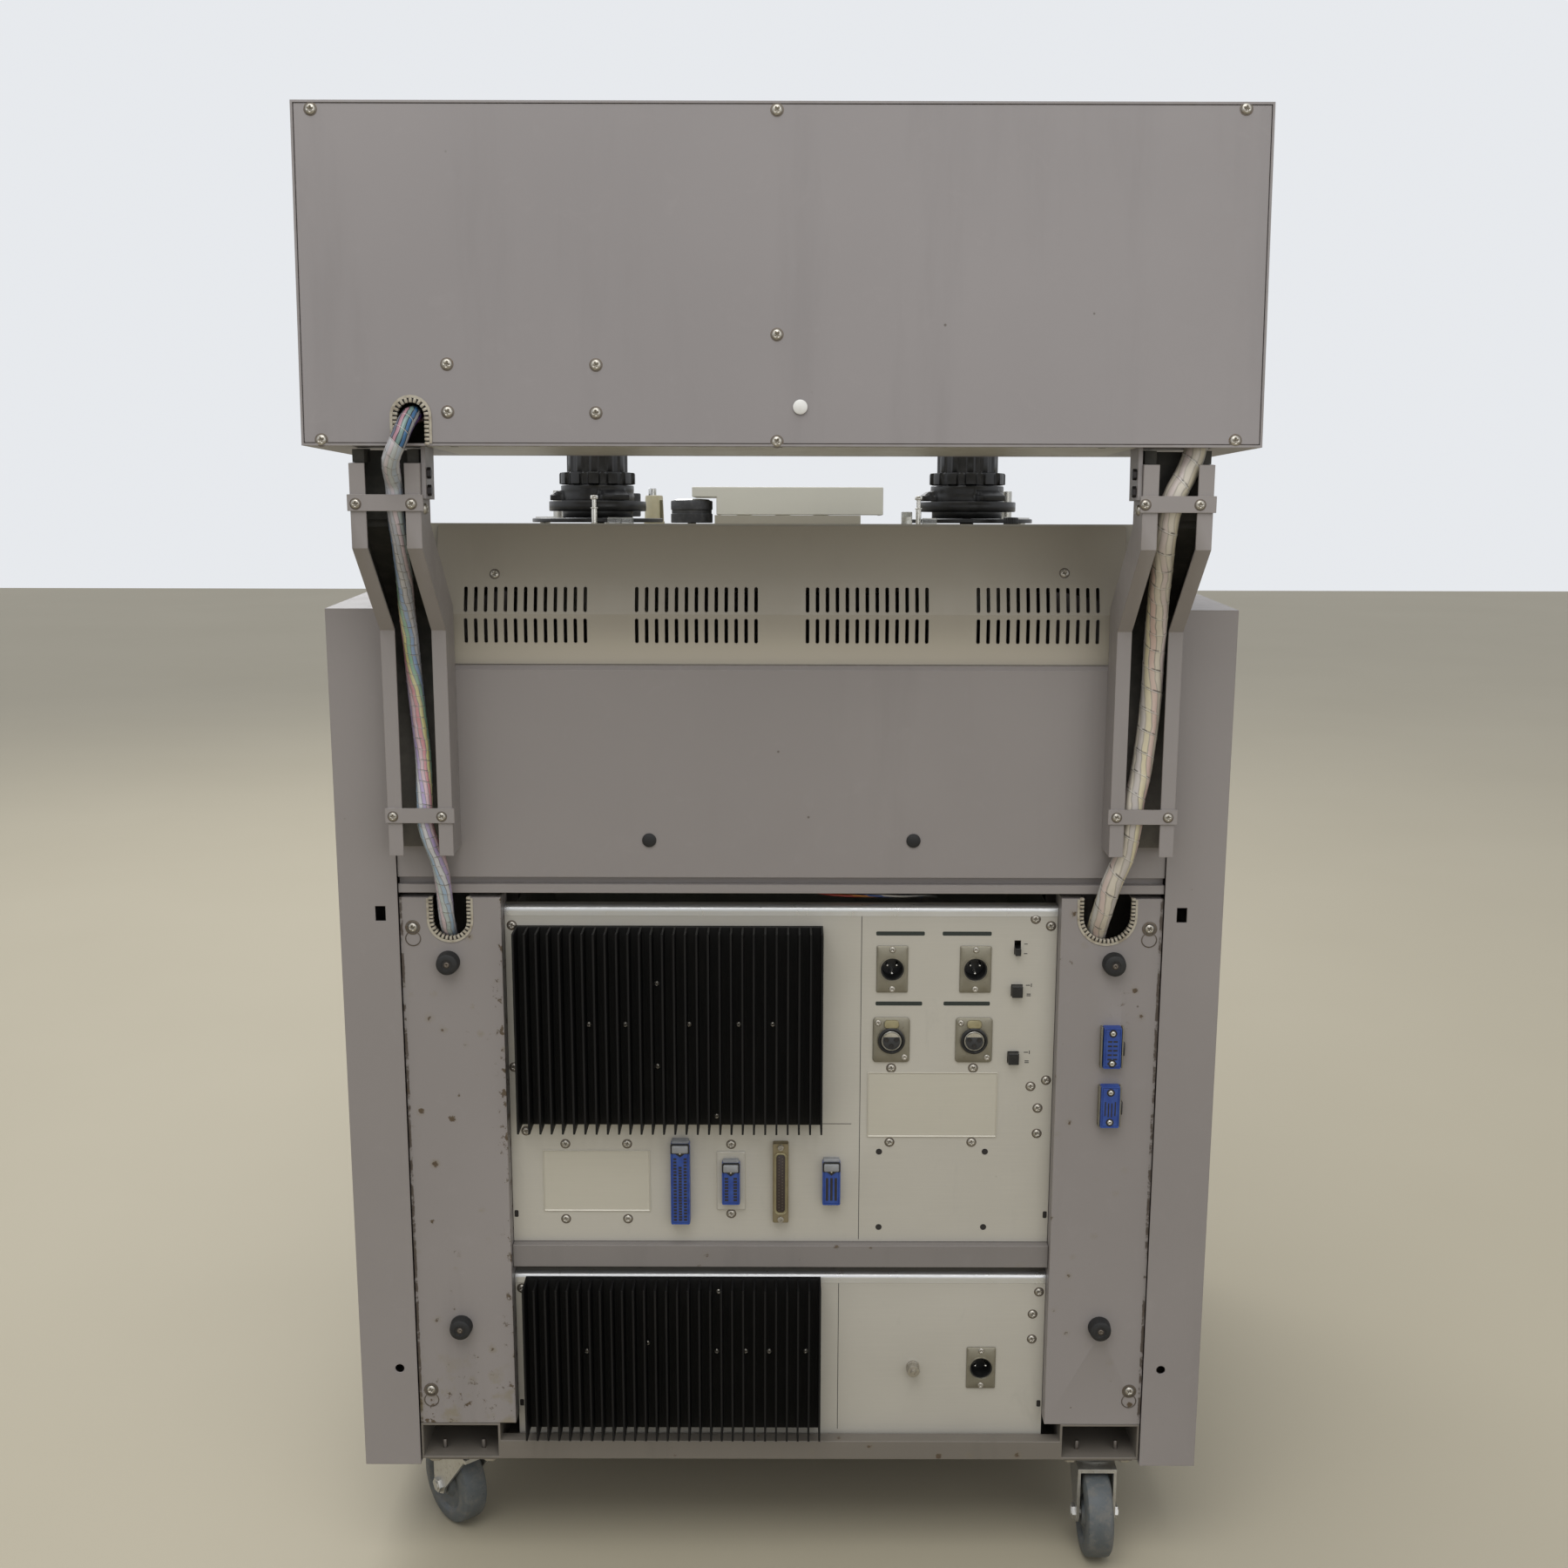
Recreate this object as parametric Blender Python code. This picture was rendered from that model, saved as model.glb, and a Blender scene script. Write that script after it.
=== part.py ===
"""Rear-loading studio tape deck on a console: a steel cabinet on four casters, a tilted tape
transport with two reel hubs, an overbridge on two bent arms, and two pull-out electronics chassis.

Metres, +Z up. The operator stands at -Y, the sockets and heat sinks face +Y. "left" and "right"
are the operator's. The origin is on the floor at the middle of the whole deck.
"""
import math

import bmesh
import bpy
from mathutils import Matrix, Vector

# Fits shared by every piece
GAP = 0.0003
OVERRUN = 0.002
SINK = 0.0008
SHEET = 0.0015

# Tape transport
DECK_TILT = math.radians(3.1)
DECK_Y = 0.2290
DECK_Z = 0.8764
DECK_WIDTH = 0.596
DECK_LENGTH = 0.478
CONTROL_PANEL_RUN = 0.1267
DECK_WALL = 0.0030
DECK_SKIRT = 0.070
REEL_X = 0.1588
REEL_SETBACK = 0.150
DECK_COVER_WIDTH = 0.535
DECK_COVER_BEND_Z = 0.808
DECK_COVER_Y = 0.253

# Cabinet
CABINET_WIDTH = 0.700
CHEEK_THICKNESS = 0.0465
CHEEK_BOTTOM = 0.0895
CHEEK_TOP = 0.8134
REAR_Y = 0.265
FRONT_Y = DECK_Y - DECK_LENGTH * math.cos(DECK_TILT) - CONTROL_PANEL_RUN
INNER_HALF = CABINET_WIDTH / 2 - CHEEK_THICKNESS
BODY_HALF = INNER_HALF - GAP

# Base frame and casters
CHANNEL_WIDTH = 0.067
CHANNEL_HEIGHT = 0.0327
CASTER_INSET = 0.080
CASTER_REAR_INSET = 0.043
CASTER_FRONT_INSET = 0.075
CASTER_X = CABINET_WIDTH / 2 - CASTER_INSET
CASTER_REAR_Y = REAR_Y - CASTER_REAR_INSET
CASTER_FRONT_Y = FRONT_Y + CASTER_FRONT_INSET
CASTER_TRAIL = 0.027
WHEEL_RADIUS = 0.037
WHEEL_WIDTH = 0.024
AXLE_RADIUS = 0.004
PLATE_THICKNESS = 0.0035
CASTER_HEIGHT = 0.0930
REAR_LEFT_SWIVEL = 90.0
REAR_RIGHT_SWIVEL = -50.0
FRONT_LEFT_SWIVEL = 70.0
FRONT_RIGHT_SWIVEL = 110.0

# Rear face: covers, crossbar and the two chassis
COVER_WIDTH = 0.0807
COVER_FACE_Y = 0.262
COVER_TOP = 0.584
COVER_DEPTH = 0.030
CHASSIS_HALF = BODY_HALF - COVER_WIDTH - GAP
CHASSIS_FACE_Y = 0.2475
CHASSIS_DEPTH = 0.300
CROSSBAR_BOTTOM = 0.2650
CROSSBAR_TOP = 0.2844
AUDIO_TOP = 0.5738
POWER_BOTTOM = 0.1063
POWER_TOP = 0.2556
BACK_PANEL_BOTTOM = 0.5880
BACK_PANEL_TOP = 0.7690

# Heat sinks
SINK_MARGIN = 0.0092
SINK_TO_SOCKETS = 0.0561
SINK_BASE = 0.0050
FIN_COUNT = 28
FIN_THICKNESS = 0.0016
FIN_HEIGHT = 0.0215
AUDIO_SINK_BOTTOM = 0.3897
AUDIO_SINK_TOP = 0.5574
POWER_SINK_BOTTOM = 0.1170
POWER_SINK_TOP = 0.2530

# Sockets of the audio chassis
XLR_INSET = 0.0653
XLR_SPACING = 0.0672
XLR_X_OUTER = XLR_INSET - CHASSIS_HALF
XLR_X_INNER = XLR_X_OUTER + XLR_SPACING
SINK_LEFT = CHASSIS_HALF - SINK_MARGIN
SINK_RIGHT = XLR_X_INNER + SINK_TO_SOCKETS
XLR_INPUT_Z = 0.5214
XLR_OUTPUT_Z = 0.4616
AC_INLET_INSET = 0.0526
AC_INLET_X = AC_INLET_INSET - CHASSIS_HALF
AC_INLET_Z = 0.1705
XLR_PLATE = 0.0016
XLR_BORE = 0.01850
XLR_SHELL = 0.0020
XLR_DEPTH = 0.0180

# Arms and overbridge
ARM_INSET = 0.0515
ARM_INNER_X = INNER_HALF - ARM_INSET
ARM_WIDTH = 0.0495
ARM_DEPTH = 0.0327
ARM_LIP = 0.0110
ARM_WALL = 0.0020
ARM_BOTTOM_Z = 0.626
ARM_BEND_Z = 0.800
ARM_UPPER_Z = 0.866
ARM_TOP_Z = 0.925
ARM_OFFSET = 0.0750
BRIDGE_INSET = 0.018
BRIDGE_WIDTH = CABINET_WIDTH - BRIDGE_INSET * 2
BRIDGE_HEIGHT = 0.229
BRIDGE_DEPTH = 0.153
BRIDGE_TOP_DEPTH = 0.115
BRIDGE_Y = 0.375
BRIDGE_Z = 0.937
BRIDGE_TILT = math.radians(3.4)
BRIDGE_WALL = 0.0016


def clear_scene():
    """Empty the file of objects."""
    for old in list(bpy.data.objects):
        bpy.data.objects.remove(old, do_unlink=True)


def paint(name, color, roughness, metallic):
    """Plain Principled material."""
    made = bpy.data.materials.new(name)
    made.use_nodes = True
    shader = made.node_tree.nodes["Principled BSDF"]
    shader.inputs["Base Color"].default_value = (*color, 1.0)
    shader.inputs["Roughness"].default_value = roughness
    shader.inputs["Metallic"].default_value = metallic
    return made


def box(low, high):
    """Shape of a box between two corners."""
    xs, ys, zs = zip(low, high)
    verts = [Vector((x, y, z)) for z in zs for y in ys for x in xs]
    faces = [(0, 2, 3, 1), (4, 5, 7, 6), (0, 1, 5, 4), (2, 6, 7, 3), (0, 4, 6, 2), (1, 3, 7, 5)]
    return verts, faces


def prism(outline, axis, start, end):
    """Shape of a closed outline pushed along an axis; the outline's pairs are the other two axes."""
    order = {
        "X": lambda a, b, t: (t, a, b),
        "Y": lambda a, b, t: (a, t, b),
        "Z": lambda a, b, t: (a, b, t),
    }
    place = order[axis]
    count = len(outline)
    verts = [Vector(place(a, b, t)) for t in (start, end) for a, b in outline]
    faces = [tuple(range(count)), tuple(range(count, 2 * count))]
    for i in range(count):
        j = (i + 1) % count
        faces.append((i, j, count + j, count + i))
    return verts, faces


def turned(profile, segments, axis="Z", centre=(0, 0, 0), phase=0.0):
    """Shape turned from a profile of radius and height pairs that starts and ends on the axis,
    or that closes on itself round a bore."""
    rings = []
    verts = []
    for radius, height in profile:
        if radius == 0:
            rings.append([len(verts)])
            verts.append(Vector((0, 0, height)))
            continue
        ring = []
        for i in range(segments):
            angle = 2 * math.pi * (i + phase) / segments
            ring.append(len(verts))
            verts.append(Vector((radius * math.cos(angle), radius * math.sin(angle), height)))
        rings.append(ring)
    pairs = list(zip(rings, rings[1:]))
    if profile[0][0] != 0:
        pairs.append((rings[-1], rings[0]))
    faces = []
    for lower, upper in pairs:
        for i in range(segments):
            j = (i + 1) % segments
            below = [lower[i % len(lower)], lower[j % len(lower)]]
            above = [upper[j % len(upper)], upper[i % len(upper)]]
            face = tuple(dict.fromkeys(below + above))
            if len(face) > 2:
                faces.append(face)
    turn = {
        "X": Matrix.Rotation(math.pi / 2, 4, "Y"),
        "Y": Matrix.Rotation(-math.pi / 2, 4, "X"),
        "Z": Matrix(),
    }
    shift = Matrix.Translation(centre) @ turn[axis]
    return [shift @ v for v in verts], faces


def rod(radius, start, end, segments, axis="Z", centre=(0, 0, 0), phase=0.0):
    """Shape of a plain round bar."""
    return turned([(0, start), (radius, start), (radius, end), (0, end)], segments, axis, centre, phase)


def placed(shape, matrix):
    """Shape moved by a matrix."""
    verts, faces = shape
    return [matrix @ v for v in verts], faces


def joined(shapes):
    """Several shapes as one list, for cutters that stand apart."""
    verts = []
    faces = []
    for more_verts, more_faces in shapes:
        base = len(verts)
        verts.extend(more_verts)
        faces.extend(tuple(base + i for i in face) for face in more_faces)
    return verts, faces


def band(points, thickness):
    """Closed outline of a folded sheet: the open line of points and its offset to the left."""
    offset = []
    for i, point in enumerate(points):
        here = Vector(point)
        before = (here - Vector(points[i - 1])).normalized() if i else None
        after = (Vector(points[i + 1]) - here).normalized() if i + 1 < len(points) else None
        first = before or after
        second = after or before
        normal = Vector((-first.y - second.y, first.x + second.x)).normalized()
        stretch = normal.dot(Vector((-first.y, first.x)))
        offset.append(tuple(here + normal * (thickness / stretch)))
    return list(points) + offset[::-1]


def rounded(centre_a, centre_b, radius, start, end, steps):
    """Points on an arc, angles in degrees."""
    spread = [math.radians(start + (end - start) * i / steps) for i in range(steps + 1)]
    return [(centre_a + radius * math.cos(t), centre_b + radius * math.sin(t)) for t in spread]


def to_mesh(name, shape):
    """Mesh of a shape with its faces turned outward."""
    mesh = bpy.data.meshes.new(name)
    verts, faces = shape
    mesh.from_pydata([tuple(v) for v in verts], [], faces)
    work = bmesh.new()
    work.from_mesh(mesh)
    bmesh.ops.recalc_face_normals(work, faces=work.faces[:])
    work.to_mesh(mesh)
    work.free()
    return mesh


def make(name, shape, finish, location=(0, 0, 0), rotation=(0, 0, 0), smooth=False):
    """Named object of one shape."""
    mesh = to_mesh(name, shape)
    mesh.materials.append(finish)
    made = bpy.data.objects.new(name, mesh)
    bpy.context.collection.objects.link(made)
    made.location = location
    made.rotation_euler = rotation
    if smooth:
        mesh.shade_smooth()
        mesh.set_sharp_from_angle(angle=math.radians(35))
    return made


def combine(target, shape, operation):
    """Cut a shape from an object, or join it on, in the object's own axes."""
    tool = bpy.data.objects.new("tool", to_mesh("tool", shape))
    bpy.context.collection.objects.link(tool)
    tool.location = target.location
    tool.rotation_euler = target.rotation_euler
    step = target.modifiers.new("step", "BOOLEAN")
    step.object = tool
    step.operation = operation
    step.solver = "EXACT"
    bpy.context.view_layer.update()
    depsgraph = bpy.context.evaluated_depsgraph_get()
    result = bpy.data.meshes.new_from_object(target.evaluated_get(depsgraph))
    target.modifiers.remove(step)
    target.data = result
    bpy.data.objects.remove(tool, do_unlink=True)


def cut(target, shapes):
    """Cut shapes that stand apart from each other."""
    combine(target, joined(shapes), "DIFFERENCE")


def weld(target, shapes):
    """Join shapes on, one after the other."""
    for shape in shapes:
        combine(target, shape, "UNION")


def mirrored(side, low, high):
    """Box whose X runs outward on one side of the middle."""
    xs = sorted((side * low[0], side * high[0]))
    return box((xs[0], low[1], low[2]), (xs[1], high[1], high[2]))


# Signs of a rectangle's corners, and the faces of a block built from three rings of them
CORNERS = ((-1, -1), (1, -1), (1, 1), (-1, 1))
BEVELLED_FACES = [(0, 1, 2, 3), (8, 9, 10, 11)] + [
    (ring + i, ring + (i + 1) % 4, ring + 4 + (i + 1) % 4, ring + 4 + i)
    for ring in (0, 4) for i in range(4)]


# Cabinet

def cheek_outline(inset):
    """Side view of a cheek, with its rounded top front corner."""
    corner_radius = 0.040
    corner_steps = 5
    rear = REAR_Y - inset
    front = FRONT_Y + inset
    bottom = CHEEK_BOTTOM + inset
    top = CHEEK_TOP - inset
    radius = corner_radius - inset
    arc = rounded(front + radius, top - radius, radius, 90, 180, corner_steps)
    return [(rear, bottom), (rear, top)] + arc + [(front, bottom)]


def side_panel(name, side, finish):
    """Deep cheek folded from sheet, open towards the cabinet, with the holes in its rear flange."""
    slot_inset = 0.0325
    slot_z = 0.5715
    slot_width = 0.008
    slot_height = 0.012
    hole_inset = 0.032
    hole_z = 0.178
    hole_radius = 0.0038
    hole_sides = 12
    slot_x = CABINET_WIDTH / 2 - slot_inset
    hole_x = CABINET_WIDTH / 2 - hole_inset
    inner = side * INNER_HALF
    outer = side * CABINET_WIDTH / 2
    panel = make(name, prism(cheek_outline(0), "X", inner, outer), finish)
    pocket = prism(cheek_outline(SHEET), "X", inner - side * OVERRUN, outer - side * SHEET)
    cut(panel, [pocket])
    through = (REAR_Y - SHEET - OVERRUN, REAR_Y + OVERRUN)
    low = (slot_x - slot_width / 2, through[0], slot_z - slot_height / 2)
    high = (slot_x + slot_width / 2, through[1], slot_z + slot_height / 2)
    hole = rod(hole_radius, through[0], through[1], hole_sides, "Y", (side * hole_x, 0, hole_z))
    cut(panel, [mirrored(side, low, high), hole])
    return panel


def base_frame(finish):
    """Welded base: two open channels, a floor sheet, cross members and the four caster plates."""
    front_setback = 0.012
    rear = COVER_FACE_Y
    front = FRONT_Y + front_setback
    wall = 0.0020
    member = 0.012
    member_height = 0.0167
    plate_length = 0.072
    plate_width = 0.058
    bottom = CASTER_HEIGHT + GAP
    top = bottom + CHANNEL_HEIGHT
    inner = BODY_HALF - CHANNEL_WIDTH
    floor = box((-inner - SINK, front, bottom), (inner + SINK, rear, bottom + SHEET))
    frame = make("base_frame", floor, finish)
    for side in (-1, 1):
        weld(frame, [mirrored(side, (inner, front, bottom), (BODY_HALF, rear, top))])
        hollow = mirrored(side, (inner + wall, front - OVERRUN, bottom + wall),
                          (BODY_HALF - wall, rear + OVERRUN, top - wall))
        cut(frame, [hollow])
        for y in (CASTER_REAR_Y, CASTER_FRONT_Y):
            low = (CASTER_X - plate_width / 2, y - plate_length / 2, bottom - PLATE_THICKNESS)
            high = (CASTER_X + plate_width / 2, y + plate_length / 2, bottom + SINK)
            weld(frame, [mirrored(side, low, high)])
    for y in (rear - member, front):
        weld(frame, [box((-inner - SINK, y, bottom), (inner + SINK, y + member, bottom + member_height))])
    return frame


def caster_fork(name, place, swivel, finish):
    """Swivelling fork: crown, bridge plate, two tapered legs and the axle with its nuts."""
    crown_radius = 0.022
    crown_height = 0.008
    bridge = 0.0035
    bridge_half_length = 0.020
    leg_wall = 0.0025
    leg_foot = 0.009
    nut_radius = 0.0065
    nut_length = 0.004
    side_clearance = 0.0020
    crown_sides = 14
    axle_sides = 8
    nut_sides = 6
    top = CASTER_HEIGHT - PLATE_THICKNESS
    bridge_top = top - crown_height
    bridge_bottom = bridge_top - bridge
    inner = WHEEL_WIDTH / 2 + side_clearance
    outer = inner + leg_wall
    fork = make(name, rod(crown_radius, bridge_top - SINK, top, crown_sides), finish, smooth=True)
    reach = CASTER_TRAIL + leg_foot
    weld(fork, [box((-bridge_half_length, -outer, bridge_bottom), (reach, outer, bridge_top))])
    foot = rounded(CASTER_TRAIL, WHEEL_RADIUS, leg_foot, 0, -180, 4)
    leg = [(-bridge_half_length, bridge_top)] + foot[::-1] + [(reach, bridge_top)]
    for low in (-outer, inner):
        weld(fork, [prism(leg, "Y", low, low + leg_wall)])
    centre = (CASTER_TRAIL, 0, WHEEL_RADIUS)
    weld(fork, [rod(AXLE_RADIUS, -outer - nut_length, outer + nut_length, axle_sides, "Y", centre)])
    weld(fork, [rod(nut_radius, outer - SINK, outer + nut_length - SINK, nut_sides, "Y", centre)])
    weld(fork, [rod(nut_radius, -outer - nut_length + SINK, -outer + SINK, nut_sides, "Y", centre)])
    fork.location = (place[0], place[1], 0)
    fork.rotation_euler = (0, 0, math.radians(swivel))
    return fork


def caster_wheel(name, place, swivel, finish):
    """Moulded wheel with a bore, a dished disc and a rounded tread; a flat facet meets the floor."""
    hub_radius = 0.011
    rim_radius = 0.026
    dish = 0.004
    tread_round = 0.003
    sides = 20
    half = WHEEL_WIDTH / 2
    bore = AXLE_RADIUS + GAP
    apothem = math.cos(math.pi / sides)
    outer = WHEEL_RADIUS / apothem
    profile = [(bore, -half), (hub_radius, -half), (hub_radius + dish, -half + dish), (rim_radius, -half),
               (outer, -half + tread_round)]
    upper = [(radius, -height) for radius, height in reversed(profile)]
    shape = turned(profile + upper, sides, "Y", (0, 0, 0), 0.5 + sides / 4)
    angle = math.radians(swivel)
    x = place[0] + CASTER_TRAIL * math.cos(angle)
    y = place[1] + CASTER_TRAIL * math.sin(angle)
    return make(name, shape, finish, (x, y, WHEEL_RADIUS), (0, 0, angle), smooth=True)


def rear_cover(name, side, notch, finish):
    """Tall shallow cover beside the chassis with a cable notch and two rubber bumpers. The notch is
    its inset from the cover's outer edge, its width and its bottom."""
    bumper_inset = 0.0377
    bumper_radius = 0.0083
    bumper_height = 0.009
    bumper_taper = 0.0015
    bumper_upper_z = 0.531
    bumper_lower_z = 0.2156
    bumper_sides = 12
    notch_steps = 8
    notch_inset, notch_width, notch_bottom = notch
    notch_x = BODY_HALF - notch_inset
    bumper_x = BODY_HALF - bumper_inset
    inner = BODY_HALF - COVER_WIDTH
    bottom = CASTER_HEIGHT + GAP + CHANNEL_HEIGHT + GAP
    low = (inner, COVER_FACE_Y - COVER_DEPTH, bottom)
    cover = make(name, mirrored(side, low, (BODY_HALF, COVER_FACE_Y, COVER_TOP)), finish)
    pocket = mirrored(side, (inner + SHEET, COVER_FACE_Y - COVER_DEPTH - OVERRUN, bottom + SHEET),
                      (BODY_HALF - SHEET, COVER_FACE_Y - SHEET, COVER_TOP - SHEET))
    cut(cover, [pocket])
    radius = notch_width / 2
    arc = rounded(side * notch_x, notch_bottom + radius, radius, 0, -180, notch_steps)
    mouth = COVER_TOP + OVERRUN
    outline = arc + [(side * notch_x - radius, mouth), (side * notch_x + radius, mouth)]
    cut(cover, [prism(outline, "Y", COVER_FACE_Y - COVER_DEPTH - OVERRUN, COVER_FACE_Y + OVERRUN)])
    profile = [(0, COVER_FACE_Y - SINK), (bumper_radius, COVER_FACE_Y - SINK),
               (bumper_radius, COVER_FACE_Y + bumper_height - bumper_taper),
               (bumper_radius - bumper_taper, COVER_FACE_Y + bumper_height),
               (0, COVER_FACE_Y + bumper_height)]
    for z in (bumper_upper_z, bumper_lower_z):
        weld(cover, [turned(profile, bumper_sides, "Y", (side * bumper_x, 0, z))])
    return cover


def cover_sockets(cover):
    """Remote and cue sockets joined on the left cover."""
    socket_inset = 0.0372
    socket_proud = 0.0070
    rim = 0.0016
    recess = 0.0050
    remote_z = 0.4620
    remote_width = 0.0140
    remote_height = 0.0340
    cue_z = 0.4120
    cue_width = 0.0150
    cue_height = 0.0350
    socket_x = socket_inset - BODY_HALF
    sizes = [(remote_z, remote_width, remote_height), (cue_z, cue_width, cue_height)]
    for z, width, height in sizes:
        half_width = width / 2
        half_height = height / 2
        face = COVER_FACE_Y + socket_proud
        weld(cover, [box((socket_x - half_width, COVER_FACE_Y - SINK, z - half_height),
                         (socket_x + half_width, face, z + half_height))])
        cut(cover, [box((socket_x - half_width + rim, face - recess, z - half_height + rim),
                        (socket_x + half_width - rim, face + OVERRUN, z + half_height - rim))])


def back_panel(finish):
    """Upper back panel: one folded sheet with a rolled top lip and a stepped rail at the bottom."""
    rail_height = 0.0070
    step_depth = 0.0060
    step_height = 0.0060
    lip_depth = 0.016
    lip_round = 0.0030
    shelf_depth = 0.030
    plug_x = 0.1040
    plug_z = 0.6310
    plug_radius = 0.0040
    face = COVER_FACE_Y
    low = BACK_PANEL_BOTTOM
    top = BACK_PANEL_TOP
    line = [(face - shelf_depth, low), (face, low), (face, low + rail_height),
            (face - step_depth, low + rail_height), (face - step_depth, low + rail_height + step_height),
            (face, low + rail_height + step_height), (face, top - lip_round), (face - lip_round, top),
            (face - lip_depth, top)]
    panel = make("upper_back_panel", prism(band(line, SHEET), "X", -BODY_HALF, BODY_HALF), finish)
    holes = [rod(plug_radius, face - SHEET - OVERRUN, face + OVERRUN, 12, "Y", (x, 0, plug_z))
             for x in (-plug_x, plug_x)]
    cut(panel, holes)
    return panel


def middle_crossbar(finish):
    """Folded cross member between the two chassis, open to the inside."""
    setback = 0.0070
    depth = 0.020
    face = COVER_FACE_Y - setback
    line = [(face - depth, CROSSBAR_TOP), (face, CROSSBAR_TOP), (face, CROSSBAR_BOTTOM),
            (face - depth, CROSSBAR_BOTTOM)]
    return make("middle_crossbar", prism(band(line, -SHEET), "X", -CHASSIS_HALF, CHASSIS_HALF), finish)


# Electronics chassis

def chassis(name, bottom, top, finish):
    """Drawer of folded sheet: rear wall with a rolled top edge, floor, front wall and two sides."""
    roll = 0.0045
    lip_depth = 0.012
    side_drop = 0.014
    roll_steps = 5
    face = CHASSIS_FACE_Y
    front = face - CHASSIS_DEPTH
    arc = rounded(face - roll, top - roll, roll, 90, 0, roll_steps)
    line = [(face - lip_depth, top)] + arc + [(face, bottom), (front, bottom), (front, top - side_drop)]
    drawer = make(name, prism(band(line, -SHEET), "X", -CHASSIS_HALF, CHASSIS_HALF), finish)
    inset = SHEET / 3
    for side in (-1, 1):
        low = (CHASSIS_HALF - SHEET, front + inset, bottom + inset)
        weld(drawer, [mirrored(side, low, (CHASSIS_HALF, face - inset, top - side_drop))])
    return drawer


def sink_outline():
    """Plan of a finned extrusion: a base plate with evenly pitched fins."""
    base = CHASSIS_FACE_Y + GAP
    root = base + SINK_BASE
    tip = root + FIN_HEIGHT
    pitch = (SINK_LEFT - SINK_RIGHT - FIN_THICKNESS) / (FIN_COUNT - 1)
    outline = [(SINK_RIGHT, base)]
    for i in range(FIN_COUNT):
        x = SINK_RIGHT + i * pitch
        outline += [(x, root), (x, tip), (x + FIN_THICKNESS, tip), (x + FIN_THICKNESS, root)]
    return [outline[0]] + outline[2:-1] + [(SINK_LEFT, base)]


def heat_sink(name, bottom, top, finish):
    """Black anodised heat sink bolted flat on a chassis."""
    return make(name, prism(sink_outline(), "Z", bottom, top), finish)


def panel_socket(drawer, x, z, width, height, proud):
    """Multi-pin socket joined on the rear wall of a chassis, with its recessed face."""
    rim = 0.0016
    recess = 0.0045
    face = CHASSIS_FACE_Y
    weld(drawer, [box((x - width / 2, face - SINK, z - height / 2),
                      (x + width / 2, face + proud, z + height / 2))])
    low = (x - width / 2 + rim, face + proud - recess, z - height / 2 + rim)
    cut(drawer, [box(low, (x + width / 2 - rim, face + proud + OVERRUN, z + height / 2 - rim))])


def audio_chassis(finish):
    """Audio drawer with its connector cut-outs, switch cut-outs and the joined multi-pin sockets."""
    row_z = 0.3390
    locator_x = 0.0826
    locator_width = 0.0155
    locator_height = 0.0700
    locator_proud = 0.0090
    function_x = 0.0410
    function_width = 0.0145
    function_height = 0.0360
    function_proud = 0.0080
    plate_width = 0.0225
    plate_height = 0.0500
    plate_thickness = 0.0016
    parallel_width = 0.0125
    parallel_height = 0.0690
    parallel_proud = 0.0060
    reduction_x = -0.0418
    reduction_width = 0.0145
    reduction_height = 0.0370
    reduction_proud = 0.0070
    drawer = chassis("audio_chassis", CROSSBAR_TOP + GAP, AUDIO_TOP, finish)
    radius = XLR_BORE / 2 + XLR_SHELL + GAP
    through = (CHASSIS_FACE_Y - SHEET - OVERRUN, CHASSIS_FACE_Y + OVERRUN)
    holes = [rod(radius, through[0], through[1], 16, "Y", (x, 0, z))
             for x in (XLR_X_INNER, XLR_X_OUTER) for z in (XLR_INPUT_Z, XLR_OUTPUT_Z)]
    for _, x, z, width, height, travel in SWITCHES:
        low = (x - width / 2 - GAP, through[0], z - height / 2 - GAP)
        holes.append(box(low, (x + width / 2 + GAP, through[1], z + height / 2 + travel + GAP)))
    cut(drawer, holes)
    low = (function_x - plate_width / 2, CHASSIS_FACE_Y - SINK, row_z - plate_height / 2)
    high = (function_x + plate_width / 2, CHASSIS_FACE_Y + plate_thickness, row_z + plate_height / 2)
    weld(drawer, [box(low, high)])
    rows = [(locator_x, locator_width, locator_height, locator_proud),
            (function_x, function_width, function_height, function_proud),
            (0, parallel_width, parallel_height, parallel_proud),
            (reduction_x, reduction_width, reduction_height, reduction_proud)]
    for x, width, height, proud in rows:
        panel_socket(drawer, x, row_z, width, height, proud)
    return drawer


def power_chassis(finish):
    """Supply drawer with the hole for the mains inlet, the earth post and the transformer inside."""
    post_inset = 0.1102
    post_z = 0.1710
    post_nut = 0.0050
    post_length = 0.0080
    stud = 0.0020
    stud_length = 0.0120
    core_width = 0.110
    core_depth = 0.090
    core_height = 0.090
    core_inset = 0.1022
    core_y = 0.080
    post_x = post_inset - CHASSIS_HALF
    core_x = core_inset - CHASSIS_HALF
    drawer = chassis("power_chassis", POWER_BOTTOM, POWER_TOP, finish)
    radius = XLR_BORE / 2 + XLR_SHELL + GAP
    face = CHASSIS_FACE_Y
    cut(drawer, [rod(radius, face - SHEET - OVERRUN, face + OVERRUN, 16, "Y", (AC_INLET_X, 0, AC_INLET_Z))])
    centre = (post_x, 0, post_z)
    weld(drawer, [rod(stud, face - SINK, face + stud_length, 10, "Y", centre),
                  rod(post_nut, face - SINK, face + post_length, 8, "Y", centre)])
    floor = POWER_BOTTOM + SHEET
    low = (core_x - core_width / 2, core_y - core_depth / 2, floor - SINK)
    weld(drawer, [box(low, (core_x + core_width / 2, core_y + core_depth / 2, floor + core_height))])
    return drawer


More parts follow.
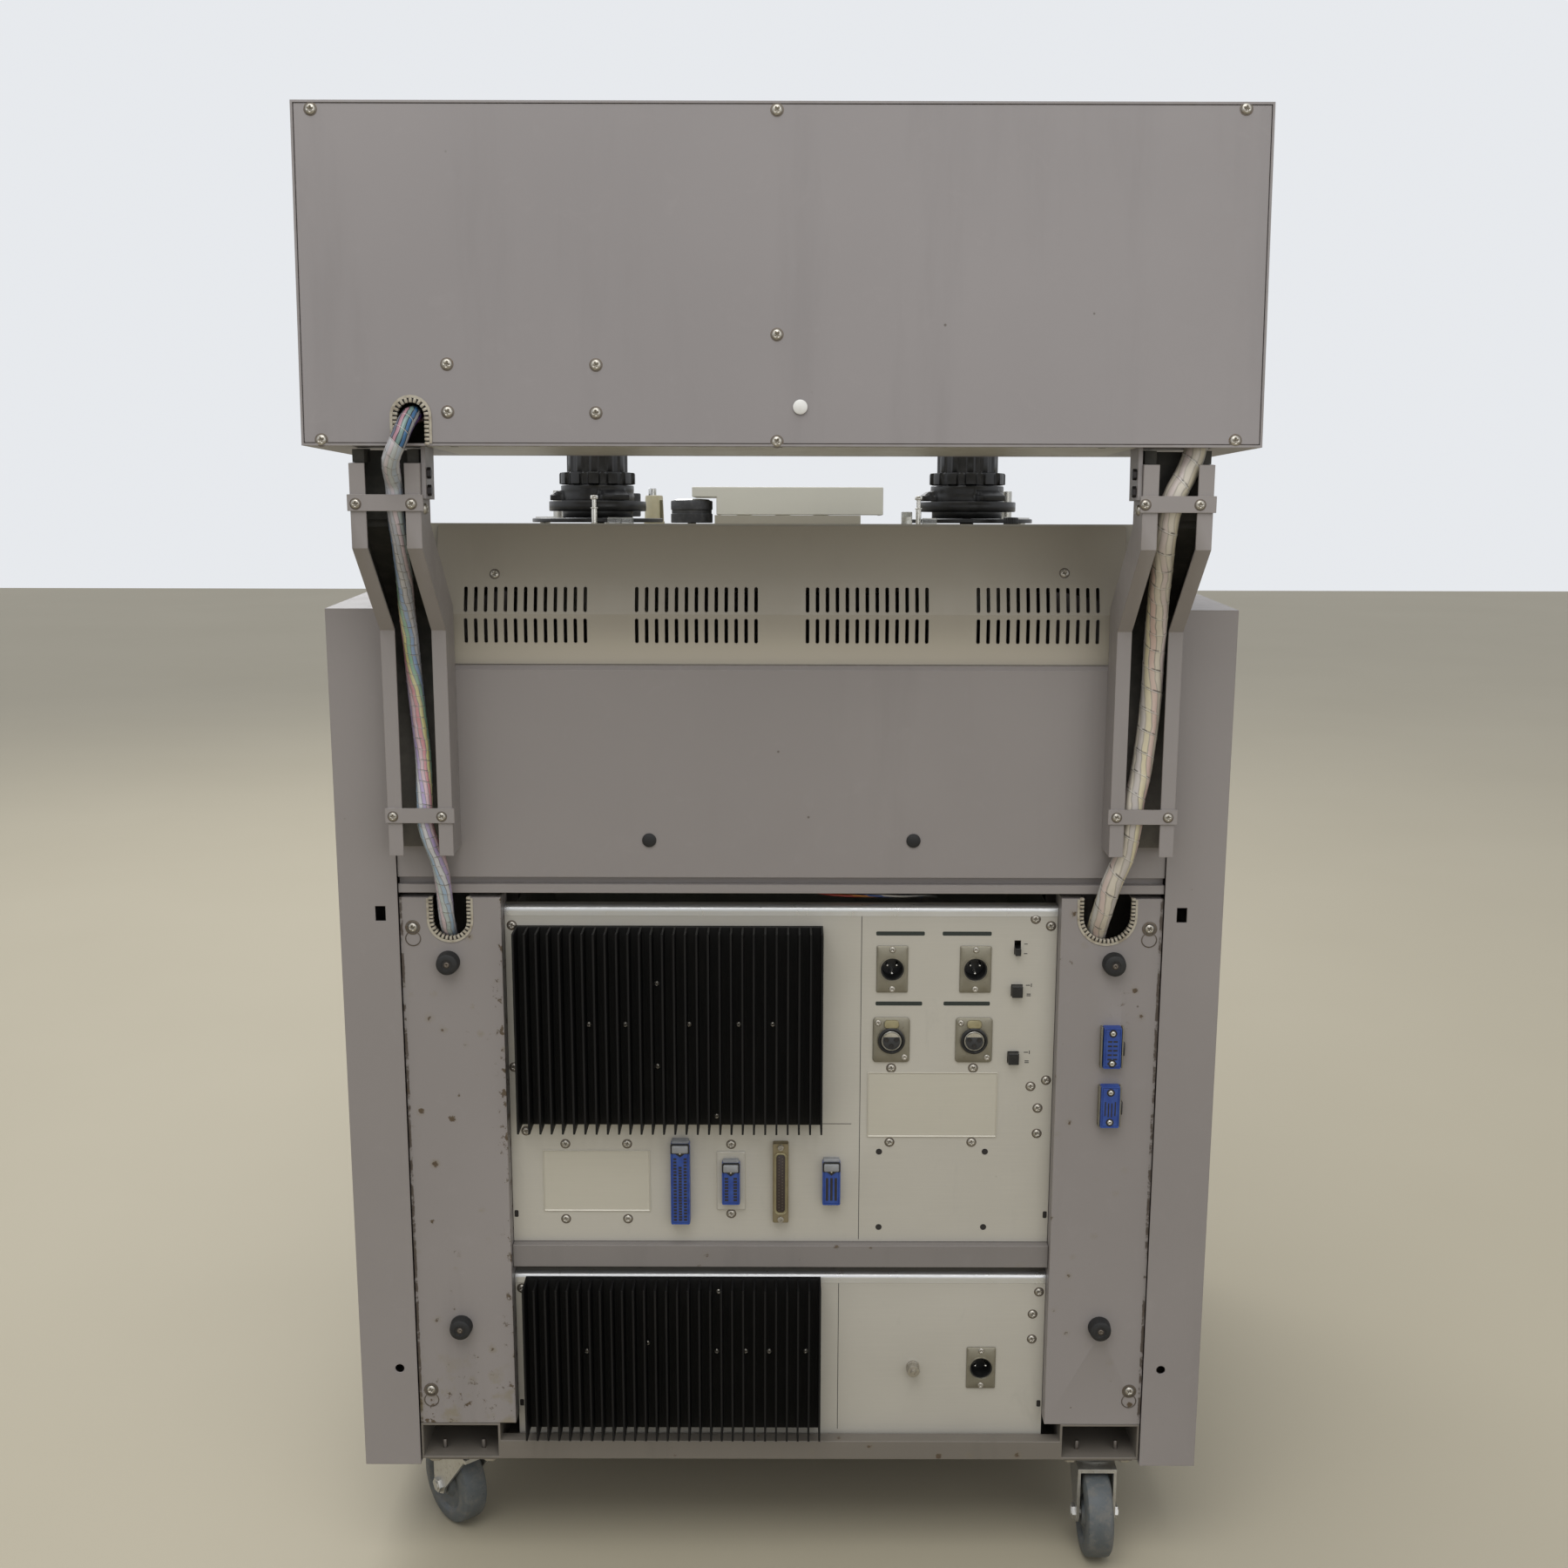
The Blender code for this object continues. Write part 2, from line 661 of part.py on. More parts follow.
def xlr_plug(name, x, z, plate, pins, finish):
    """Chassis plug: a plate with a deep round well that holds contact pins."""
    floor = 0.0020
    pin_radius = 0.0012
    pin_circle = 0.0042
    pin_setback = 0.0050
    sides = 16
    width, height = plate
    face = box((-width / 2, 0, -height / 2), (width / 2, XLR_PLATE, height / 2))
    socket = make(name, face, finish, (x, CHASSIS_FACE_Y + GAP, z))
    radius = XLR_BORE / 2
    weld(socket, [rod(radius + XLR_SHELL, -XLR_DEPTH, SINK, sides, "Y")])
    cut(socket, [rod(radius, -XLR_DEPTH + floor, XLR_PLATE + OVERRUN, sides, "Y")])
    for i in range(pins):
        angle = 2 * math.pi * i / pins - math.pi / 2 if pins > 2 else math.pi * i
        centre = (pin_circle * math.cos(angle), 0, pin_circle * math.sin(angle))
        weld(socket, [rod(pin_radius, -XLR_DEPTH + floor / 2, -pin_setback, 6, "Y", centre)])
    return socket


def xlr_socket(name, x, z, finish):
    """Chassis socket: a plate, a raised collar, an insert with three contact holes and a latch tab."""
    width = 0.030
    height = 0.038
    collar_radius = 0.0105
    collar_proud = 0.0022
    insert_radius = 0.0085
    insert_depth = 0.0016
    hole_radius = 0.0014
    hole_circle = 0.0042
    hole_depth = 0.0090
    tab_width = 0.0070
    tab_bottom = 0.0095
    tab_top = 0.0150
    tab_proud = 0.0034
    sides = 16
    socket = make(name, box((-width / 2, 0, -height / 2), (width / 2, XLR_PLATE, height / 2)), finish,
                  (x, CHASSIS_FACE_Y + GAP, z))
    weld(socket, [rod(XLR_BORE / 2 + XLR_SHELL, -XLR_DEPTH, SINK, sides, "Y"),
                  rod(collar_radius, SINK, XLR_PLATE + collar_proud, sides, "Y")])
    face = XLR_PLATE + collar_proud
    cut(socket, [rod(insert_radius, face - insert_depth, face + OVERRUN, sides, "Y")])
    holes = []
    for i in range(3):
        angle = 2 * math.pi * i / 3 + math.pi / 2
        centre = (hole_circle * math.cos(angle), 0, hole_circle * math.sin(angle))
        holes.append(rod(hole_radius, face - hole_depth, face, 6, "Y", centre))
    cut(socket, holes)
    weld(socket, [box((-tab_width / 2, SINK, tab_bottom), (tab_width / 2, XLR_PLATE + tab_proud, tab_top))])
    return socket


# Switches in the audio chassis: name, X, Z, width, height and upward travel
SLIDER_INSET = 0.0317
SLIDER_X = SLIDER_INSET - CHASSIS_HALF
SLIDER_Z = 0.5370
SLIDER_WIDTH = 0.0046
SLIDER_HEIGHT = 0.0062
SLIDER_TRAVEL = 0.0050
INPUT_BUTTON_INSET = 0.0314
INPUT_BUTTON_X = INPUT_BUTTON_INSET - CHASSIS_HALF
INPUT_BUTTON_Z = 0.5035
OUTPUT_BUTTON_INSET = 0.0329
OUTPUT_BUTTON_X = OUTPUT_BUTTON_INSET - CHASSIS_HALF
OUTPUT_BUTTON_Z = 0.4465
PUSH_WIDTH = 0.0086
PUSH_HEIGHT = 0.0095
SWITCHES = [
    ("impedance_switch", SLIDER_X, SLIDER_Z, SLIDER_WIDTH, SLIDER_HEIGHT, SLIDER_TRAVEL),
    ("input_level_button", INPUT_BUTTON_X, INPUT_BUTTON_Z, PUSH_WIDTH, PUSH_HEIGHT, 0),
    ("output_level_button", OUTPUT_BUTTON_X, OUTPUT_BUTTON_Z, PUSH_WIDTH, PUSH_HEIGHT, 0),
]


def switch(name, x, z, width, height, finish):
    """Small moulded actuator standing out of its cut-out in the rear wall."""
    proud = 0.0055
    depth = 0.0080
    low = (-width / 2, -SHEET - depth, -height / 2)
    return make(name, box(low, (width / 2, proud, height / 2)), finish, (x, CHASSIS_FACE_Y, z))


# Arms and overbridge

def swept(section, path):
    """Shape of a section swept along a mitred path in a side view; section pairs are X and setback."""
    normals = []
    for i, point in enumerate(path):
        here = Vector(point)
        first = (here - Vector(path[i - 1])).normalized() if i else None
        second = (Vector(path[i + 1]) - here).normalized() if i + 1 < len(path) else None
        first = first or second
        second = second or first
        normal = Vector((-first.y - second.y, first.x + second.x)).normalized()
        normals.append(normal / normal.dot(Vector((-first.y, first.x))))
    verts = []
    for point, normal in zip(path, normals):
        for x, setback in section:
            verts.append(Vector((x, point[0] + normal.x * setback, point[1] + normal.y * setback)))
    count = len(section)
    faces = [tuple(range(count)), tuple(range(len(verts) - count, len(verts)))]
    for i in range(len(path) - 1):
        for j in range(count):
            k = (j + 1) % count
            faces.append((i * count + j, i * count + k, (i + 1) * count + k, (i + 1) * count + j))
    return verts, faces


def arm(name, side, finish):
    """Lipped channel bent twice to carry the overbridge, open to the rear, with two cable straps."""
    strap_overhang = 0.0018
    strap_wall = 0.0015
    strap_height = 0.0115
    lower_strap_z = 0.652
    upper_strap_z = 0.892
    lips_y = COVER_FACE_Y + GAP + ARM_DEPTH
    path = [(lips_y, ARM_BOTTOM_Z), (lips_y, ARM_BEND_Z), (lips_y + ARM_OFFSET, ARM_UPPER_Z),
            (lips_y + ARM_OFFSET, ARM_TOP_Z)]
    near = side * ARM_INNER_X
    wall = side * ARM_WALL
    lip = side * ARM_LIP
    far = near + side * ARM_WIDTH
    section = [(near, ARM_DEPTH), (far, ARM_DEPTH), (far, 0), (far - lip, 0), (far - lip, ARM_WALL),
               (far - wall, ARM_WALL), (far - wall, ARM_DEPTH - ARM_WALL),
               (near + wall, ARM_DEPTH - ARM_WALL),
               (near + wall, ARM_WALL), (near + lip, ARM_WALL), (near + lip, 0), (near, 0)]
    channel = make(name, swept(section, path), finish)
    for low, offset in ((lower_strap_z, 0), (upper_strap_z, ARM_OFFSET)):
        y = lips_y + offset
        corner = (ARM_INNER_X - strap_overhang, y - SHEET / 3, low)
        far_corner = (ARM_INNER_X + ARM_WIDTH + strap_overhang, y + strap_wall, low + strap_height)
        weld(channel, [mirrored(side, corner, far_corner)])
    return channel


def bridge_case(finish):
    """Wrap-round case of the overbridge with the loom hole and the ears that bolt to the arms."""
    ear_wall = 0.0030
    ear_rear = 0.010
    ear_front = 0.040
    ear_drop = 0.036
    hole_sides = 16
    hole_outset = 0.038
    hole_y = -0.019
    hole_radius = 0.0105
    half = BRIDGE_WIDTH / 2
    side_view = [(0, 0), (0, BRIDGE_HEIGHT), (-BRIDGE_TOP_DEPTH, BRIDGE_HEIGHT), (-BRIDGE_DEPTH, 0)]
    case = make("bridge_case", prism(side_view, "X", -half, half), finish, (0, BRIDGE_Y, BRIDGE_Z),
                (BRIDGE_TILT, 0, 0))
    low = BRIDGE_WALL
    high = BRIDGE_HEIGHT - BRIDGE_WALL
    reach = BRIDGE_DEPTH * 2
    inside = [(OVERRUN, low), (OVERRUN, high), (-reach, high), (-reach, low)]
    cut(case, [prism(inside, "X", -half + BRIDGE_WALL, half - BRIDGE_WALL)])
    hole_x = -ARM_INNER_X - hole_outset
    cut(case, [rod(hole_radius, -OVERRUN, BRIDGE_WALL + OVERRUN, hole_sides, "Z", (hole_x, hole_y, 0))])
    for side in (-1, 1):
        outer = ARM_INNER_X - GAP
        weld(case, [mirrored(side, (outer - ear_wall, -ear_front, -ear_drop), (outer, -ear_rear, SINK))])
    return case


def bridge_rear_panel(finish):
    """Flat rear panel of the overbridge with the toothed cable notch and a round hole."""
    notch_outset = 0.0040
    notch_width = 0.0200
    notch_top = 0.0300
    hole_x = -0.0126
    hole_z = 0.0266
    hole_radius = 0.0045
    hole_sides = 12
    setback = 0.0005
    half = BRIDGE_WIDTH / 2 - BRIDGE_WALL - GAP
    low = BRIDGE_WALL + GAP
    plate = box((-half, -setback - SHEET, low), (half, -setback, BRIDGE_HEIGHT - low))
    panel = make("bridge_rear_panel", plate, finish, (0, BRIDGE_Y, BRIDGE_Z), (BRIDGE_TILT, 0, 0))
    radius = notch_width / 2
    notch_x = ARM_INNER_X + notch_outset
    arch = rounded(notch_x, notch_top - radius, radius, 0, 180, 8)
    arch += [(notch_x - radius, low - OVERRUN), (notch_x + radius, low - OVERRUN)]
    front = -setback - SHEET - OVERRUN
    hole = rod(hole_radius, front, OVERRUN, hole_sides, "Y", (hole_x, 0, hole_z))
    cut(panel, [prism(arch, "Y", front, OVERRUN), hole])
    return panel


# Front of the overbridge: lean of the face, then the places of its meters and level knobs on it
BRIDGE_LEAN = math.atan((BRIDGE_DEPTH - BRIDGE_TOP_DEPTH) / BRIDGE_HEIGHT)
METER_X = 0.150
METER_Z = 0.148
METER_WIDTH = 0.116
METER_HEIGHT = 0.092
METER_BARREL = 0.033
BRIDGE_KNOB_X = 0.150
BRIDGE_KNOB_Z = 0.048
KNOB_SHAFT = 0.003
FRONT_PLATE = 0.0020
FRONT_SETBACK = 0.0008


def on_bridge_front(x, y, z):
    """World place of a point on the leaning front face of the overbridge."""
    turn = Matrix.Rotation(BRIDGE_TILT, 3, "X")
    lean = Matrix.Rotation(-BRIDGE_LEAN, 3, "X")
    corner = Vector((0, BRIDGE_Y, BRIDGE_Z)) + turn @ Vector((0, -BRIDGE_DEPTH, 0))
    return corner + turn @ (lean @ Vector((x, y, z)))


BRIDGE_FRONT_TURN = (BRIDGE_TILT - BRIDGE_LEAN, 0, 0)


def bridge_front_panel(finish):
    """Meter panel: a plate in the leaning front with the meter and knob holes."""
    margin = 0.0014
    half = BRIDGE_WIDTH / 2 - BRIDGE_WALL - GAP
    top = BRIDGE_HEIGHT / math.cos(BRIDGE_LEAN) - BRIDGE_WALL - margin
    low = (-half, FRONT_SETBACK, BRIDGE_WALL + margin)
    panel = make("bridge_front_panel", box(low, (half, FRONT_SETBACK + FRONT_PLATE, top)), finish,
                 on_bridge_front(0, 0, 0), BRIDGE_FRONT_TURN)
    end = FRONT_SETBACK + FRONT_PLATE + OVERRUN
    holes = []
    for side in (-1, 1):
        holes.append(rod(METER_BARREL + GAP, -OVERRUN, end, 20, "Y", (side * METER_X, 0, METER_Z)))
        place = (side * BRIDGE_KNOB_X, 0, BRIDGE_KNOB_Z)
        holes.append(rod(KNOB_SHAFT + GAP, -OVERRUN, end, 12, "Y", place))
    cut(panel, holes)
    return panel


def vu_meter(name, side, finish):
    """Panel meter: bevelled bezel with a recessed window and a round movement behind the panel."""
    proud = 0.0100
    bevel = 0.0030
    window_margin = 0.0080
    window_bottom = 0.0260
    window_depth = 0.0040
    movement_depth = 0.040
    back = FRONT_SETBACK - GAP
    half = METER_WIDTH / 2
    rise = METER_HEIGHT / 2
    verts = []
    for y, inset in ((back, 0), (back - proud + bevel, 0), (back - proud, bevel)):
        verts += [Vector((a * (half - inset), y, b * (rise - inset))) for a, b in CORNERS]
    place = on_bridge_front(side * METER_X, 0, METER_Z)
    meter = make(name, (verts, BEVELLED_FACES), finish, place, BRIDGE_FRONT_TURN)
    low = (-half + window_margin, back - proud - OVERRUN, -rise + window_bottom)
    cut(meter, [box(low, (half - window_margin, back - proud + window_depth, rise - window_margin))])
    weld(meter, [rod(METER_BARREL, back - SINK, movement_depth, 20, "Y")])
    return meter


def bridge_knob(name, side, finish):
    """Level knob with a pointer rib, on a shaft through the meter panel."""
    radius = 0.0115
    top_radius = 0.0095
    height = 0.0160
    skirt = 0.0040
    shaft_length = 0.0140
    rib = 0.0016
    rib_proud = 0.0010
    clearance = 0.0010
    face = FRONT_SETBACK - clearance
    profile = [(0, face - height), (top_radius, face - height), (radius, face - skirt), (radius, face),
               (KNOB_SHAFT, face), (KNOB_SHAFT, face + shaft_length), (0, face + shaft_length)]
    place = on_bridge_front(side * BRIDGE_KNOB_X, 0, BRIDGE_KNOB_Z)
    knob = make(name, turned(profile, 16, "Y"), finish, place, BRIDGE_FRONT_TURN, smooth=True)
    low = (-rib / 2, face - height - rib_proud, 0)
    weld(knob, [box(low, (rib / 2, face - height + SINK, top_radius - rib))])
    return knob


# Tape transport

DECK_TURN = (DECK_TILT, 0, 0)
MOTOR_BORE_DEPTH = 0.034
BORE_SIDES = 12
REEL_SHAFT = 0.006
SPINDLE = 0.004
PIVOT_SHAFT = 0.005
CAPSTAN_PLACE = (0.1240, -0.3180)
GUIDE_PLACE = (0.0846, -0.2795)
PINCH_PIVOT = (0.1680, -0.3530)
PINCH_ROLLER_PLACE = (0.1510, -0.3140)
TENSION_PIVOT = (0.2250, -0.3050)
TENSION_TIP = (0.2050, -0.2500)
HEAD_BASE_TOP = 0.0080
COVER_HINGE_Y = -0.262


def on_deck(x, y, z):
    """World place of a point given across, back from the rear edge and above the deck's top."""
    return Vector((0, DECK_Y, DECK_Z)) + Matrix.Rotation(DECK_TILT, 3, "X") @ Vector((x, y, z))


def deck_plate(finish):
    """Deck: a deep pressed top open below and behind, with the motors, the head base and the heads."""
    skirt = DECK_SKIRT
    half = DECK_WIDTH / 2
    rear_strip_width = 0.030
    motor_sides = 18
    motor_radius = 0.052
    motor_length = 0.072
    capstan_motor_radius = 0.038
    capstan_motor_length = 0.080
    base_left_x = -0.0715
    base_right_x = 0.0620
    base_front_y = -0.336
    base_rear_y = -0.246
    head_width = 0.014
    head_depth = 0.016
    head_height = 0.016
    head_y = -0.300
    head_spacing = 0.036
    tower_x = 0.1165
    tower_y = -0.236
    tower_radius = 0.0090
    tower_top_radius = 0.0075
    tower_height = 0.0250
    block = box((-half, -DECK_LENGTH, -skirt), (half, 0, 0))
    deck = make("deck_plate", block, finish, (0, DECK_Y, DECK_Z), DECK_TURN)
    low = (-half + DECK_WALL, -DECK_LENGTH + DECK_WALL, -skirt - OVERRUN)
    cut(deck, [box(low, (half - DECK_WALL, -DECK_WALL, -DECK_WALL))])
    gate = half - rear_strip_width
    cut(deck, [box((-gate, -DECK_WALL * 2, -skirt - OVERRUN), (gate, OVERRUN, -DECK_WALL))])
    under = -DECK_WALL + SINK
    motor_bottom = under - motor_length
    for side in (-1, 1):
        place = (side * REEL_X, -REEL_SETBACK, 0)
        weld(deck, [rod(motor_radius, motor_bottom, under, motor_sides, "Z", place)])
    motor_bottom = under - capstan_motor_length
    weld(deck, [rod(capstan_motor_radius, motor_bottom, under, motor_sides, "Z", (*CAPSTAN_PLACE, 0))])
    weld(deck, [box((base_left_x, base_front_y, -SINK), (base_right_x, base_rear_y, HEAD_BASE_TOP))])
    for i in (-1, 0, 1):
        x = i * head_spacing
        weld(deck, [box((x - head_width / 2, head_y - head_depth / 2, HEAD_BASE_TOP - SINK),
                        (x + head_width / 2, head_y + head_depth / 2, HEAD_BASE_TOP + head_height))])
    tower = [(0, -SINK), (tower_radius, -SINK), (tower_top_radius, tower_height), (0, tower_height)]
    weld(deck, [turned(tower, 12, "Z", (tower_x, tower_y, 0))])
    bores = [(side * REEL_X, -REEL_SETBACK, REEL_SHAFT) for side in (-1, 1)]
    bores += [(*CAPSTAN_PLACE, SPINDLE), (*GUIDE_PLACE, SPINDLE), (*PINCH_PIVOT, PIVOT_SHAFT)]
    bores += [(side * TENSION_PIVOT[0], TENSION_PIVOT[1], PIVOT_SHAFT) for side in (-1, 1)]
    cut(deck, [rod(radius + GAP, -MOTOR_BORE_DEPTH, OVERRUN, BORE_SIDES, "Z", (x, y, 0))
               for x, y, radius in bores])
    return deck


def deck_rear_cover(finish):
    """Vented rear cover: a folded sheet that leans in to the deck edge, with two rows of slots."""
    columns = 13
    slot_pitch = 0.0077
    slot_width = 0.0028
    outer_group = 0.1983
    inner_group = 0.0661
    slot_height = 0.0190
    lower_row_z = 0.7857
    upper_row_z = 0.8096
    half = DECK_COVER_WIDTH / 2
    edge_y = DECK_Y + GAP + SHEET
    edge_z = DECK_Z - SHEET
    line = [(DECK_COVER_Y, BACK_PANEL_TOP + GAP), (DECK_COVER_Y, DECK_COVER_BEND_Z), (edge_y, edge_z)]
    cover = make("deck_rear_cover", prism(band(line, SHEET), "X", -half, half), finish)
    slots = []
    for group in (-outer_group, -inner_group, inner_group, outer_group):
        for column in range(columns):
            x = group + (column - (columns - 1) / 2) * slot_pitch
            for low in (lower_row_z, upper_row_z):
                slots.append(box((x - slot_width / 2, edge_y - OVERRUN, low),
                                 (x + slot_width / 2, DECK_COVER_Y + OVERRUN, low + slot_height)))
    cut(cover, slots)
    return cover


def reel_table(name, side, finish):
    """Thin reel table disc with its motor shaft below and the spindle above."""
    radius = 0.0560
    lift = 0.0010
    thickness = 0.0035
    shaft_length = 0.030
    spindle_top = 0.058
    top = lift + thickness
    profile = [(0, -shaft_length), (REEL_SHAFT, -shaft_length), (REEL_SHAFT, lift), (radius, lift),
               (radius, top), (SPINDLE, top), (SPINDLE, spindle_top), (0, spindle_top)]
    place = on_deck(side * REEL_X, -REEL_SETBACK, 0)
    return make(name, turned(profile, 24), finish, place, DECK_TURN, smooth=True)


def toothed(teeth, outer, inner, tooth_share, turn_share=0.0):
    """Outline of a ring of square teeth round a circle, turned by a share of a tooth."""
    outline = []
    for i in range(teeth):
        for share, radius in ((0, inner), (0, outer), (tooth_share, outer), (tooth_share, inner)):
            angle = 2 * math.pi * (i + share + turn_share) / teeth
            outline.append((radius * math.cos(angle), radius * math.sin(angle)))
    return outline


ADAPTER_BOTTOM = 0.0048
ADAPTER_TOP = 0.0325


def hub_adapter(name, side, finish):
    """Hub adapter: a foot and flange, three wings round a neck, bored for the spindle."""
    foot_radius = 0.030
    foot_top = 0.0105
    flange_radius = 0.0415
    flange_top = 0.0190
    wings = 3
    wing_outer = 0.0405
    wing_root = 0.0260
    wing_share = 0.34
    wing_turn_share = 0.08
    wing_top = 0.0285
    neck_radius = 0.0312
    profile = [(0, ADAPTER_BOTTOM), (foot_radius, ADAPTER_BOTTOM), (foot_radius, foot_top),
               (flange_radius, foot_top), (flange_radius, flange_top), (neck_radius, flange_top),
               (neck_radius, ADAPTER_TOP), (0, ADAPTER_TOP)]
    place = on_deck(side * REEL_X, -REEL_SETBACK, 0)
    body = turned(profile, 24, "Z", (0, 0, 0), 0.5)
    adapter = make(name, body, finish, place, DECK_TURN, smooth=True)
    winged = toothed(wings, wing_outer, wing_root, wing_share, wing_turn_share)
    weld(adapter, [prism(winged, "Z", flange_top - SINK, wing_top)])
    cut(adapter, [rod(SPINDLE + GAP, ADAPTER_BOTTOM - OVERRUN, ADAPTER_TOP + OVERRUN, BORE_SIDES)])
    return adapter


def hub_knob(name, side, finish):
    """Locking knob of the hub adapter: a castellated ring under a ribbed cap, bored from below."""
    teeth = 12
    ring_outer = 0.0325
    ring_inner = 0.0290
    ring_share = 0.6
    ring_top = 0.0435
    ribs = 12
    cap_outer = 0.0260
    cap_inner = 0.0245
    cap_share = 0.5
    cap_top = 0.0605
    bore_top = 0.0586
    bottom = ADAPTER_TOP + GAP
    ring = prism(toothed(teeth, ring_outer, ring_inner, ring_share), "Z", bottom, ring_top)
    knob = make(name, ring, finish, on_deck(side * REEL_X, -REEL_SETBACK, 0), DECK_TURN)
    weld(knob, [prism(toothed(ribs, cap_outer, cap_inner, cap_share), "Z", ring_top - SINK, cap_top)])
    cut(knob, [rod(SPINDLE + GAP, bottom - OVERRUN, bore_top, BORE_SIDES)])
    return knob


def head_cover(finish):
    """Cream cover over the heads, hinged at its rear edge, open below and towards the operator."""
    left = -0.0930
    right = 0.0835
    step_right = 0.0610
    step_top = 0.0245
    front = -0.335
    top = 0.0340
    wall = 0.0020
    bottom = HEAD_BASE_TOP + GAP
    hinge = Vector((0, COVER_HINGE_Y, bottom))
    block = box(Vector((left, front, bottom)) - hinge, Vector((right, COVER_HINGE_Y, top)) - hinge)
    cover = make("head_cover", block, finish, on_deck(*hinge), DECK_TURN)
    ceiling = top - bottom - wall
    depth = front - COVER_HINGE_Y
    cut(cover, [box((left + wall, depth - OVERRUN, -OVERRUN), (step_right - wall, -wall, ceiling))])
    cut(cover, [box((step_right, depth - OVERRUN, -OVERRUN),
                    (right + OVERRUN, OVERRUN, step_top - bottom))])
    return cover


def guide_roller(finish):
    """Large turning guide on its own shaft, with a bright domed cap."""
    shaft_length = 0.020
    radius = 0.0195
    bottom = 0.0010
    top = 0.0215
    cap_radius = 0.0160
    cap_height = 0.0018
    profile = [(0, -shaft_length), (SPINDLE, -shaft_length), (SPINDLE, bottom), (radius, bottom),
               (radius, top),
               (cap_radius, top + cap_height), (0, top + cap_height)]
    place = on_deck(*GUIDE_PLACE, 0)
    return make("guide_roller", turned(profile, 20), finish, place, DECK_TURN, smooth=True)


def capstan(finish):
    """Capstan shaft standing out of its motor."""
    length_below = 0.030
    height = 0.034
    place = on_deck(*CAPSTAN_PLACE, 0)
    return make("capstan", rod(SPINDLE, -length_below, height, 16), finish, place, DECK_TURN, smooth=True)


ARM_PLATE_BOTTOM = 0.0030
ARM_PLATE_TOP = 0.0065
ROLLER_PIN = 0.0030


def link_outline(tip, start_radius, end_radius):
    """Outline of a lever from a pivot at zero to its tip, with round ends."""
    length = math.hypot(*tip)
    along = math.degrees(math.atan2(tip[1], tip[0]))
    taper = math.degrees(math.asin((start_radius - end_radius) / length))
    start = rounded(0, 0, start_radius, along + 90 - taper, along + 270 + taper, 8)
    end = rounded(tip[0], tip[1], end_radius, along - 90 + taper, along + 90 - taper, 8)
    return start + end


def pinch_arm(finish):
    """Lever that swings the pinch roller to the capstan, with its pivot shaft and roller pin."""
    pivot_radius = 0.0085
    tip_radius = 0.0060
    shaft_length = 0.018
    pin_top = 0.0300
    tip = (PINCH_ROLLER_PLACE[0] - PINCH_PIVOT[0], PINCH_ROLLER_PLACE[1] - PINCH_PIVOT[1])
    plate = prism(link_outline(tip, pivot_radius, tip_radius), "Z", ARM_PLATE_BOTTOM, ARM_PLATE_TOP)
    lever = make("pinch_arm", plate, finish, on_deck(*PINCH_PIVOT, 0), DECK_TURN)
    weld(lever, [rod(PIVOT_SHAFT, -shaft_length, ARM_PLATE_BOTTOM + SINK, 12),
                 rod(ROLLER_PIN, ARM_PLATE_TOP - SINK, pin_top, 10, "Z", (*tip, 0))])
    return lever


def pinch_roller(finish):
    """Rubber pinch roller, bored for its pin."""
    radius = 0.016
    height = 0.022
    bottom = ARM_PLATE_TOP + GAP
    bore = ROLLER_PIN + GAP
    profile = [(bore, bottom), (radius, bottom), (radius, bottom + height), (bore, bottom + height)]
    place = on_deck(*PINCH_ROLLER_PLACE, 0)
    return make("pinch_roller", turned(profile, 16), finish, place, DECK_TURN, smooth=True)


def tension_arm(name, side, finish):
    """Sprung tape tension lever with its guide post."""
    pivot_radius = 0.0090
    tip_radius = 0.0060
    shaft_length = 0.018
    post_radius = 0.0050
    post_top = 0.0300
    tip = (side * (TENSION_TIP[0] - TENSION_PIVOT[0]), TENSION_TIP[1] - TENSION_PIVOT[1])
    place = on_deck(side * TENSION_PIVOT[0], TENSION_PIVOT[1], 0)
    outline = link_outline(tip, pivot_radius, tip_radius)
    lever = make(name, prism(outline, "Z", ARM_PLATE_BOTTOM, ARM_PLATE_TOP), finish, place, DECK_TURN)
    weld(lever, [rod(PIVOT_SHAFT, -shaft_length, ARM_PLATE_BOTTOM + SINK, 12),
                 rod(post_radius, ARM_PLATE_TOP - SINK, post_top, 12, "Z", (*tip, 0))])
    return lever


# Control panel and front panel

PANEL_SETBACK = 0.005
PANEL_FACE_Y = FRONT_Y + PANEL_SETBACK
PANEL_EDGE_Z = 0.7775
PANEL_LIP = 0.0075
BUTTON_COUNT = 5
BUTTON_SIZE = 0.024
BUTTON_PITCH = 0.032
BUTTON_INSET = 0.0602
BUTTON_FIRST_X = BODY_HALF - BUTTON_INSET - BUTTON_PITCH * (BUTTON_COUNT - 1)
BUTTON_ROW = 0.072
BUTTON_NAMES = ("rewind_button", "forward_button", "stop_button", "play_button", "record_button")


def panel_corners():
    """Upper and lower edges of the sloping control panel, in the side view."""
    rear = on_deck(0, -DECK_LENGTH, 0)
    return (rear.y - GAP, rear.z - GAP), (PANEL_FACE_Y, PANEL_EDGE_Z)


def panel_slope():
    """Angle by which the control panel's face leans to the operator."""
    upper, lower = panel_corners()
    return math.atan2(upper[1] - lower[1], upper[0] - lower[0])


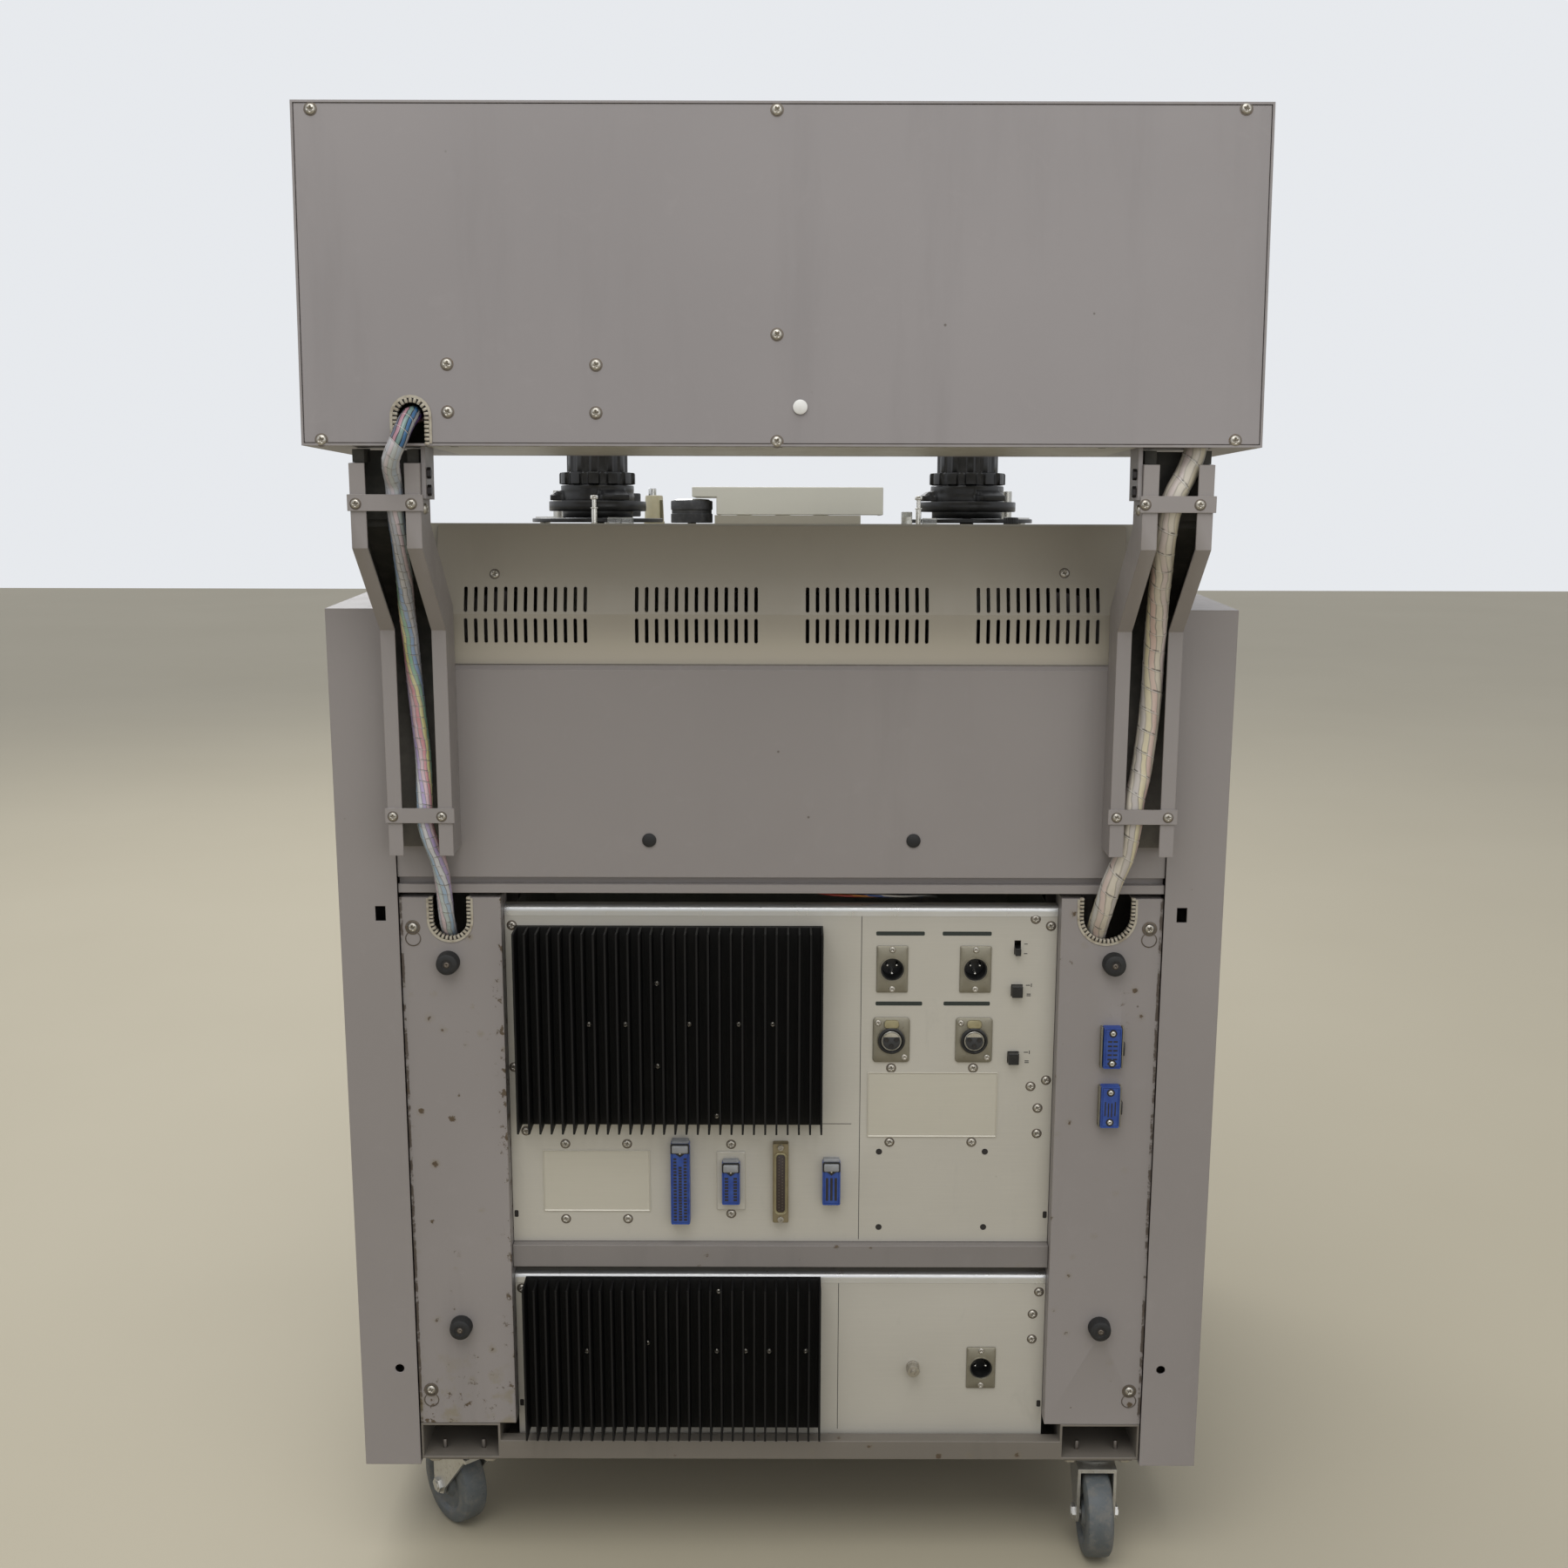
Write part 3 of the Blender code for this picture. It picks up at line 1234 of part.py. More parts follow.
def control_panel(finish):
    """Sloping control panel in front of the deck: folded sheet with closed ends and button holes."""
    back_flange = 0.030
    upper, lower = panel_corners()
    line = [(upper[0], upper[1] - back_flange), upper, lower, (lower[0], lower[1] - PANEL_LIP)]
    panel = make("control_panel", prism(band(line, SHEET), "X", -BODY_HALF, BODY_HALF), finish)
    inset = SHEET / 3
    end = [(upper[0] - inset, upper[1] - back_flange), (upper[0] - inset, upper[1] - inset * 2),
           (lower[0] + inset, lower[1] - inset * 2), (lower[0] + inset, lower[1] - PANEL_LIP)]
    for side in (-1, 1):
        weld(panel, [prism(end, "X", side * (BODY_HALF - SHEET), side * BODY_HALF)])
    turn = Matrix.Translation((0, *upper)) @ Matrix.Rotation(panel_slope(), 4, "X")
    half = BUTTON_SIZE / 2 + GAP
    holes = []
    for i in range(BUTTON_COUNT):
        x = BUTTON_FIRST_X + i * BUTTON_PITCH
        low = (x - half, -BUTTON_ROW - half, -SHEET - OVERRUN)
        holes.append(placed(box(low, (x + half, -BUTTON_ROW + half, OVERRUN)), turn))
    cut(panel, holes)
    return panel


def transport_button(name, index, finish):
    """Square transport button with a bevelled cap, sliding in its hole."""
    proud = 0.0090
    depth = 0.0100
    bevel = 0.0015
    upper, _ = panel_corners()
    slope = panel_slope()
    half = BUTTON_SIZE / 2
    verts = []
    for z, size in ((-depth, half), (proud - bevel, half), (proud, half - bevel)):
        verts += [Vector((a * size, b * size, z)) for a, b in CORNERS]
    x = BUTTON_FIRST_X + index * BUTTON_PITCH
    place = (x, upper[0] - BUTTON_ROW * math.cos(slope), upper[1] - BUTTON_ROW * math.sin(slope))
    return make(name, (verts, BEVELLED_FACES), finish, place, (slope, 0, 0))


def front_panel(finish):
    """Plain lower front panel, a shallow tray open to the inside."""
    depth = 0.020
    bottom = CASTER_HEIGHT + GAP + CHANNEL_HEIGHT + GAP
    top = PANEL_EDGE_Z - PANEL_LIP - GAP
    block = box((-BODY_HALF, PANEL_FACE_Y, bottom), (BODY_HALF, PANEL_FACE_Y + depth, top))
    panel = make("front_panel", block, finish)
    low = (-BODY_HALF + SHEET, PANEL_FACE_Y + SHEET, bottom + SHEET)
    cut(panel, [box(low, (BODY_HALF - SHEET, PANEL_FACE_Y + depth + OVERRUN, top - SHEET))])
    return panel


# Looms: the routes' points, as outset from the arms' inner faces, Y and Z

RIGHT_LOOM_RADIUS = 0.0065
LEFT_LOOM_RADIUS = 0.0085
RIGHT_LOOM_ROUTE = [
    (0.004, 0.348, 0.9585), (0.004, 0.366, 0.9580), (0.005, 0.384, 0.953), (0.01, 0.391, 0.940),
    (0.016, 0.386, 0.929), (0.0185, 0.376, 0.921), (0.0195, 0.3640, 0.911), (0.0195, 0.3622, 0.899),
    (0.0195, 0.3600, 0.887), (0.02, 0.348, 0.866), (0.023, 0.326, 0.842), (0.027, 0.304, 0.817),
    (0.028, 0.288, 0.790), (0.028, 0.2810, 0.762), (0.024, 0.2800, 0.707), (0.0225, 0.2868, 0.670),
    (0.022, 0.2872, 0.646), (0.015, 0.2790, 0.617), (0.013, 0.2720, 0.594), (0.0135, 0.2620, 0.567),
    (0.014, 0.249, 0.551), (0.014, 0.2435, 0.533), (0.014, 0.243, 0.515),
]
LEFT_LOOM_ROUTE = [
    (0.044, 0.351, 0.962), (0.041, 0.3535, 0.947), (0.038, 0.3555, 0.932), (0.032, 0.3575, 0.918),
    (0.025, 0.3595, 0.905), (0.0215, 0.3592, 0.892), (0.0205, 0.350, 0.870), (0.023, 0.331, 0.846),
    (0.027, 0.306, 0.817), (0.0295, 0.289, 0.790), (0.03, 0.2830, 0.750), (0.025, 0.2830, 0.695),
    (0.0195, 0.2852, 0.668), (0.0185, 0.2852, 0.648), (0.015, 0.281, 0.624), (0.0065, 0.2770, 0.600),
    (0.002, 0.2670, 0.5745), (0.001, 0.2530, 0.558), (0, 0.2450, 0.541), (0, 0.2440, 0.518),
]


def smooth_route(route, step):
    """Evenly spaced points on a Catmull-Rom curve through the route's points."""
    points = [Vector(p) for p in route]
    points = [points[0] * 2 - points[1]] + points + [points[-1] * 2 - points[-2]]
    fine = []
    samples = 12
    for before, start, end, after in zip(points, points[1:], points[2:], points[3:]):
        for i in range(samples):
            t = i / samples
            square = (before * 2 - start * 5 + end * 4 - after) * t ** 2
            cube = (start * 3 - before - end * 3 + after) * t ** 3
            fine.append((start * 2 + (end - before) * t + square + cube) / 2)
    fine.append(points[-2])
    length = sum((b - a).length for a, b in zip(fine, fine[1:]))
    count = max(2, round(length / step))
    spaced = [fine[0]]
    travelled = 0
    for a, b in zip(fine, fine[1:]):
        travelled += (b - a).length
        if travelled >= length * len(spaced) / count and len(spaced) < count:
            spaced.append(b)
    spaced.append(fine[-1])
    return spaced


def loom(name, side, route, radius, finish):
    """Wrapped wire loom as a round tube along its route."""
    spacing = 2.5
    curve = bpy.data.curves.new(name, "CURVE")
    curve.dimensions = "3D"
    curve.bevel_depth = radius
    curve.bevel_resolution = 2
    curve.use_fill_caps = True
    world = [(side * (ARM_INNER_X + outset), y, z) for outset, y, z in route]
    points = smooth_route(world, radius * spacing)
    spline = curve.splines.new("POLY")
    spline.points.add(len(points) - 1)
    for point, place in zip(spline.points, points):
        point.co = (*place, 1)
    curve.materials.append(finish)
    made = bpy.data.objects.new(name, curve)
    bpy.context.collection.objects.link(made)
    return made


def build_cabinet(taupe, silver, steel, tyre):
    """Cheeks, base, casters, covers and crossbar."""
    side_panel("side_panel_left", -1, taupe)
    side_panel("side_panel_right", 1, taupe)
    base_frame(taupe)
    corners = [("rear_left", -1, CASTER_REAR_Y, REAR_LEFT_SWIVEL),
               ("rear_right", 1, CASTER_REAR_Y, REAR_RIGHT_SWIVEL),
               ("front_left", -1, CASTER_FRONT_Y, FRONT_LEFT_SWIVEL),
               ("front_right", 1, CASTER_FRONT_Y, FRONT_RIGHT_SWIVEL)]
    for corner, side, y, swivel in corners:
        place = (side * CASTER_X, y)
        caster_fork("caster_fork_" + corner, place, swivel, steel)
        caster_wheel("caster_wheel_" + corner, place, swivel, tyre)
    left_notch_inset = 0.0442
    left_notch_width = 0.0390
    left_notch_bottom = 0.5500
    right_notch_inset = 0.0402
    right_notch_width = 0.0280
    right_notch_bottom = 0.5516
    left_notch = (left_notch_inset, left_notch_width, left_notch_bottom)
    right_notch = (right_notch_inset, right_notch_width, right_notch_bottom)
    cover_sockets(rear_cover("rear_cover_left", -1, left_notch, taupe))
    rear_cover("rear_cover_right", 1, right_notch, taupe)
    back_panel(taupe)
    middle_crossbar(taupe)
    front_panel(taupe)
    control_panel(silver)


def build_electronics(silver, black, nickel):
    """Both chassis with their heat sinks, connectors and switches."""
    input_plate_width = 0.0254
    input_plate_height = 0.0390
    mains_plate_width = 0.0245
    mains_plate_height = 0.0375
    input_plate = (input_plate_width, input_plate_height)
    mains_plate = (mains_plate_width, mains_plate_height)
    audio_chassis(silver)
    heat_sink("audio_heat_sink", AUDIO_SINK_BOTTOM, AUDIO_SINK_TOP, black)
    power_chassis(silver)
    heat_sink("power_heat_sink", POWER_SINK_BOTTOM, POWER_SINK_TOP, black)
    xlr_plug("xlr_input_right", XLR_X_INNER, XLR_INPUT_Z, input_plate, 3, nickel)
    xlr_plug("xlr_input_left", XLR_X_OUTER, XLR_INPUT_Z, input_plate, 3, nickel)
    xlr_socket("xlr_output_right", XLR_X_INNER, XLR_OUTPUT_Z, nickel)
    xlr_socket("xlr_output_left", XLR_X_OUTER, XLR_OUTPUT_Z, nickel)
    xlr_plug("ac_inlet", AC_INLET_X, AC_INLET_Z, mains_plate, 2, nickel)
    for name, x, z, width, height, _ in SWITCHES:
        switch(name, x, z, width, height, black)


def build_bridge(taupe, cream, black, sheath):
    """Arms, overbridge and the two looms."""
    arm("arm_left", -1, taupe)
    arm("arm_right", 1, taupe)
    bridge_case(taupe)
    bridge_rear_panel(taupe)
    bridge_front_panel(cream)
    for word, side in (("left", -1), ("right", 1)):
        vu_meter("vu_meter_" + word, side, black)
        bridge_knob("bridge_knob_" + word, side, black)
    loom("cable_right", 1, RIGHT_LOOM_ROUTE, RIGHT_LOOM_RADIUS, sheath)
    loom("cable_left", -1, LEFT_LOOM_ROUTE, LEFT_LOOM_RADIUS, sheath)


def build_transport(cream, black, steel, tyre):
    """Deck, reels, tape path and transport buttons."""
    deck_plate(cream)
    deck_rear_cover(cream)
    for word, side in (("left", -1), ("right", 1)):
        reel_table("reel_table_" + word, side, black)
        hub_adapter("hub_adapter_" + word, side, black)
        hub_knob("hub_knob_" + word, side, black)
        tension_arm("tension_arm_" + word, side, steel)
    head_cover(cream)
    guide_roller(tyre)
    capstan(steel)
    pinch_arm(steel)
    pinch_roller(tyre)
    for index, name in enumerate(BUTTON_NAMES):
        transport_button(name, index, black)


def main():
    """Build the whole deck."""
    clear_scene()
    taupe = paint("taupe_paint", (0.255, 0.235, 0.220), 0.50, 0.0)
    cream = paint("cream_paint", (0.36, 0.34, 0.28), 0.45, 0.0)
    silver = paint("silver_paint", (0.42, 0.40, 0.34), 0.35, 0.3)
    black = paint("black_finish", (0.012, 0.012, 0.012), 0.45, 0.0)
    steel = paint("zinc_steel", (0.45, 0.45, 0.43), 0.35, 1.0)
    nickel = paint("nickel_plate", (0.48, 0.46, 0.42), 0.30, 1.0)
    tyre = paint("grey_rubber", (0.14, 0.15, 0.16), 0.70, 0.0)
    sheath = paint("loom_sheath", (0.55, 0.50, 0.48), 0.40, 0.0)
    build_cabinet(taupe, silver, steel, tyre)
    build_electronics(silver, black, nickel)
    build_bridge(taupe, cream, black, sheath)
    build_transport(cream, black, steel, tyre)


main()
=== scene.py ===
import math

import bmesh
import bpy
import numpy as np
from mathutils import Matrix, Vector


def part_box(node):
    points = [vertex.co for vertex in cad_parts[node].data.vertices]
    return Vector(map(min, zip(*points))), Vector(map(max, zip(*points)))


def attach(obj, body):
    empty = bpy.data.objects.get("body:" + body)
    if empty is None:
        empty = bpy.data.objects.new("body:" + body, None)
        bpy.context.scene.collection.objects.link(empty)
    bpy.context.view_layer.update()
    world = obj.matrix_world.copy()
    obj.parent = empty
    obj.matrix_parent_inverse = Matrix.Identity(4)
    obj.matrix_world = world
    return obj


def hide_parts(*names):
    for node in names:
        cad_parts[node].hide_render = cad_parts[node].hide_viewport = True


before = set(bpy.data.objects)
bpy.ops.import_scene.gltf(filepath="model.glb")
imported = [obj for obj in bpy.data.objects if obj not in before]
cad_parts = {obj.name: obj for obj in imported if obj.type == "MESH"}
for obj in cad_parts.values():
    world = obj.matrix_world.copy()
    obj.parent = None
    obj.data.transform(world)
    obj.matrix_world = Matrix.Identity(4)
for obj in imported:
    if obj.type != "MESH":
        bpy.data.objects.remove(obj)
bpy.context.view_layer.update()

bpy.context.scene.view_settings.view_transform = "Standard"

# Camera. It stands where the photographer did: behind the deck, a little above the top of the
# cabinet, looking slightly down at the sockets.
camera_data = bpy.data.cameras.new("camera")
camera = bpy.data.objects.new("camera", camera_data)
bpy.context.collection.objects.link(camera)
camera.location = (-0.002, 1.625, 0.950)
look_down = math.radians(11.35)
look_roll = math.radians(0.13)
facing = Matrix.Rotation(math.pi, 4, "Z") @ Matrix.Rotation(math.pi / 2 - look_down, 4, "X")
camera.rotation_euler = (facing @ Matrix.Rotation(look_roll, 4, "Z")).to_euler()
camera_data.sensor_width = 36.0
camera_data.lens = 40.8
camera_data.clip_start = 0.05
camera_data.clip_end = 60.0
bpy.context.scene.camera = camera


# Wire looms. Two bundles of thin coloured wires in a spiral wrap come out of the overbridge, run
# down inside the arms under their straps and go into the notches of the rear covers.
class Finish:
    """A procedural finish. Each call adds one node and gives back its output, which a later call
    or a socket of the shader reads. Sizes are in metres in the piece's own axes."""

    def __init__(self, name, roughness=0.5, metallic=0.0, **fixed):
        self.made = bpy.data.materials.new(name)
        self.made.use_nodes = True
        self.tree = self.made.node_tree
        self.shader = self.tree.nodes["Principled BSDF"]
        self.set("Roughness", roughness)
        self.set("Metallic", metallic)
        for socket, value in fixed.items():
            self.set(socket.replace("_", " "), value)

    def feed(self, socket, value):
        """Link an output to a socket, or write a number or colour on it."""
        if isinstance(value, bpy.types.NodeSocket):
            self.tree.links.new(value, socket)
        elif isinstance(value, tuple) and len(value) == 3 and socket.type == "RGBA":
            socket.default_value = (*value, 1.0)
        else:
            socket.default_value = value

    def set(self, socket, value):
        self.feed(self.shader.inputs[socket], value)

    def add(self, kind, values, output=0, **settings):
        """Any node: values go to its sockets by number or name."""
        node = self.tree.nodes.new(kind)
        for key, value in settings.items():
            setattr(node, key, value)
        for key, value in values.items():
            self.feed(node.inputs[key], value)
        return node.outputs[output]

    def here(self, turn=(0, 0, 0), stretch=(1, 1, 1), shift=(0, 0, 0)):
        """Object coordinates, shifted, turned and stretched."""
        place = self.add("ShaderNodeTexCoord", {}, 3)
        return self.add("ShaderNodeMapping", {"Vector": place, "Rotation": turn, "Scale": stretch,
                                              "Location": shift})

    def noise(self, size, detail=4.0, rough=0.55, where=None, warp=0.0):
        """Cloudy noise whose blobs are about as wide as size."""
        values = {"Scale": 1.0 / size, "Detail": detail, "Roughness": rough, "Distortion": warp}
        values["Vector"] = where or self.here()
        return self.add("ShaderNodeTexNoise", values)

    def cells(self, size, where=None, output=0, feature="F1"):
        """Distance to scattered points that lie about size apart."""
        values = {"Scale": 1.0 / size, "Vector": where or self.here()}
        return self.add("ShaderNodeTexVoronoi", values, output, feature=feature)

    def part(self, vector, axis):
        """One of the three numbers of a vector."""
        return self.add("ShaderNodeSeparateXYZ", {0: vector}, "XYZ".index(axis))

    def fade(self, value, low, high):
        """Smooth step from 0 at low to 1 at high; low may be the greater."""
        return self.add("ShaderNodeMapRange", {0: value, 1: low, 2: high}, interpolation_type="SMOOTHSTEP")

    def span(self, value, low, high, new_low, new_high):
        """Straight change of one range into another."""
        return self.add("ShaderNodeMapRange", {0: value, 1: low, 2: high, 3: new_low, 4: new_high})

    def sum(self, operation, first, second=0.0, third=0.0):
        """Arithmetic on numbers."""
        return self.add("ShaderNodeMath", {0: first, 1: second, 2: third}, operation=operation)

    def both(self, *masks):
        """Product of masks."""
        product = masks[0]
        for mask in masks[1:]:
            product = self.sum("MULTIPLY", product, mask)
        return product

    def either(self, *masks):
        """Greatest of masks."""
        most = masks[0]
        for mask in masks[1:]:
            most = self.sum("MAXIMUM", most, mask)
        return most

    def mix(self, share, first, second, way="MIX"):
        """Two colours mixed by a mask."""
        return self.add("ShaderNodeMix", {0: share, 6: first, 7: second}, 2, data_type="RGBA",
                        blend_type=way)

    def bands(self, value, colors):
        """Hard bands of colour, each from its place to the next one's."""
        ramp = self.add("ShaderNodeValToRGB", {0: value}).node
        ramp.color_ramp.interpolation = "CONSTANT"
        while len(ramp.color_ramp.elements) < len(colors):
            ramp.color_ramp.elements.new(0.5)
        for element, (place, color) in zip(ramp.color_ramp.elements, colors):
            element.position = place
            element.color = (*color, 1.0)
        return ramp.outputs[0]

    def relief(self, height, depth, share=1.0):
        """Bump of a height that runs from 0 to 1, depth metres high."""
        self.set("Normal", self.add("ShaderNodeBump", {"Height": height, "Distance": depth,
                                                       "Strength": share}))

    def mottled(self, size, first, second):
        """Base colour that drifts from the first to the second in clouds about as wide as size."""
        self.set("Base Color", self.mix(self.noise(size), first, second))
        return self


def surface(name, verts, faces, finish, smooth=40.0):
    """Mesh piece at the origin from arrays of corners and faces, its faces turned outward."""
    mesh = bpy.data.meshes.new(name)
    mesh.from_pydata(np.asarray(verts, float).tolist(), [], [tuple(face) for face in faces])
    mesh.update()
    mesh.materials.append(finish.made)
    piece = bpy.data.objects.new(name, mesh)
    bpy.context.collection.objects.link(piece)
    mesh.shade_smooth()
    mesh.set_sharp_from_angle(angle=math.radians(smooth))
    return piece


def fastened(piece, body, slot, *nodes):
    """The piece rides on a body and stands for nodes of the model, which it hides; slot is not used."""
    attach(piece, body)
    if nodes:
        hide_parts(*nodes)
    return piece


def curve_through(route, step):
    """Points a step apart on the Catmull-Rom curve through a route: each stretch is the cubic that
    leaves a point in the direction from its last neighbour to its next."""
    knots = np.array(route, float)
    knots = np.vstack((knots[0] * 2 - knots[1], knots, knots[-1] * 2 - knots[-2]))
    share = np.linspace(0, 1, 40, endpoint=False)[None, :, None]
    before, start, end, after = (knots[i:len(knots) - 3 + i, None, :] for i in range(4))
    square = (before * 2 - start * 5 + end * 4 - after) * share ** 2
    cube = (start * 3 - before - end * 3 + after) * share ** 3
    fine = (start * 2 + (end - before) * share + square + cube) / 2
    fine = np.vstack((fine.reshape(-1, 3), knots[-2]))
    run = np.concatenate(([0], np.cumsum(np.linalg.norm(np.diff(fine, axis=0), axis=1))))
    stops = np.linspace(0, run[-1], max(3, round(run[-1] / step)) + 1)
    return np.stack([np.interp(stops, run, fine[:, k]) for k in range(3)], axis=1), run[-1]


def frames_along(points):
    """Across and up directions at each point of a line, carried along it without twist: each is
    the last one with its part along the line taken away."""
    along = np.gradient(points, axis=0)
    along /= np.linalg.norm(along, axis=1)[:, None]
    across = np.empty_like(along)
    last = np.array((1.0, 0.0, 0.0))
    for i, direction in enumerate(along):
        last = last - direction * last.dot(direction)
        last /= np.linalg.norm(last)
        across[i] = last
    return along, across, np.cross(along, across)


def tube(name, points, radius, sides, finish):
    """Tube round a line, closed at both ends: corner (i, j) is point i plus radius(i, j) in the
    direction of angle j. Its UV runs once round in U and in metres along in V."""
    along, across, up = frames_along(points)
    angle = np.linspace(0, 2 * np.pi, sides, endpoint=False)
    run = np.concatenate(([0], np.cumsum(np.linalg.norm(np.diff(points, axis=0), axis=1))))
    reach = radius(run[:, None], angle[None, :])[..., None]
    ring = across[:, None] * np.cos(angle)[None, :, None] + up[:, None] * np.sin(angle)[None, :, None]
    verts = np.vstack(((points[:, None] + ring * reach).reshape(-1, 3), points[0], points[-1]))
    count = len(points)
    row, column = np.meshgrid(np.arange(count - 1), np.arange(sides), indexing="ij")
    after = (column + 1) % sides
    quads = np.stack((row * sides + column, row * sides + after, (row + 1) * sides + after,
                      (row + 1) * sides + column), axis=-1).reshape(-1, 4)
    faces = quads.tolist()
    first, last = len(verts) - 2, len(verts) - 1
    base = (count - 1) * sides
    faces += [(first, (j + 1) % sides, j) for j in range(sides)]
    faces += [(last, base + j, base + (j + 1) % sides) for j in range(sides)]
    piece = surface(name, verts, faces, finish)
    layer = piece.data.uv_layers.new(name="along")
    corners = np.empty(len(piece.data.loops), int)
    piece.data.loops.foreach_get("vertex_index", corners)
    turn = np.where(corners < count * sides, corners % sides / sides, 0.0)
    length = np.where(corners < count * sides, run[np.minimum(corners // sides, count - 1)], 0.0)
    quad = np.arange(len(corners)) // 4 < len(quads)
    group = np.where(quad, np.arange(len(corners)) // 4, -1)
    wraps = np.isin(group, np.nonzero(column.reshape(-1) == sides - 1)[0]) & (turn == 0)
    layer.data.foreach_set("uv", np.stack((turn + wraps, length), axis=1).reshape(-1))
    return piece


def loom_finish(name, wires, wrap_tint, thin, thick, lay, pitch, windows):
    """Wires laid side by side that turn slowly round the bundle, seen through a milky wrap that is
    thick near the overbridge and thin further down, with painted shade in the creases between wires.
    Each turn's edge shows as a painted highlight line with a broken painted shadow line beside it.
    Between the two ends of a window the wrap gapes: bright bare wires with painted black shade
    between them."""
    finish = Finish(name, roughness=0.34, Coat_Weight=0.25, Coat_Roughness=0.2)
    place = finish.add("ShaderNodeUVMap", {}, uv_map="along")
    round_it = finish.part(place, "X")
    along = finish.part(place, "Y")
    drift = finish.span(finish.noise(0.05, 3.0), 0.3, 0.7, -0.06, 0.06)
    turned = finish.sum("ADD", finish.sum("MULTIPLY_ADD", along, lay, round_it), drift)
    share = finish.sum("FRACT", turned)
    wire = finish.bands(share, [(i / len(wires), color) for i, color in enumerate(wires)])
    ridge = finish.sum("PINGPONG", finish.sum("MULTIPLY", share, float(len(wires))), 0.5)
    # Painted shade: a dark line in the crease between each wire and the next.
    wire = finish.mix(finish.fade(ridge, 0.16, 0.02), wire, (0.03, 0.03, 0.035))
    winding = finish.sum("FRACT", finish.sum("MULTIPLY_ADD", along, 1.0 / pitch, round_it))
    film = finish.mix(finish.noise(0.009), wrap_tint, tuple(v * 0.80 for v in wrap_tint))
    film = finish.mix(0.22, film, wire)
    milky = finish.sum("ADD", finish.span(along, 0.100, 0.128, thick, thin),
                       finish.span(finish.noise(0.02, 3.0), 0.3, 0.7, -0.14, 0.14))
    seen = finish.mix(milky, wire, film)
    wound = finish.sum("MULTIPLY_ADD", round_it, pitch, along)
    for low, high in windows:
        bare = finish.both(finish.fade(wound, low, low + 0.0008), finish.fade(wound, high, high - 0.0008))
        # Painted shade: black between the bare wires where the wrap gapes.
        bare_wires_and_shade = finish.mix(finish.fade(ridge, 0.10, 0.0), finish.mix(1.0, wire, wire, "MULTIPLY"), (0, 0, 0))
        seen = finish.mix(bare, seen, bare_wires_and_shade)
    # Painted highlight: a pale line along each turn's edge of the wrap; the same mask lifts the bump there.
    turn_edge_and_highlight = finish.fade(winding, 0.060, 0.030)
    seen = finish.mix(finish.sum("MULTIPLY", turn_edge_and_highlight, 0.60), seen, (0.72, 0.70, 0.64))
    # Painted shadow: a broken dark line just before each turn's edge.
    turn_edge_shadow = finish.both(finish.fade(winding, 0.900, 0.955), finish.fade(finish.noise(0.006), 0.42, 0.60))
    seen = finish.mix(finish.sum("MULTIPLY", turn_edge_shadow, 0.85), seen, (0.07, 0.06, 0.05))
    finish.set("Base Color", seen)
    finish.set("Roughness", finish.span(finish.noise(0.006), 0.3, 0.7, 0.26, 0.44))
    finish.relief(finish.sum("ADD", finish.sum("MULTIPLY", ridge, 0.5), turn_edge_and_highlight), 0.0005)
    return finish


def loom(name, route, radius, node, finish, pitch):
    """Wrapped bundle: round, with a small step where each turn of the wrap overlaps the last."""
    points, length = curve_through(route, 0.0015)

    def reach(run, angle):
        turn = (run / pitch + angle / (2 * np.pi)) % 1.0
        lumps = 0.02 * np.sin(3 * angle + run * 35) + 0.015 * np.sin(run * 90 + angle)
        return radius * (0.955 + 0.05 * np.exp(-turn * 9) + lumps)

    piece = tube(name, points, reach, 40, finish)
    fastened(piece, "cabinet", "sheath", node)


right_loom_route = [
    (0.256, 0.348, 0.9585), (0.256, 0.366, 0.9580), (0.257, 0.384, 0.953), (0.262, 0.391, 0.940),
    (0.268, 0.386, 0.929), (0.2705, 0.376, 0.921), (0.2715, 0.3640, 0.911), (0.2715, 0.3622, 0.899),
    (0.2715, 0.3600, 0.887), (0.272, 0.348, 0.866), (0.275, 0.326, 0.842), (0.279, 0.304, 0.817),
    (0.280, 0.288, 0.790), (0.280, 0.2810, 0.762), (0.276, 0.2800, 0.707), (0.2745, 0.2868, 0.670),
    (0.2740, 0.2872, 0.646), (0.267, 0.2790, 0.617), (0.265, 0.2720, 0.594), (0.2655, 0.2620, 0.567),
    (0.266, 0.249, 0.551), (0.266, 0.2435, 0.533), (0.266, 0.243, 0.515),
]
left_loom_route = [
    (-0.296, 0.351, 0.962), (-0.293, 0.3535, 0.947), (-0.290, 0.3555, 0.932), (-0.284, 0.3575, 0.918),
    (-0.277, 0.3595, 0.905), (-0.2735, 0.3592, 0.892), (-0.2725, 0.350, 0.870), (-0.275, 0.331, 0.846),
    (-0.279, 0.306, 0.817), (-0.2815, 0.289, 0.790), (-0.282, 0.2830, 0.750), (-0.277, 0.2830, 0.695),
    (-0.2715, 0.2852, 0.668), (-0.2705, 0.2852, 0.648), (-0.267, 0.281, 0.624), (-0.2585, 0.2770, 0.600),
    (-0.254, 0.2670, 0.5745), (-0.253, 0.2530, 0.558), (-0.252, 0.2450, 0.541), (-0.252, 0.2440, 0.518),
]
right_wires = [(0.45, 0.44, 0.46), (0.10, 0.26, 0.52), (0.08, 0.36, 0.18), (0.62, 0.55, 0.10),
               (0.55, 0.08, 0.10), (0.60, 0.34, 0.38), (0.30, 0.18, 0.46), (0.55, 0.55, 0.56),
               (0.20, 0.36, 0.52), (0.36, 0.46, 0.44), (0.58, 0.42, 0.46), (0.34, 0.36, 0.42)]
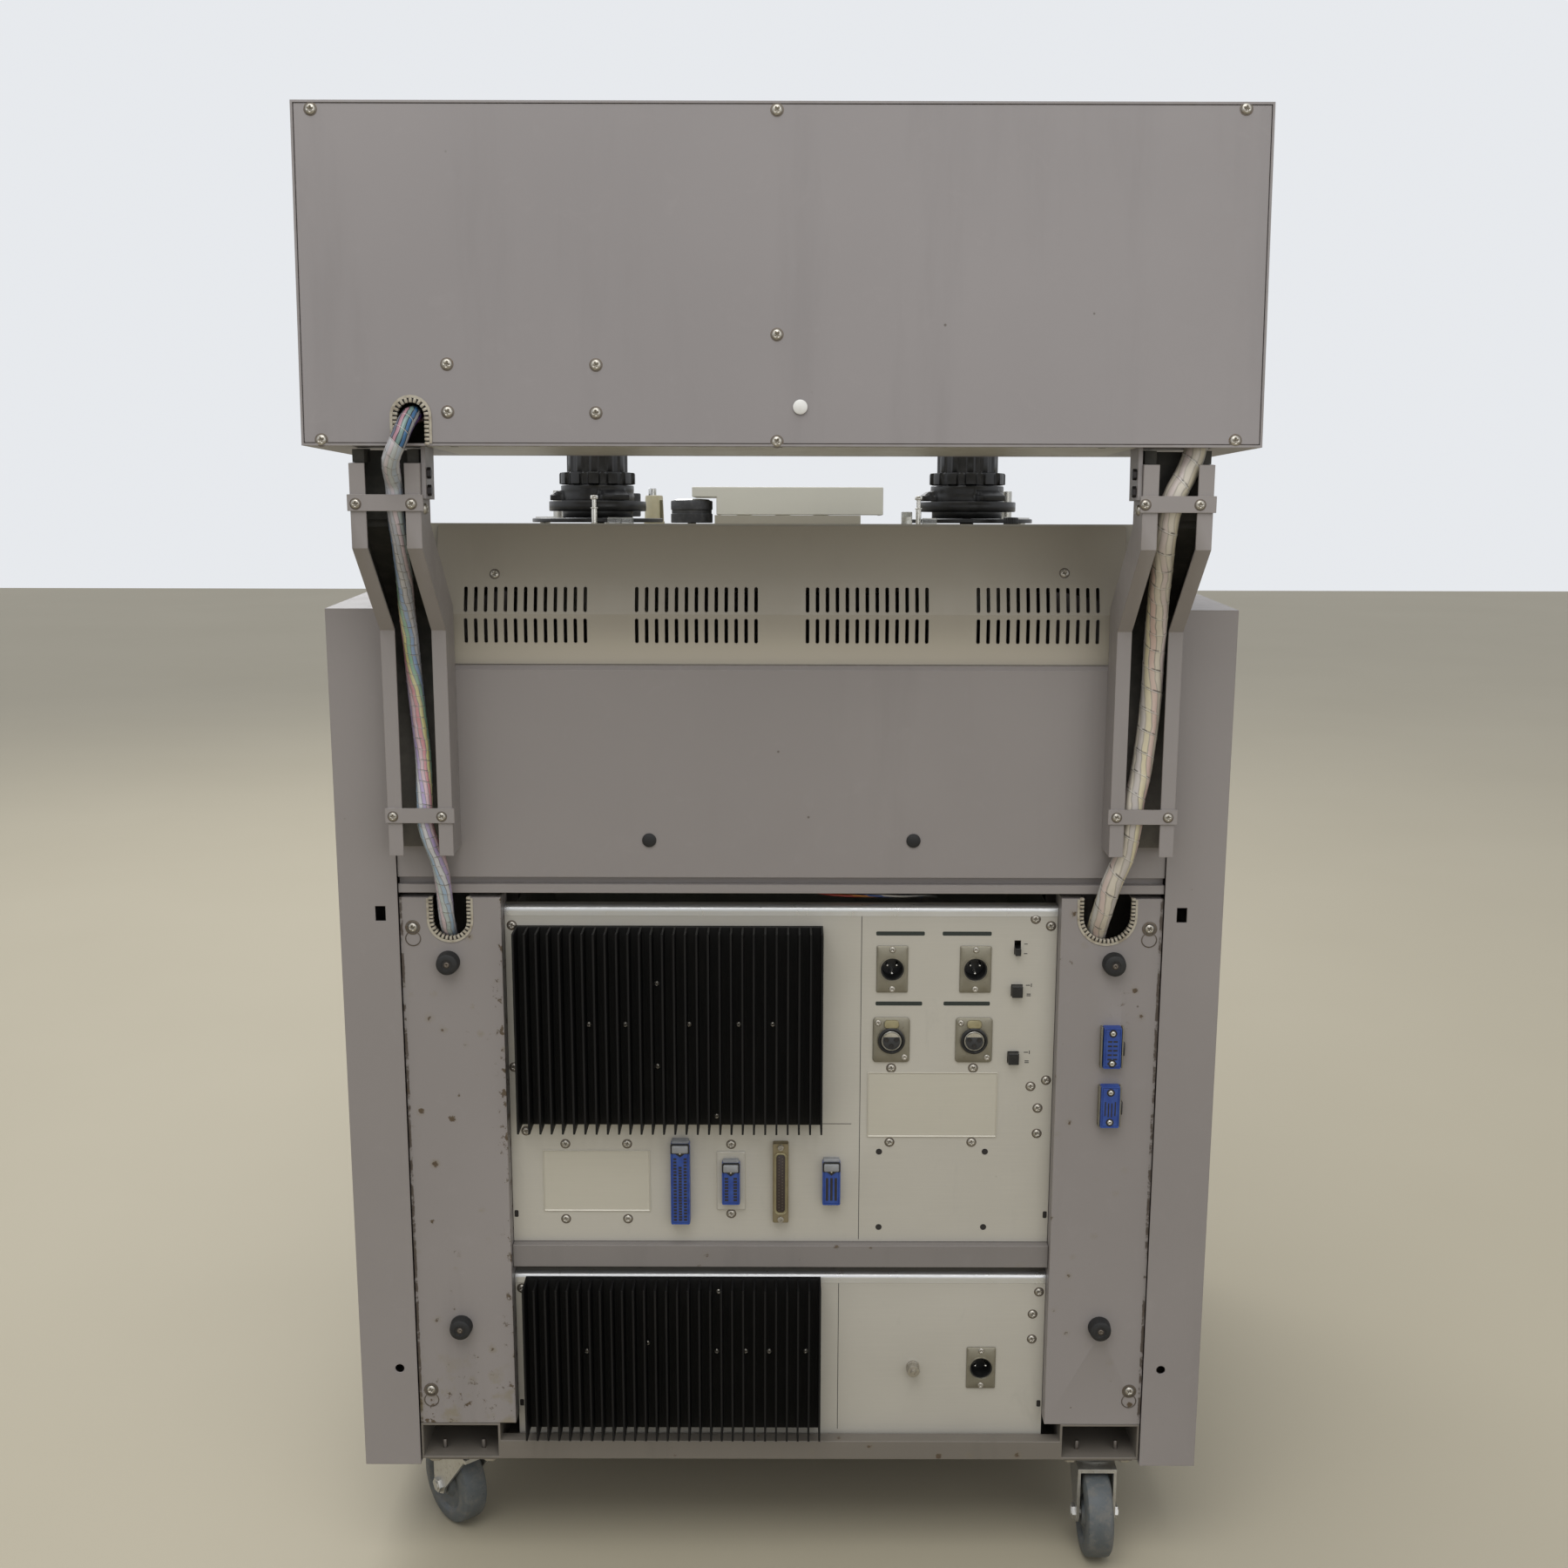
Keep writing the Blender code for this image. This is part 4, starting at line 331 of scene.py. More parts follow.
left_wires = [(0.60, 0.54, 0.44), (0.62, 0.36, 0.34), (0.66, 0.58, 0.30), (0.36, 0.34, 0.38),
              (0.66, 0.60, 0.50), (0.58, 0.40, 0.40), (0.42, 0.46, 0.50), (0.64, 0.57, 0.34),
              (0.66, 0.62, 0.54), (0.52, 0.40, 0.46)]
loom("right_loom", right_loom_route, 0.0064, "cable_right",
     loom_finish("clear_wrap", right_wires, (0.56, 0.55, 0.55), 0.52, 0.86, 2.4, 0.0085,
                 [(-0.0100, 0.0600)]), 0.0085)
loom("left_loom", left_loom_route, 0.0084, "cable_left",
     loom_finish("cream_wrap", left_wires, (0.62, 0.56, 0.46), 0.74, 0.94, 1.8, 0.0165, []), 0.0165)


# Painted sheet metal. Cheeks, base frame, covers, arms and overbridge are folded from steel sheet
# and stoved in a satin taupe-grey paint with orange peel, smears, rubbed edges and a little rust.
def folded(name, node, finish, body="cabinet", slot="taupe", edge=0.0006, bend=0.0, bent=None):
    """Copy of a solid with its flat faces merged and its edges rounded over as a bend is. The edges
    for which bent is true get the greater radius bend."""
    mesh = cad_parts[node].data.copy()
    mesh.name = name
    mesh.materials.clear()
    mesh.materials.append(finish.made)
    work = bmesh.new()
    work.from_mesh(mesh)
    bmesh.ops.remove_doubles(work, verts=work.verts, dist=0.00001)
    bmesh.ops.dissolve_limit(work, angle_limit=math.radians(1), verts=work.verts, edges=work.edges)
    if bent:
        bends = [line for line in work.edges if bent(line.verts[0].co, line.verts[1].co)]
        bmesh.ops.bevel(work, geom=bends, offset=bend, segments=5, profile=0.5, affect="EDGES",
                        clamp_overlap=True)
    bmesh.ops.recalc_face_normals(work, faces=work.faces)
    work.to_mesh(mesh)
    work.free()
    mesh.shade_smooth()
    mesh.set_sharp_from_angle(angle=math.radians(30))
    piece = bpy.data.objects.new(name, mesh)
    bpy.context.collection.objects.link(piece)
    rounding = piece.modifiers.new("rounding", "BEVEL")
    rounding.width = edge
    rounding.segments = 2
    rounding.limit_method = "ANGLE"
    rounding.angle_limit = math.radians(35)
    rounding.use_clamp_overlap = True
    rounding.harden_normals = True
    return fastened(piece, body, slot, node)


def tinted(color, share):
    """A colour made lighter or darker."""
    return tuple(value * share for value in color)


def painted(name, color, gloss=0.46, wear=1.0, rust=0.0, rubbed=(0.19, 0.165, 0.14), rusty_edge=None,
            seam=None, painted_light_below=None):
    """Satin paint on sheet: faint clouds, smears that run down, fingerprints in the gloss, rubbed
    edges, dust specks and, where rust is above 0, pitted brown spots, thickest by a rusty edge
    given as its X and the height below which the sheet's foot rusts too. A seam at a distance from
    the middle rusts in a ragged line. Painted_light_below is two heights, between which the colour
    grows lighter downwards, and the share by which it does: painted light below the edge of a shade
    cast from above."""
    finish = Finish(name, roughness=gloss, Coat_Weight=0.08, Coat_Roughness=0.35)
    cloud = finish.noise(0.40, 3.0)
    tone = finish.mix(finish.fade(cloud, 0.3, 0.7), tinted(color, 0.95), tinted(color, 1.05))
    runs = finish.noise(0.05, 5.0, 0.62, finish.here(stretch=(1, 1, 0.10)))
    smear = finish.noise(0.022, 6.0, 0.7, warp=0.6)
    dirt = finish.sum("MULTIPLY", finish.fade(runs, 0.50, 0.78), 0.30 * wear)
    tone = finish.mix(dirt, tone, tinted(color, 0.70))
    tone = finish.mix(finish.sum("MULTIPLY", finish.fade(smear, 0.55, 0.80), 0.28 * wear), tone,
                      tinted(color, 1.18))
    speck = finish.both(finish.fade(finish.cells(0.035), 0.035, 0.020),
                        finish.fade(finish.noise(0.16), 0.50, 0.56))
    tone = finish.mix(finish.sum("MULTIPLY", speck, 0.75), tone, (0.075, 0.055, 0.04))
    # Painted light: below a given height the colour grows lighter, where a shade cast from above ends.
    if painted_light_below:
        painted_light_mask = finish.fade(finish.part(finish.here(), "Z"), painted_light_below[1], painted_light_below[0])
        tone = finish.mix(painted_light_mask, tone, tinted(color, painted_light_below[2]))
    if seam:
        aside = finish.sum("ABSOLUTE", finish.part(finish.here(), "X"), 0.0)
        scab = finish.fade(finish.noise(0.014, 6.0, 0.72), 0.44, 0.52)
        ragged_line = finish.sum("MULTIPLY_ADD", finish.noise(0.006, 4.0, 0.6), 0.0022, aside)
        scab = finish.both(scab, finish.fade(ragged_line, seam - 0.0006, seam))
        tone = finish.mix(finish.sum("MULTIPLY", scab, 0.9), tone, (0.055, 0.038, 0.026))
    normal = finish.add("ShaderNodeBevel", {"Radius": 0.0014}, samples=4)
    flat = finish.add("ShaderNodeNewGeometry", {}, 1)
    facing = finish.add("ShaderNodeVectorMath", {0: normal, 1: flat}, 1, operation="DOT_PRODUCT")
    edge = finish.both(finish.fade(facing, 0.995, 0.86), finish.fade(finish.noise(0.010), 0.30, 0.60))
    tone = finish.mix(finish.sum("MULTIPLY", edge, 0.62 * wear), tone, rubbed)
    peel = finish.noise(0.0016, 2.0, 0.5)
    height = finish.sum("MULTIPLY", peel, 0.5)
    if rust:
        patch = finish.fade(finish.noise(0.050, 4.0, 0.65), 0.66 - 0.14 * rust, 0.76 - 0.12 * rust)
        pit = finish.fade(finish.noise(0.0055, 5.0, 0.7), 0.56, 0.64)
        away = finish.cells(0.019, finish.here(shift=(0.4, 0.2, 0.7)))
        ragged = finish.sum("MULTIPLY_ADD", finish.noise(0.0022, 5.0, 0.75), -0.34, away)
        size = finish.span(finish.noise(0.03), 0.42, 0.68, -0.20, -0.05 * rust)
        dots = finish.fade(finish.sum("SUBTRACT", ragged, size), 0.045, 0.0)
        spots = finish.either(finish.both(patch, pit), dots)
        if rusty_edge:
            place = finish.here()
            beside = finish.fade(finish.part(place, "X"), rusty_edge[0] + 0.016, rusty_edge[0])
            foot = finish.fade(finish.part(place, "Z"), rusty_edge[1], rusty_edge[1] - 0.07)
            crust = finish.noise(0.0095, 6.0, 0.72)
            near = finish.sum("MULTIPLY_ADD", finish.either(beside, foot), 0.14, crust)
            near = finish.both(finish.fade(near, 0.70, 0.74), finish.either(beside, foot))
            spots = finish.either(spots, near)
        brown = finish.mix(finish.noise(0.003), (0.050, 0.034, 0.022), (0.115, 0.078, 0.042))
        halo = finish.both(finish.fade(finish.sum("SUBTRACT", ragged, size), 0.22, 0.02),
                           finish.fade(finish.noise(0.05), 0.42, 0.60))
        halo_share = finish.sum("MULTIPLY", halo, 0.42 * min(1.0, rust * 2))
        tone = finish.mix(halo_share, tone, (0.185, 0.150, 0.080))
        if rusty_edge:
            stain = finish.both(foot, finish.fade(finish.noise(0.022, 4.0, 0.6), 0.50, 0.66))
            tone = finish.mix(finish.sum("MULTIPLY", stain, 0.45), tone, (0.20, 0.165, 0.080))
        tone = finish.mix(spots, tone, brown)
        height = finish.sum("ADD", height, finish.sum("MULTIPLY", spots, 0.5))
    finish.set("Base Color", tone)
    finish.set("Roughness", finish.span(smear, 0.3, 0.75, gloss - 0.06, gloss + 0.10))
    finish.relief(height, 0.00009, 0.5)
    return finish


taupe_color = (0.262, 0.238, 0.226)
taupe = painted("taupe_paint", taupe_color)
cover_seam = 0.3022
taupe_rust = painted("rusted_taupe_paint", taupe_color, 0.52, 1.3, 0.62, rusty_edge=(0.2230, 0.21),
                     seam=cover_seam)
taupe_spots = painted("spotted_taupe_paint", taupe_color, 0.48, 1.1, 0.18, seam=cover_seam)
bridge_taupe = painted("overbridge_paint", (0.258, 0.237, 0.232))
# The crossbar and the base frame take darker copies of the taupe paint: painted shade.
crossbar_shaded_taupe = painted("crossbar_shaded_paint", (0.200, 0.182, 0.170), 0.48, 1.2, 0.18)
base_shaded_taupe = painted("base_shaded_paint", (0.158, 0.140, 0.116), 0.50, 1.5, 0.22)
for look, node, finish in (
        ("left_cheek", "side_panel_left", taupe), ("right_cheek", "side_panel_right", taupe),
        ("welded_base", "base_frame", base_shaded_taupe), ("crossbar", "middle_crossbar", crossbar_shaded_taupe),
        ("left_tall_cover", "rear_cover_left", taupe_spots),
        ("right_tall_cover", "rear_cover_right", taupe_rust), ("back_sheet", "upper_back_panel", taupe),
        ("front_sheet", "front_panel", taupe), ("left_bent_arm", "arm_left", taupe),
        ("right_bent_arm", "arm_right", taupe), ("overbridge_case", "bridge_case", bridge_taupe),
        ("overbridge_rear", "bridge_rear_panel", bridge_taupe)):
    folded(look, node, finish)


# Cream and silver panels. The deck, its rear and head covers and the meter panel are warm cream; the
# chassis faces and the control panel are a paler silver-cream with a fine brushed look.
def brushed(name, color, gloss=0.36):
    """Pale satin panel: brushed lines along X, clouds, scuffs and small dark nicks."""
    finish = Finish(name, roughness=gloss, metallic=0.12, Coat_Weight=0.06, Coat_Roughness=0.3)
    cloud = finish.noise(0.22, 3.0)
    lines = finish.noise(0.0011, 3.0, 0.6, finish.here(stretch=(0.02, 1, 1)))
    tone = finish.mix(finish.fade(cloud, 0.3, 0.7), tinted(color, 0.96), tinted(color, 1.04))
    tone = finish.mix(finish.sum("MULTIPLY", finish.fade(lines, 0.4, 0.7), 0.16), tone, tinted(color, 1.16))
    scuff = finish.noise(0.018, 6.0, 0.7, finish.here(stretch=(1, 1, 0.35)), 0.8)
    tone = finish.mix(finish.sum("MULTIPLY", finish.fade(scuff, 0.57, 0.80), 0.25), tone, tinted(color, 0.74))
    nick = finish.both(finish.fade(finish.cells(0.05), 0.022, 0.012), finish.fade(cloud, 0.46, 0.54))
    finish.set("Base Color", finish.mix(nick, tone, (0.10, 0.075, 0.05)))
    finish.set("Roughness", finish.span(scuff, 0.3, 0.8, gloss - 0.05, gloss + 0.14))
    finish.relief(lines, 0.00003, 0.5)
    return finish


cream_color = (0.385, 0.360, 0.295)
silver_color = (0.47, 0.445, 0.385)
cream = painted("cream_paint", cream_color, 0.42, 0.45, 0.0, (0.25, 0.235, 0.20))
silver = brushed("silver_panel", silver_color)
for look, node, finish, slot, body in (
        ("deck_top", "deck_plate", cream, "deck_alloy", "cabinet"),
        ("meter_panel", "bridge_front_panel", cream, "cream", "cabinet"),
        ("key_panel", "control_panel", silver, "silver", "cabinet")):
    folded(look, node, finish, body, slot, 0.0004)
sheet_wall = 0.0030
# The vented cover's cream is darker than the deck's, which is painted shade from the overbridge above it, and
# grows paler below its fold, which is painted light where that shade ends.
vent_cream_shaded_and_lit = painted("vented_cover_shaded_and_lit_cream", (0.318, 0.287, 0.229), 0.44, 0.7, 0.0, (0.25, 0.235, 0.20),
                     painted_light_below=(0.772, 0.806, 1.38))
slot_radius = 0.0013
folded("vented_cover", "deck_rear_cover", vent_cream_shaded_and_lit, "cabinet", "cream", 0.0002, slot_radius,
       lambda one, two: abs(one.x - two.x) < 0.0001 and (one - two).length < sheet_wall
       and (one.y - two.y) ** 2 > (one.z - two.z) ** 2)
# The head cover's cream is far paler than the deck's: painted light on its rear face, which the overbridge
# keeps in shade.
head_cream_lit = painted("head_cover_lit_cream", (0.66, 0.65, 0.575), 0.40, 0.35, 0.0, (0.40, 0.38, 0.32))
folded("stepped_head_cover", "head_cover", head_cream_lit, "head_cover", "cream", 0.0010)
drawer_face, drawer_bend = 0.2475, 0.0030
for look, node in (("audio_drawer", "audio_chassis"), ("supply_drawer", "power_chassis")):
    drawer_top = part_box(node)[1].z
    folded(look, node, silver, "cabinet", "silver", 0.0003, drawer_bend,
           lambda one, two: min(one.z, two.z) > drawer_top - 0.0002
           and max(abs(one.y - drawer_face), abs(two.y - drawer_face)) < 0.0002)

# The drawers' rolled top edges: the roll is real, but its alloy is paler and more metallic than the panel's
# so that it shows as a bright band, which is partly painted highlight.
rolled_edge_highlight_alloy = brushed("rolled_edge_highlight_alloy", (0.66, 0.66, 0.65), 0.30)
rolled_edge_highlight_alloy.set("Metallic", 0.75)
roll_radius, roll_wall, roll_steps = 0.0042, 0.0003, 10
roll_angles = np.linspace(-0.9, math.pi / 2, roll_steps + 1)
arc = [(math.cos(angle), math.sin(angle)) if angle > 0 else (1.0, angle) for angle in roll_angles]
for look, node in (("audio_drawer_edge", "audio_chassis"), ("supply_drawer_edge", "power_chassis")):
    low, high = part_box(node)
    centre_y, centre_z = drawer_face - roll_radius, high.z - roll_radius
    outer, inner = ([(centre_y + radius * c, centre_z + radius * s) for c, s in arc]
                    for radius in (roll_radius + roll_wall, roll_radius - roll_wall))
    ring = outer + inner[::-1]
    verts = [(x, y, z) for x in (low.x, high.x) for y, z in ring]
    count = len(ring)
    faces = [(i, (i + 1) % count, count + (i + 1) % count, count + i) for i in range(count)]
    faces += [(i, count - 1 - i, count - 2 - i, i + 1) for i in range(roll_steps)]
    faces += [(count + i + 1, 2 * count - 2 - i, 2 * count - 1 - i, count + i) for i in range(roll_steps)]
    fastened(surface(look, verts, faces, rolled_edge_highlight_alloy, 40), "cabinet", "silver")


# Heat sinks. Two finned extrusions in black anodised aluminium, dusty on the fins' edges and screwed
# to the drawers' faces.
anodised = Finish("black_anodising", roughness=0.55, Specular_IOR_Level=0.22)
dust = anodised.fade(anodised.noise(0.05, 5.0, 0.65), 0.45, 0.75)
draw = anodised.noise(0.0009, 2.0, 0.5, anodised.here(stretch=(1, 1, 0.02)))
black_tone = anodised.mix(anodised.sum("MULTIPLY", dust, 0.5), (0.0052, 0.0050, 0.0048),
                          (0.013, 0.012, 0.0105))
anodised.set("Base Color", black_tone)
anodised.set("Roughness", anodised.span(draw, 0.3, 0.7, 0.48, 0.66))
anodised.relief(draw, 0.00004, 0.4)
folded("audio_fins", "audio_heat_sink", anodised, "cabinet", "black_anodised", 0.0002)
folded("supply_fins", "power_heat_sink", anodised, "cabinet", "black_anodised", 0.0002)


# Screws. Zinc pan-head cross-recess screws hold the overbridge, covers, straps, sockets, panels
# and heat sinks; a black plated finish made here goes on the arms' ear bolts.
def lofted(layers, steps=5):
    """Closed body through rounded rectangles: each layer is half width, half height, corner radius
    and Z, and a corner radius as great as both halves gives a circle."""
    quarter = np.linspace(0, np.pi / 2, steps + 1)
    verts = []
    for half_x, half_y, corner, z in layers:
        for turn in range(4):
            angle = quarter + turn * np.pi / 2
            side_x = 1 if turn in (0, 3) else -1
            side_y = 1 if turn in (0, 1) else -1
            x = side_x * (half_x - corner) + corner * np.cos(angle)
            y = side_y * (half_y - corner) + corner * np.sin(angle)
            verts += [(a, b, z) for a, b in zip(x, y)]
    count = 4 * (steps + 1)
    faces = [tuple(range(count))[::-1]]
    for i in range(len(layers) - 1):
        for j in range(count):
            after = (j + 1) % count
            faces.append((i * count + j, i * count + after, (i + 1) * count + after, (i + 1) * count + j))
    faces.append(tuple(range(len(verts) - count, len(verts))))
    return verts, faces


def round_layers(profile):
    """Layers of a turned body from pairs of radius and Z."""
    return [(radius, radius, radius, z) for radius, z in profile]


def turned(profile, steps):
    """Closed turned body from pairs of radius and Z."""
    return lofted(round_layers(profile), steps)


def copies(name, shape, places, finish, smooth=40.0):
    """One mesh of several copies of a shape, each put in place by its own matrix."""
    verts, faces = shape
    corners = np.hstack((np.array(verts, float), np.ones((len(verts), 1))))
    all_verts = np.vstack([(corners @ np.array(place).T)[:, :3] for place in places])
    all_faces = [tuple(v + i * len(verts) for v in face) for i in range(len(places)) for face in faces]
    return surface(name, all_verts, all_faces, finish, smooth)


def fitted(slot, *made):
    """Copies of a shape, as copies takes them, fixed to the cabinet."""
    return fastened(copies(*made), "cabinet", slot)


def looking(x, y, z, spin=0.0, lean=0.0):
    """Matrix that puts a shape's +Z axis to the rear and its X axis across, leaning about X."""
    turn = Matrix.Rotation(lean - math.pi / 2, 4, "X") @ Matrix.Rotation(math.radians(spin), 4, "Z")
    return Matrix.Translation((x, y, z)) @ turn


def pan_head(radius, height, recess=0.55):
    """Domed screw head on a square grid bent to a disc, with a cross cut into its middle: the dome
    is height * sqrt(1 - r ** 2.4), and the cross is two bars whose floor rises to their ends."""
    count = 17
    line = np.linspace(-1, 1, count)
    u, v = np.meshgrid(line, line, indexing="ij")
    x = u * np.sqrt(1 - v ** 2 / 2)
    y = v * np.sqrt(1 - u ** 2 / 2)
    far = np.clip(np.hypot(x, y), 0, 1)
    dome = height * np.sqrt(np.clip(1 - far ** 2.4, 0, 1))
    bar = np.minimum(np.abs(x), np.abs(y))
    cross = np.clip((0.15 - bar) / 0.06, 0, 1) * np.clip((recess - far) / 0.14, 0, 1)
    z = dome - cross * height * 0.75
    top = np.stack((x * radius, y * radius, z), axis=-1).reshape(-1, 3)
    index = np.arange(count * count).reshape(count, count)
    quads = np.stack((index[:-1, :-1], index[1:, :-1], index[1:, 1:], index[:-1, 1:]), -1).reshape(-1, 4)
    rim = np.concatenate((index[:-1, 0], index[-1, :-1], index[:0:-1, -1], index[0, :0:-1]))
    under = top[rim] - (0, 0, 0.0006)
    base = len(top)
    size = len(rim)
    faces = [tuple(face) for face in quads.tolist()]
    faces += [(rim[j], base + j, base + (j + 1) % size, rim[(j + 1) % size]) for j in range(size)]
    faces.append(tuple(range(base, base + size))[::-1])
    return np.vstack((top, under)), faces


def plated(name, color, gloss, tarnish, grain=0.0009):
    """Plated steel: fine grain, duller clouds and brown tarnish in specks."""
    finish = Finish(name, roughness=gloss, metallic=0.92)
    cloud = finish.noise(0.008, 4.0, 0.6)
    stain = finish.fade(finish.noise(0.0028, 4.0, 0.7), 0.66 - 0.12 * tarnish, 0.78 - 0.10 * tarnish)
    tone = finish.mix(finish.fade(cloud, 0.3, 0.7), tinted(color, 0.84), color)
    finish.set("Base Color", finish.mix(finish.sum("MULTIPLY", stain, 0.7), tone, (0.13, 0.085, 0.05)))
    finish.set("Roughness", finish.span(cloud, 0.3, 0.7, gloss - 0.07, gloss + 0.12))
    finish.relief(finish.noise(grain, 2.0), 0.00004, 0.6)
    return finish


screw_zinc = plated("screw_zinc", (0.46, 0.43, 0.375), 0.34, 0.6)
screw_black = plated("screw_black", (0.055, 0.05, 0.05), 0.42, 0.0)
rear_faces = {"panel": 0.2475, "cover": 0.2620, "lower_strap": 0.2965, "upper_strap": 0.3715,
              "sink": 0.2528, "back": 0.2620}
screw_places = {
    "panel": [(-0.2044, 0.5634), (-0.2168, 0.5576), (-0.2168, 0.4269), (-0.2043, 0.4216),
              (-0.2106, 0.4028), (-0.2106, 0.3807), (-0.0900, 0.4371), (-0.1569, 0.4373),
              (-0.0895, 0.3728), (-0.1570, 0.3730), (0.1775, 0.3707), (0.1266, 0.3708),
              (0.1783, 0.3044), (0.1268, 0.3046), (0.2165, 0.5573), (0.2178, 0.4372), (0.2095, 0.3820),
              (0.0409, 0.3706), (0.0410, 0.3094), (-0.2168, 0.2396), (-0.2120, 0.2194),
              (-0.2120, 0.1966), (0.2168, 0.2420)],
    "lower_strap": [(0.2973, 0.6572), (0.2600, 0.6572), (-0.2567, 0.6576), (-0.2960, 0.6576)],
    "upper_strap": [(0.2974, 0.8970), (0.2585, 0.8970), (-0.2537, 0.8975), (-0.2919, 0.8975)],
}
ring_rust = plated("stamped_ring", (0.17, 0.145, 0.12), 0.5, 0.9)


def seated(name, radius, height, places, finish=screw_zinc):
    """Pan-head screws, each on a thin grimy ring that its head has pressed into the paint."""
    ring = turned([(radius * 1.22, -0.0001), (radius * 1.22, 0.00008), (radius * 1.12, 0.00016),
                   (0.0001, 0.00016)], 6)
    fitted("zinc", name + "_rings", ring, places, ring_rust)
    return fitted("zinc", name, pan_head(radius, height), places, finish)


for group, points in screw_places.items():
    places = [looking(x, rear_faces[group], z, 31 * i) for i, (x, z) in enumerate(points)]
    seated(group + "_screws", 0.0034, 0.0017, places)
bridge_tilt = math.radians(3.4)
bridge_screws = [(0.3184, 0.3613, 1.1597), (0.0037, 0.3613, 1.1598), (-0.3127, 0.3612, 1.1611),
                 (0.3182, 0.3743, 0.9407), (0.0034, 0.3743, 0.9403), (-0.3133, 0.3742, 0.9416),
                 (0.0035, 0.3700, 1.0123), (0.2303, 0.3712, 0.9920), (0.1279, 0.3713, 0.9917),
                 (0.2305, 0.3731, 0.9598), (0.1283, 0.3732, 0.9594)]
places = [looking(*point, 37 * i, bridge_tilt) for i, point in enumerate(bridge_screws)]
seated("overbridge_screws", 0.0038, 0.0019, places)
cover_lean = math.atan2(0.0224, 0.0669)
places = [looking(x, y, z, 20, cover_lean) for x, y, z in ((0.2225, 0.2430, 0.8380),
                                                           (-0.2190, 0.2425, 0.8396))]
seated("vented_cover_screws", 0.0034, 0.0017, places)
sink_screws = [(0.1001, 0.5104), (0.1002, 0.4401), (0.1555, 0.4757), (0.1259, 0.4757), (0.0744, 0.4759),
               (0.0342, 0.4760), (0.0067, 0.4760), (0.0523, 0.3974), (0.1626, 0.1874), (0.1116, 0.1952),
               (0.0516, 0.2420), (0.0292, 0.1878), (0.0094, 0.1878), (0.0534, 0.1877), (-0.0214, 0.1879)]
places = [looking(x, rear_faces["sink"], z, 23 * i) for i, (x, z) in enumerate(sink_screws)]
fitted("zinc", "heat_sink_screws", pan_head(0.0022, 0.0012), places, screw_zinc)


# Tall covers. Each hangs on two keyhole screws, has a toothed cream grommet round its notch and two
# round rubber bumpers; the left one carries two blue multi-way sockets.
cover_face = rear_faces["cover"]
keyholes = [(0.2930, 0.5595), (-0.2930, 0.5595), (0.2930, 0.1570), (-0.2930, 0.1570)]
places = [looking(x, cover_face - 0.0002, z, 15 + 47 * i) for i, (x, z) in enumerate(keyholes)]
fitted("zinc", "keyhole_screws", pan_head(0.0040, 0.0022), places, screw_zinc)
# Near-black finish for holes, slits, wells, notches and gaps: painted shade, the dark of each opening laid on
# as colour.
opening_shade = Finish("painted_opening_shade", roughness=0.8).mottled(0.004, (0.010, 0.009, 0.008), (0.03, 0.024, 0.02))
film_step = 0.0001
washer_ring = turned([(0.0060, -film_step), (0.0060, film_step * 3), (0.0053, film_step * 5),
                      (0.0042, film_step * 5), (0.0042, -film_step)], 7)
places = [looking(x, cover_face, z) for x, z in keyholes]
fitted("zinc", "keyhole_washers", washer_ring, places, ring_rust)
embossed = turned([(0.0063, -film_step), (0.0063, film_step * 3), (0.0060, film_step * 5),
                   (0.0057, film_step * 5), (0.0055, film_step * 2), (0.0055, -film_step)], 8)
places = [looking(x, cover_face, z - 0.0092) for x, z in keyholes]
fitted("zinc", "keyhole_rings", embossed, places, ring_rust)

rubber = Finish("black_rubber", roughness=0.62, Specular_IOR_Level=0.4)
chalk = rubber.fade(rubber.noise(0.012, 5.0, 0.65), 0.5, 0.8)
rubber.set("Base Color", rubber.mix(rubber.sum("MULTIPLY", chalk, 0.3), (0.014, 0.014, 0.014),
                                    (0.05, 0.046, 0.042)))
rubber.relief(rubber.noise(0.0012), 0.00006, 0.6)
bumper = turned([(0.0093, -0.0002), (0.0093, 0.0012), (0.0088, 0.0072), (0.0084, 0.0088), (0.0068, 0.0097),
                 (0.0044, 0.0098), (0.0041, 0.0093), (0.0001, 0.0092)], 8)
bumpers = [(0.2655, 0.5310), (-0.2655, 0.5310), (0.2655, 0.2156), (-0.2655, 0.2156)]
places = [looking(x, cover_face, z) for x, z in bumpers]
fitted("black_plastic", "rubber_bumpers", bumper, places, rubber)
places = [looking(x, cover_face + 0.0092, z, 30 * i) for i, (x, z) in enumerate(bumpers)]
fitted("zinc", "bumper_screws", pan_head(0.0023, 0.0008), places, ring_rust)
# Each bumper's pit is a near-black disc: painted shade for the hollow the screw sits in.
pit = turned([(0.0040, -0.0002), (0.0040, 0.00008), (0.0001, 0.00008)], 7)
fitted("black_plastic", "bumper_pits", pit, places, opening_shade)

grommet_nylon = Finish("cream_nylon", roughness=0.5, Subsurface_Weight=0.06,
                       Subsurface_Radius=(0.002, 0.001, 0.001))
grime = grommet_nylon.fade(grommet_nylon.noise(0.006, 4.0, 0.6), 0.45, 0.72)
grommet_nylon.set("Base Color", grommet_nylon.mix(grime, (0.42, 0.38, 0.30), (0.26, 0.22, 0.16)))
grommet_nylon.relief(grommet_nylon.noise(0.0008), 0.00005, 0.5)


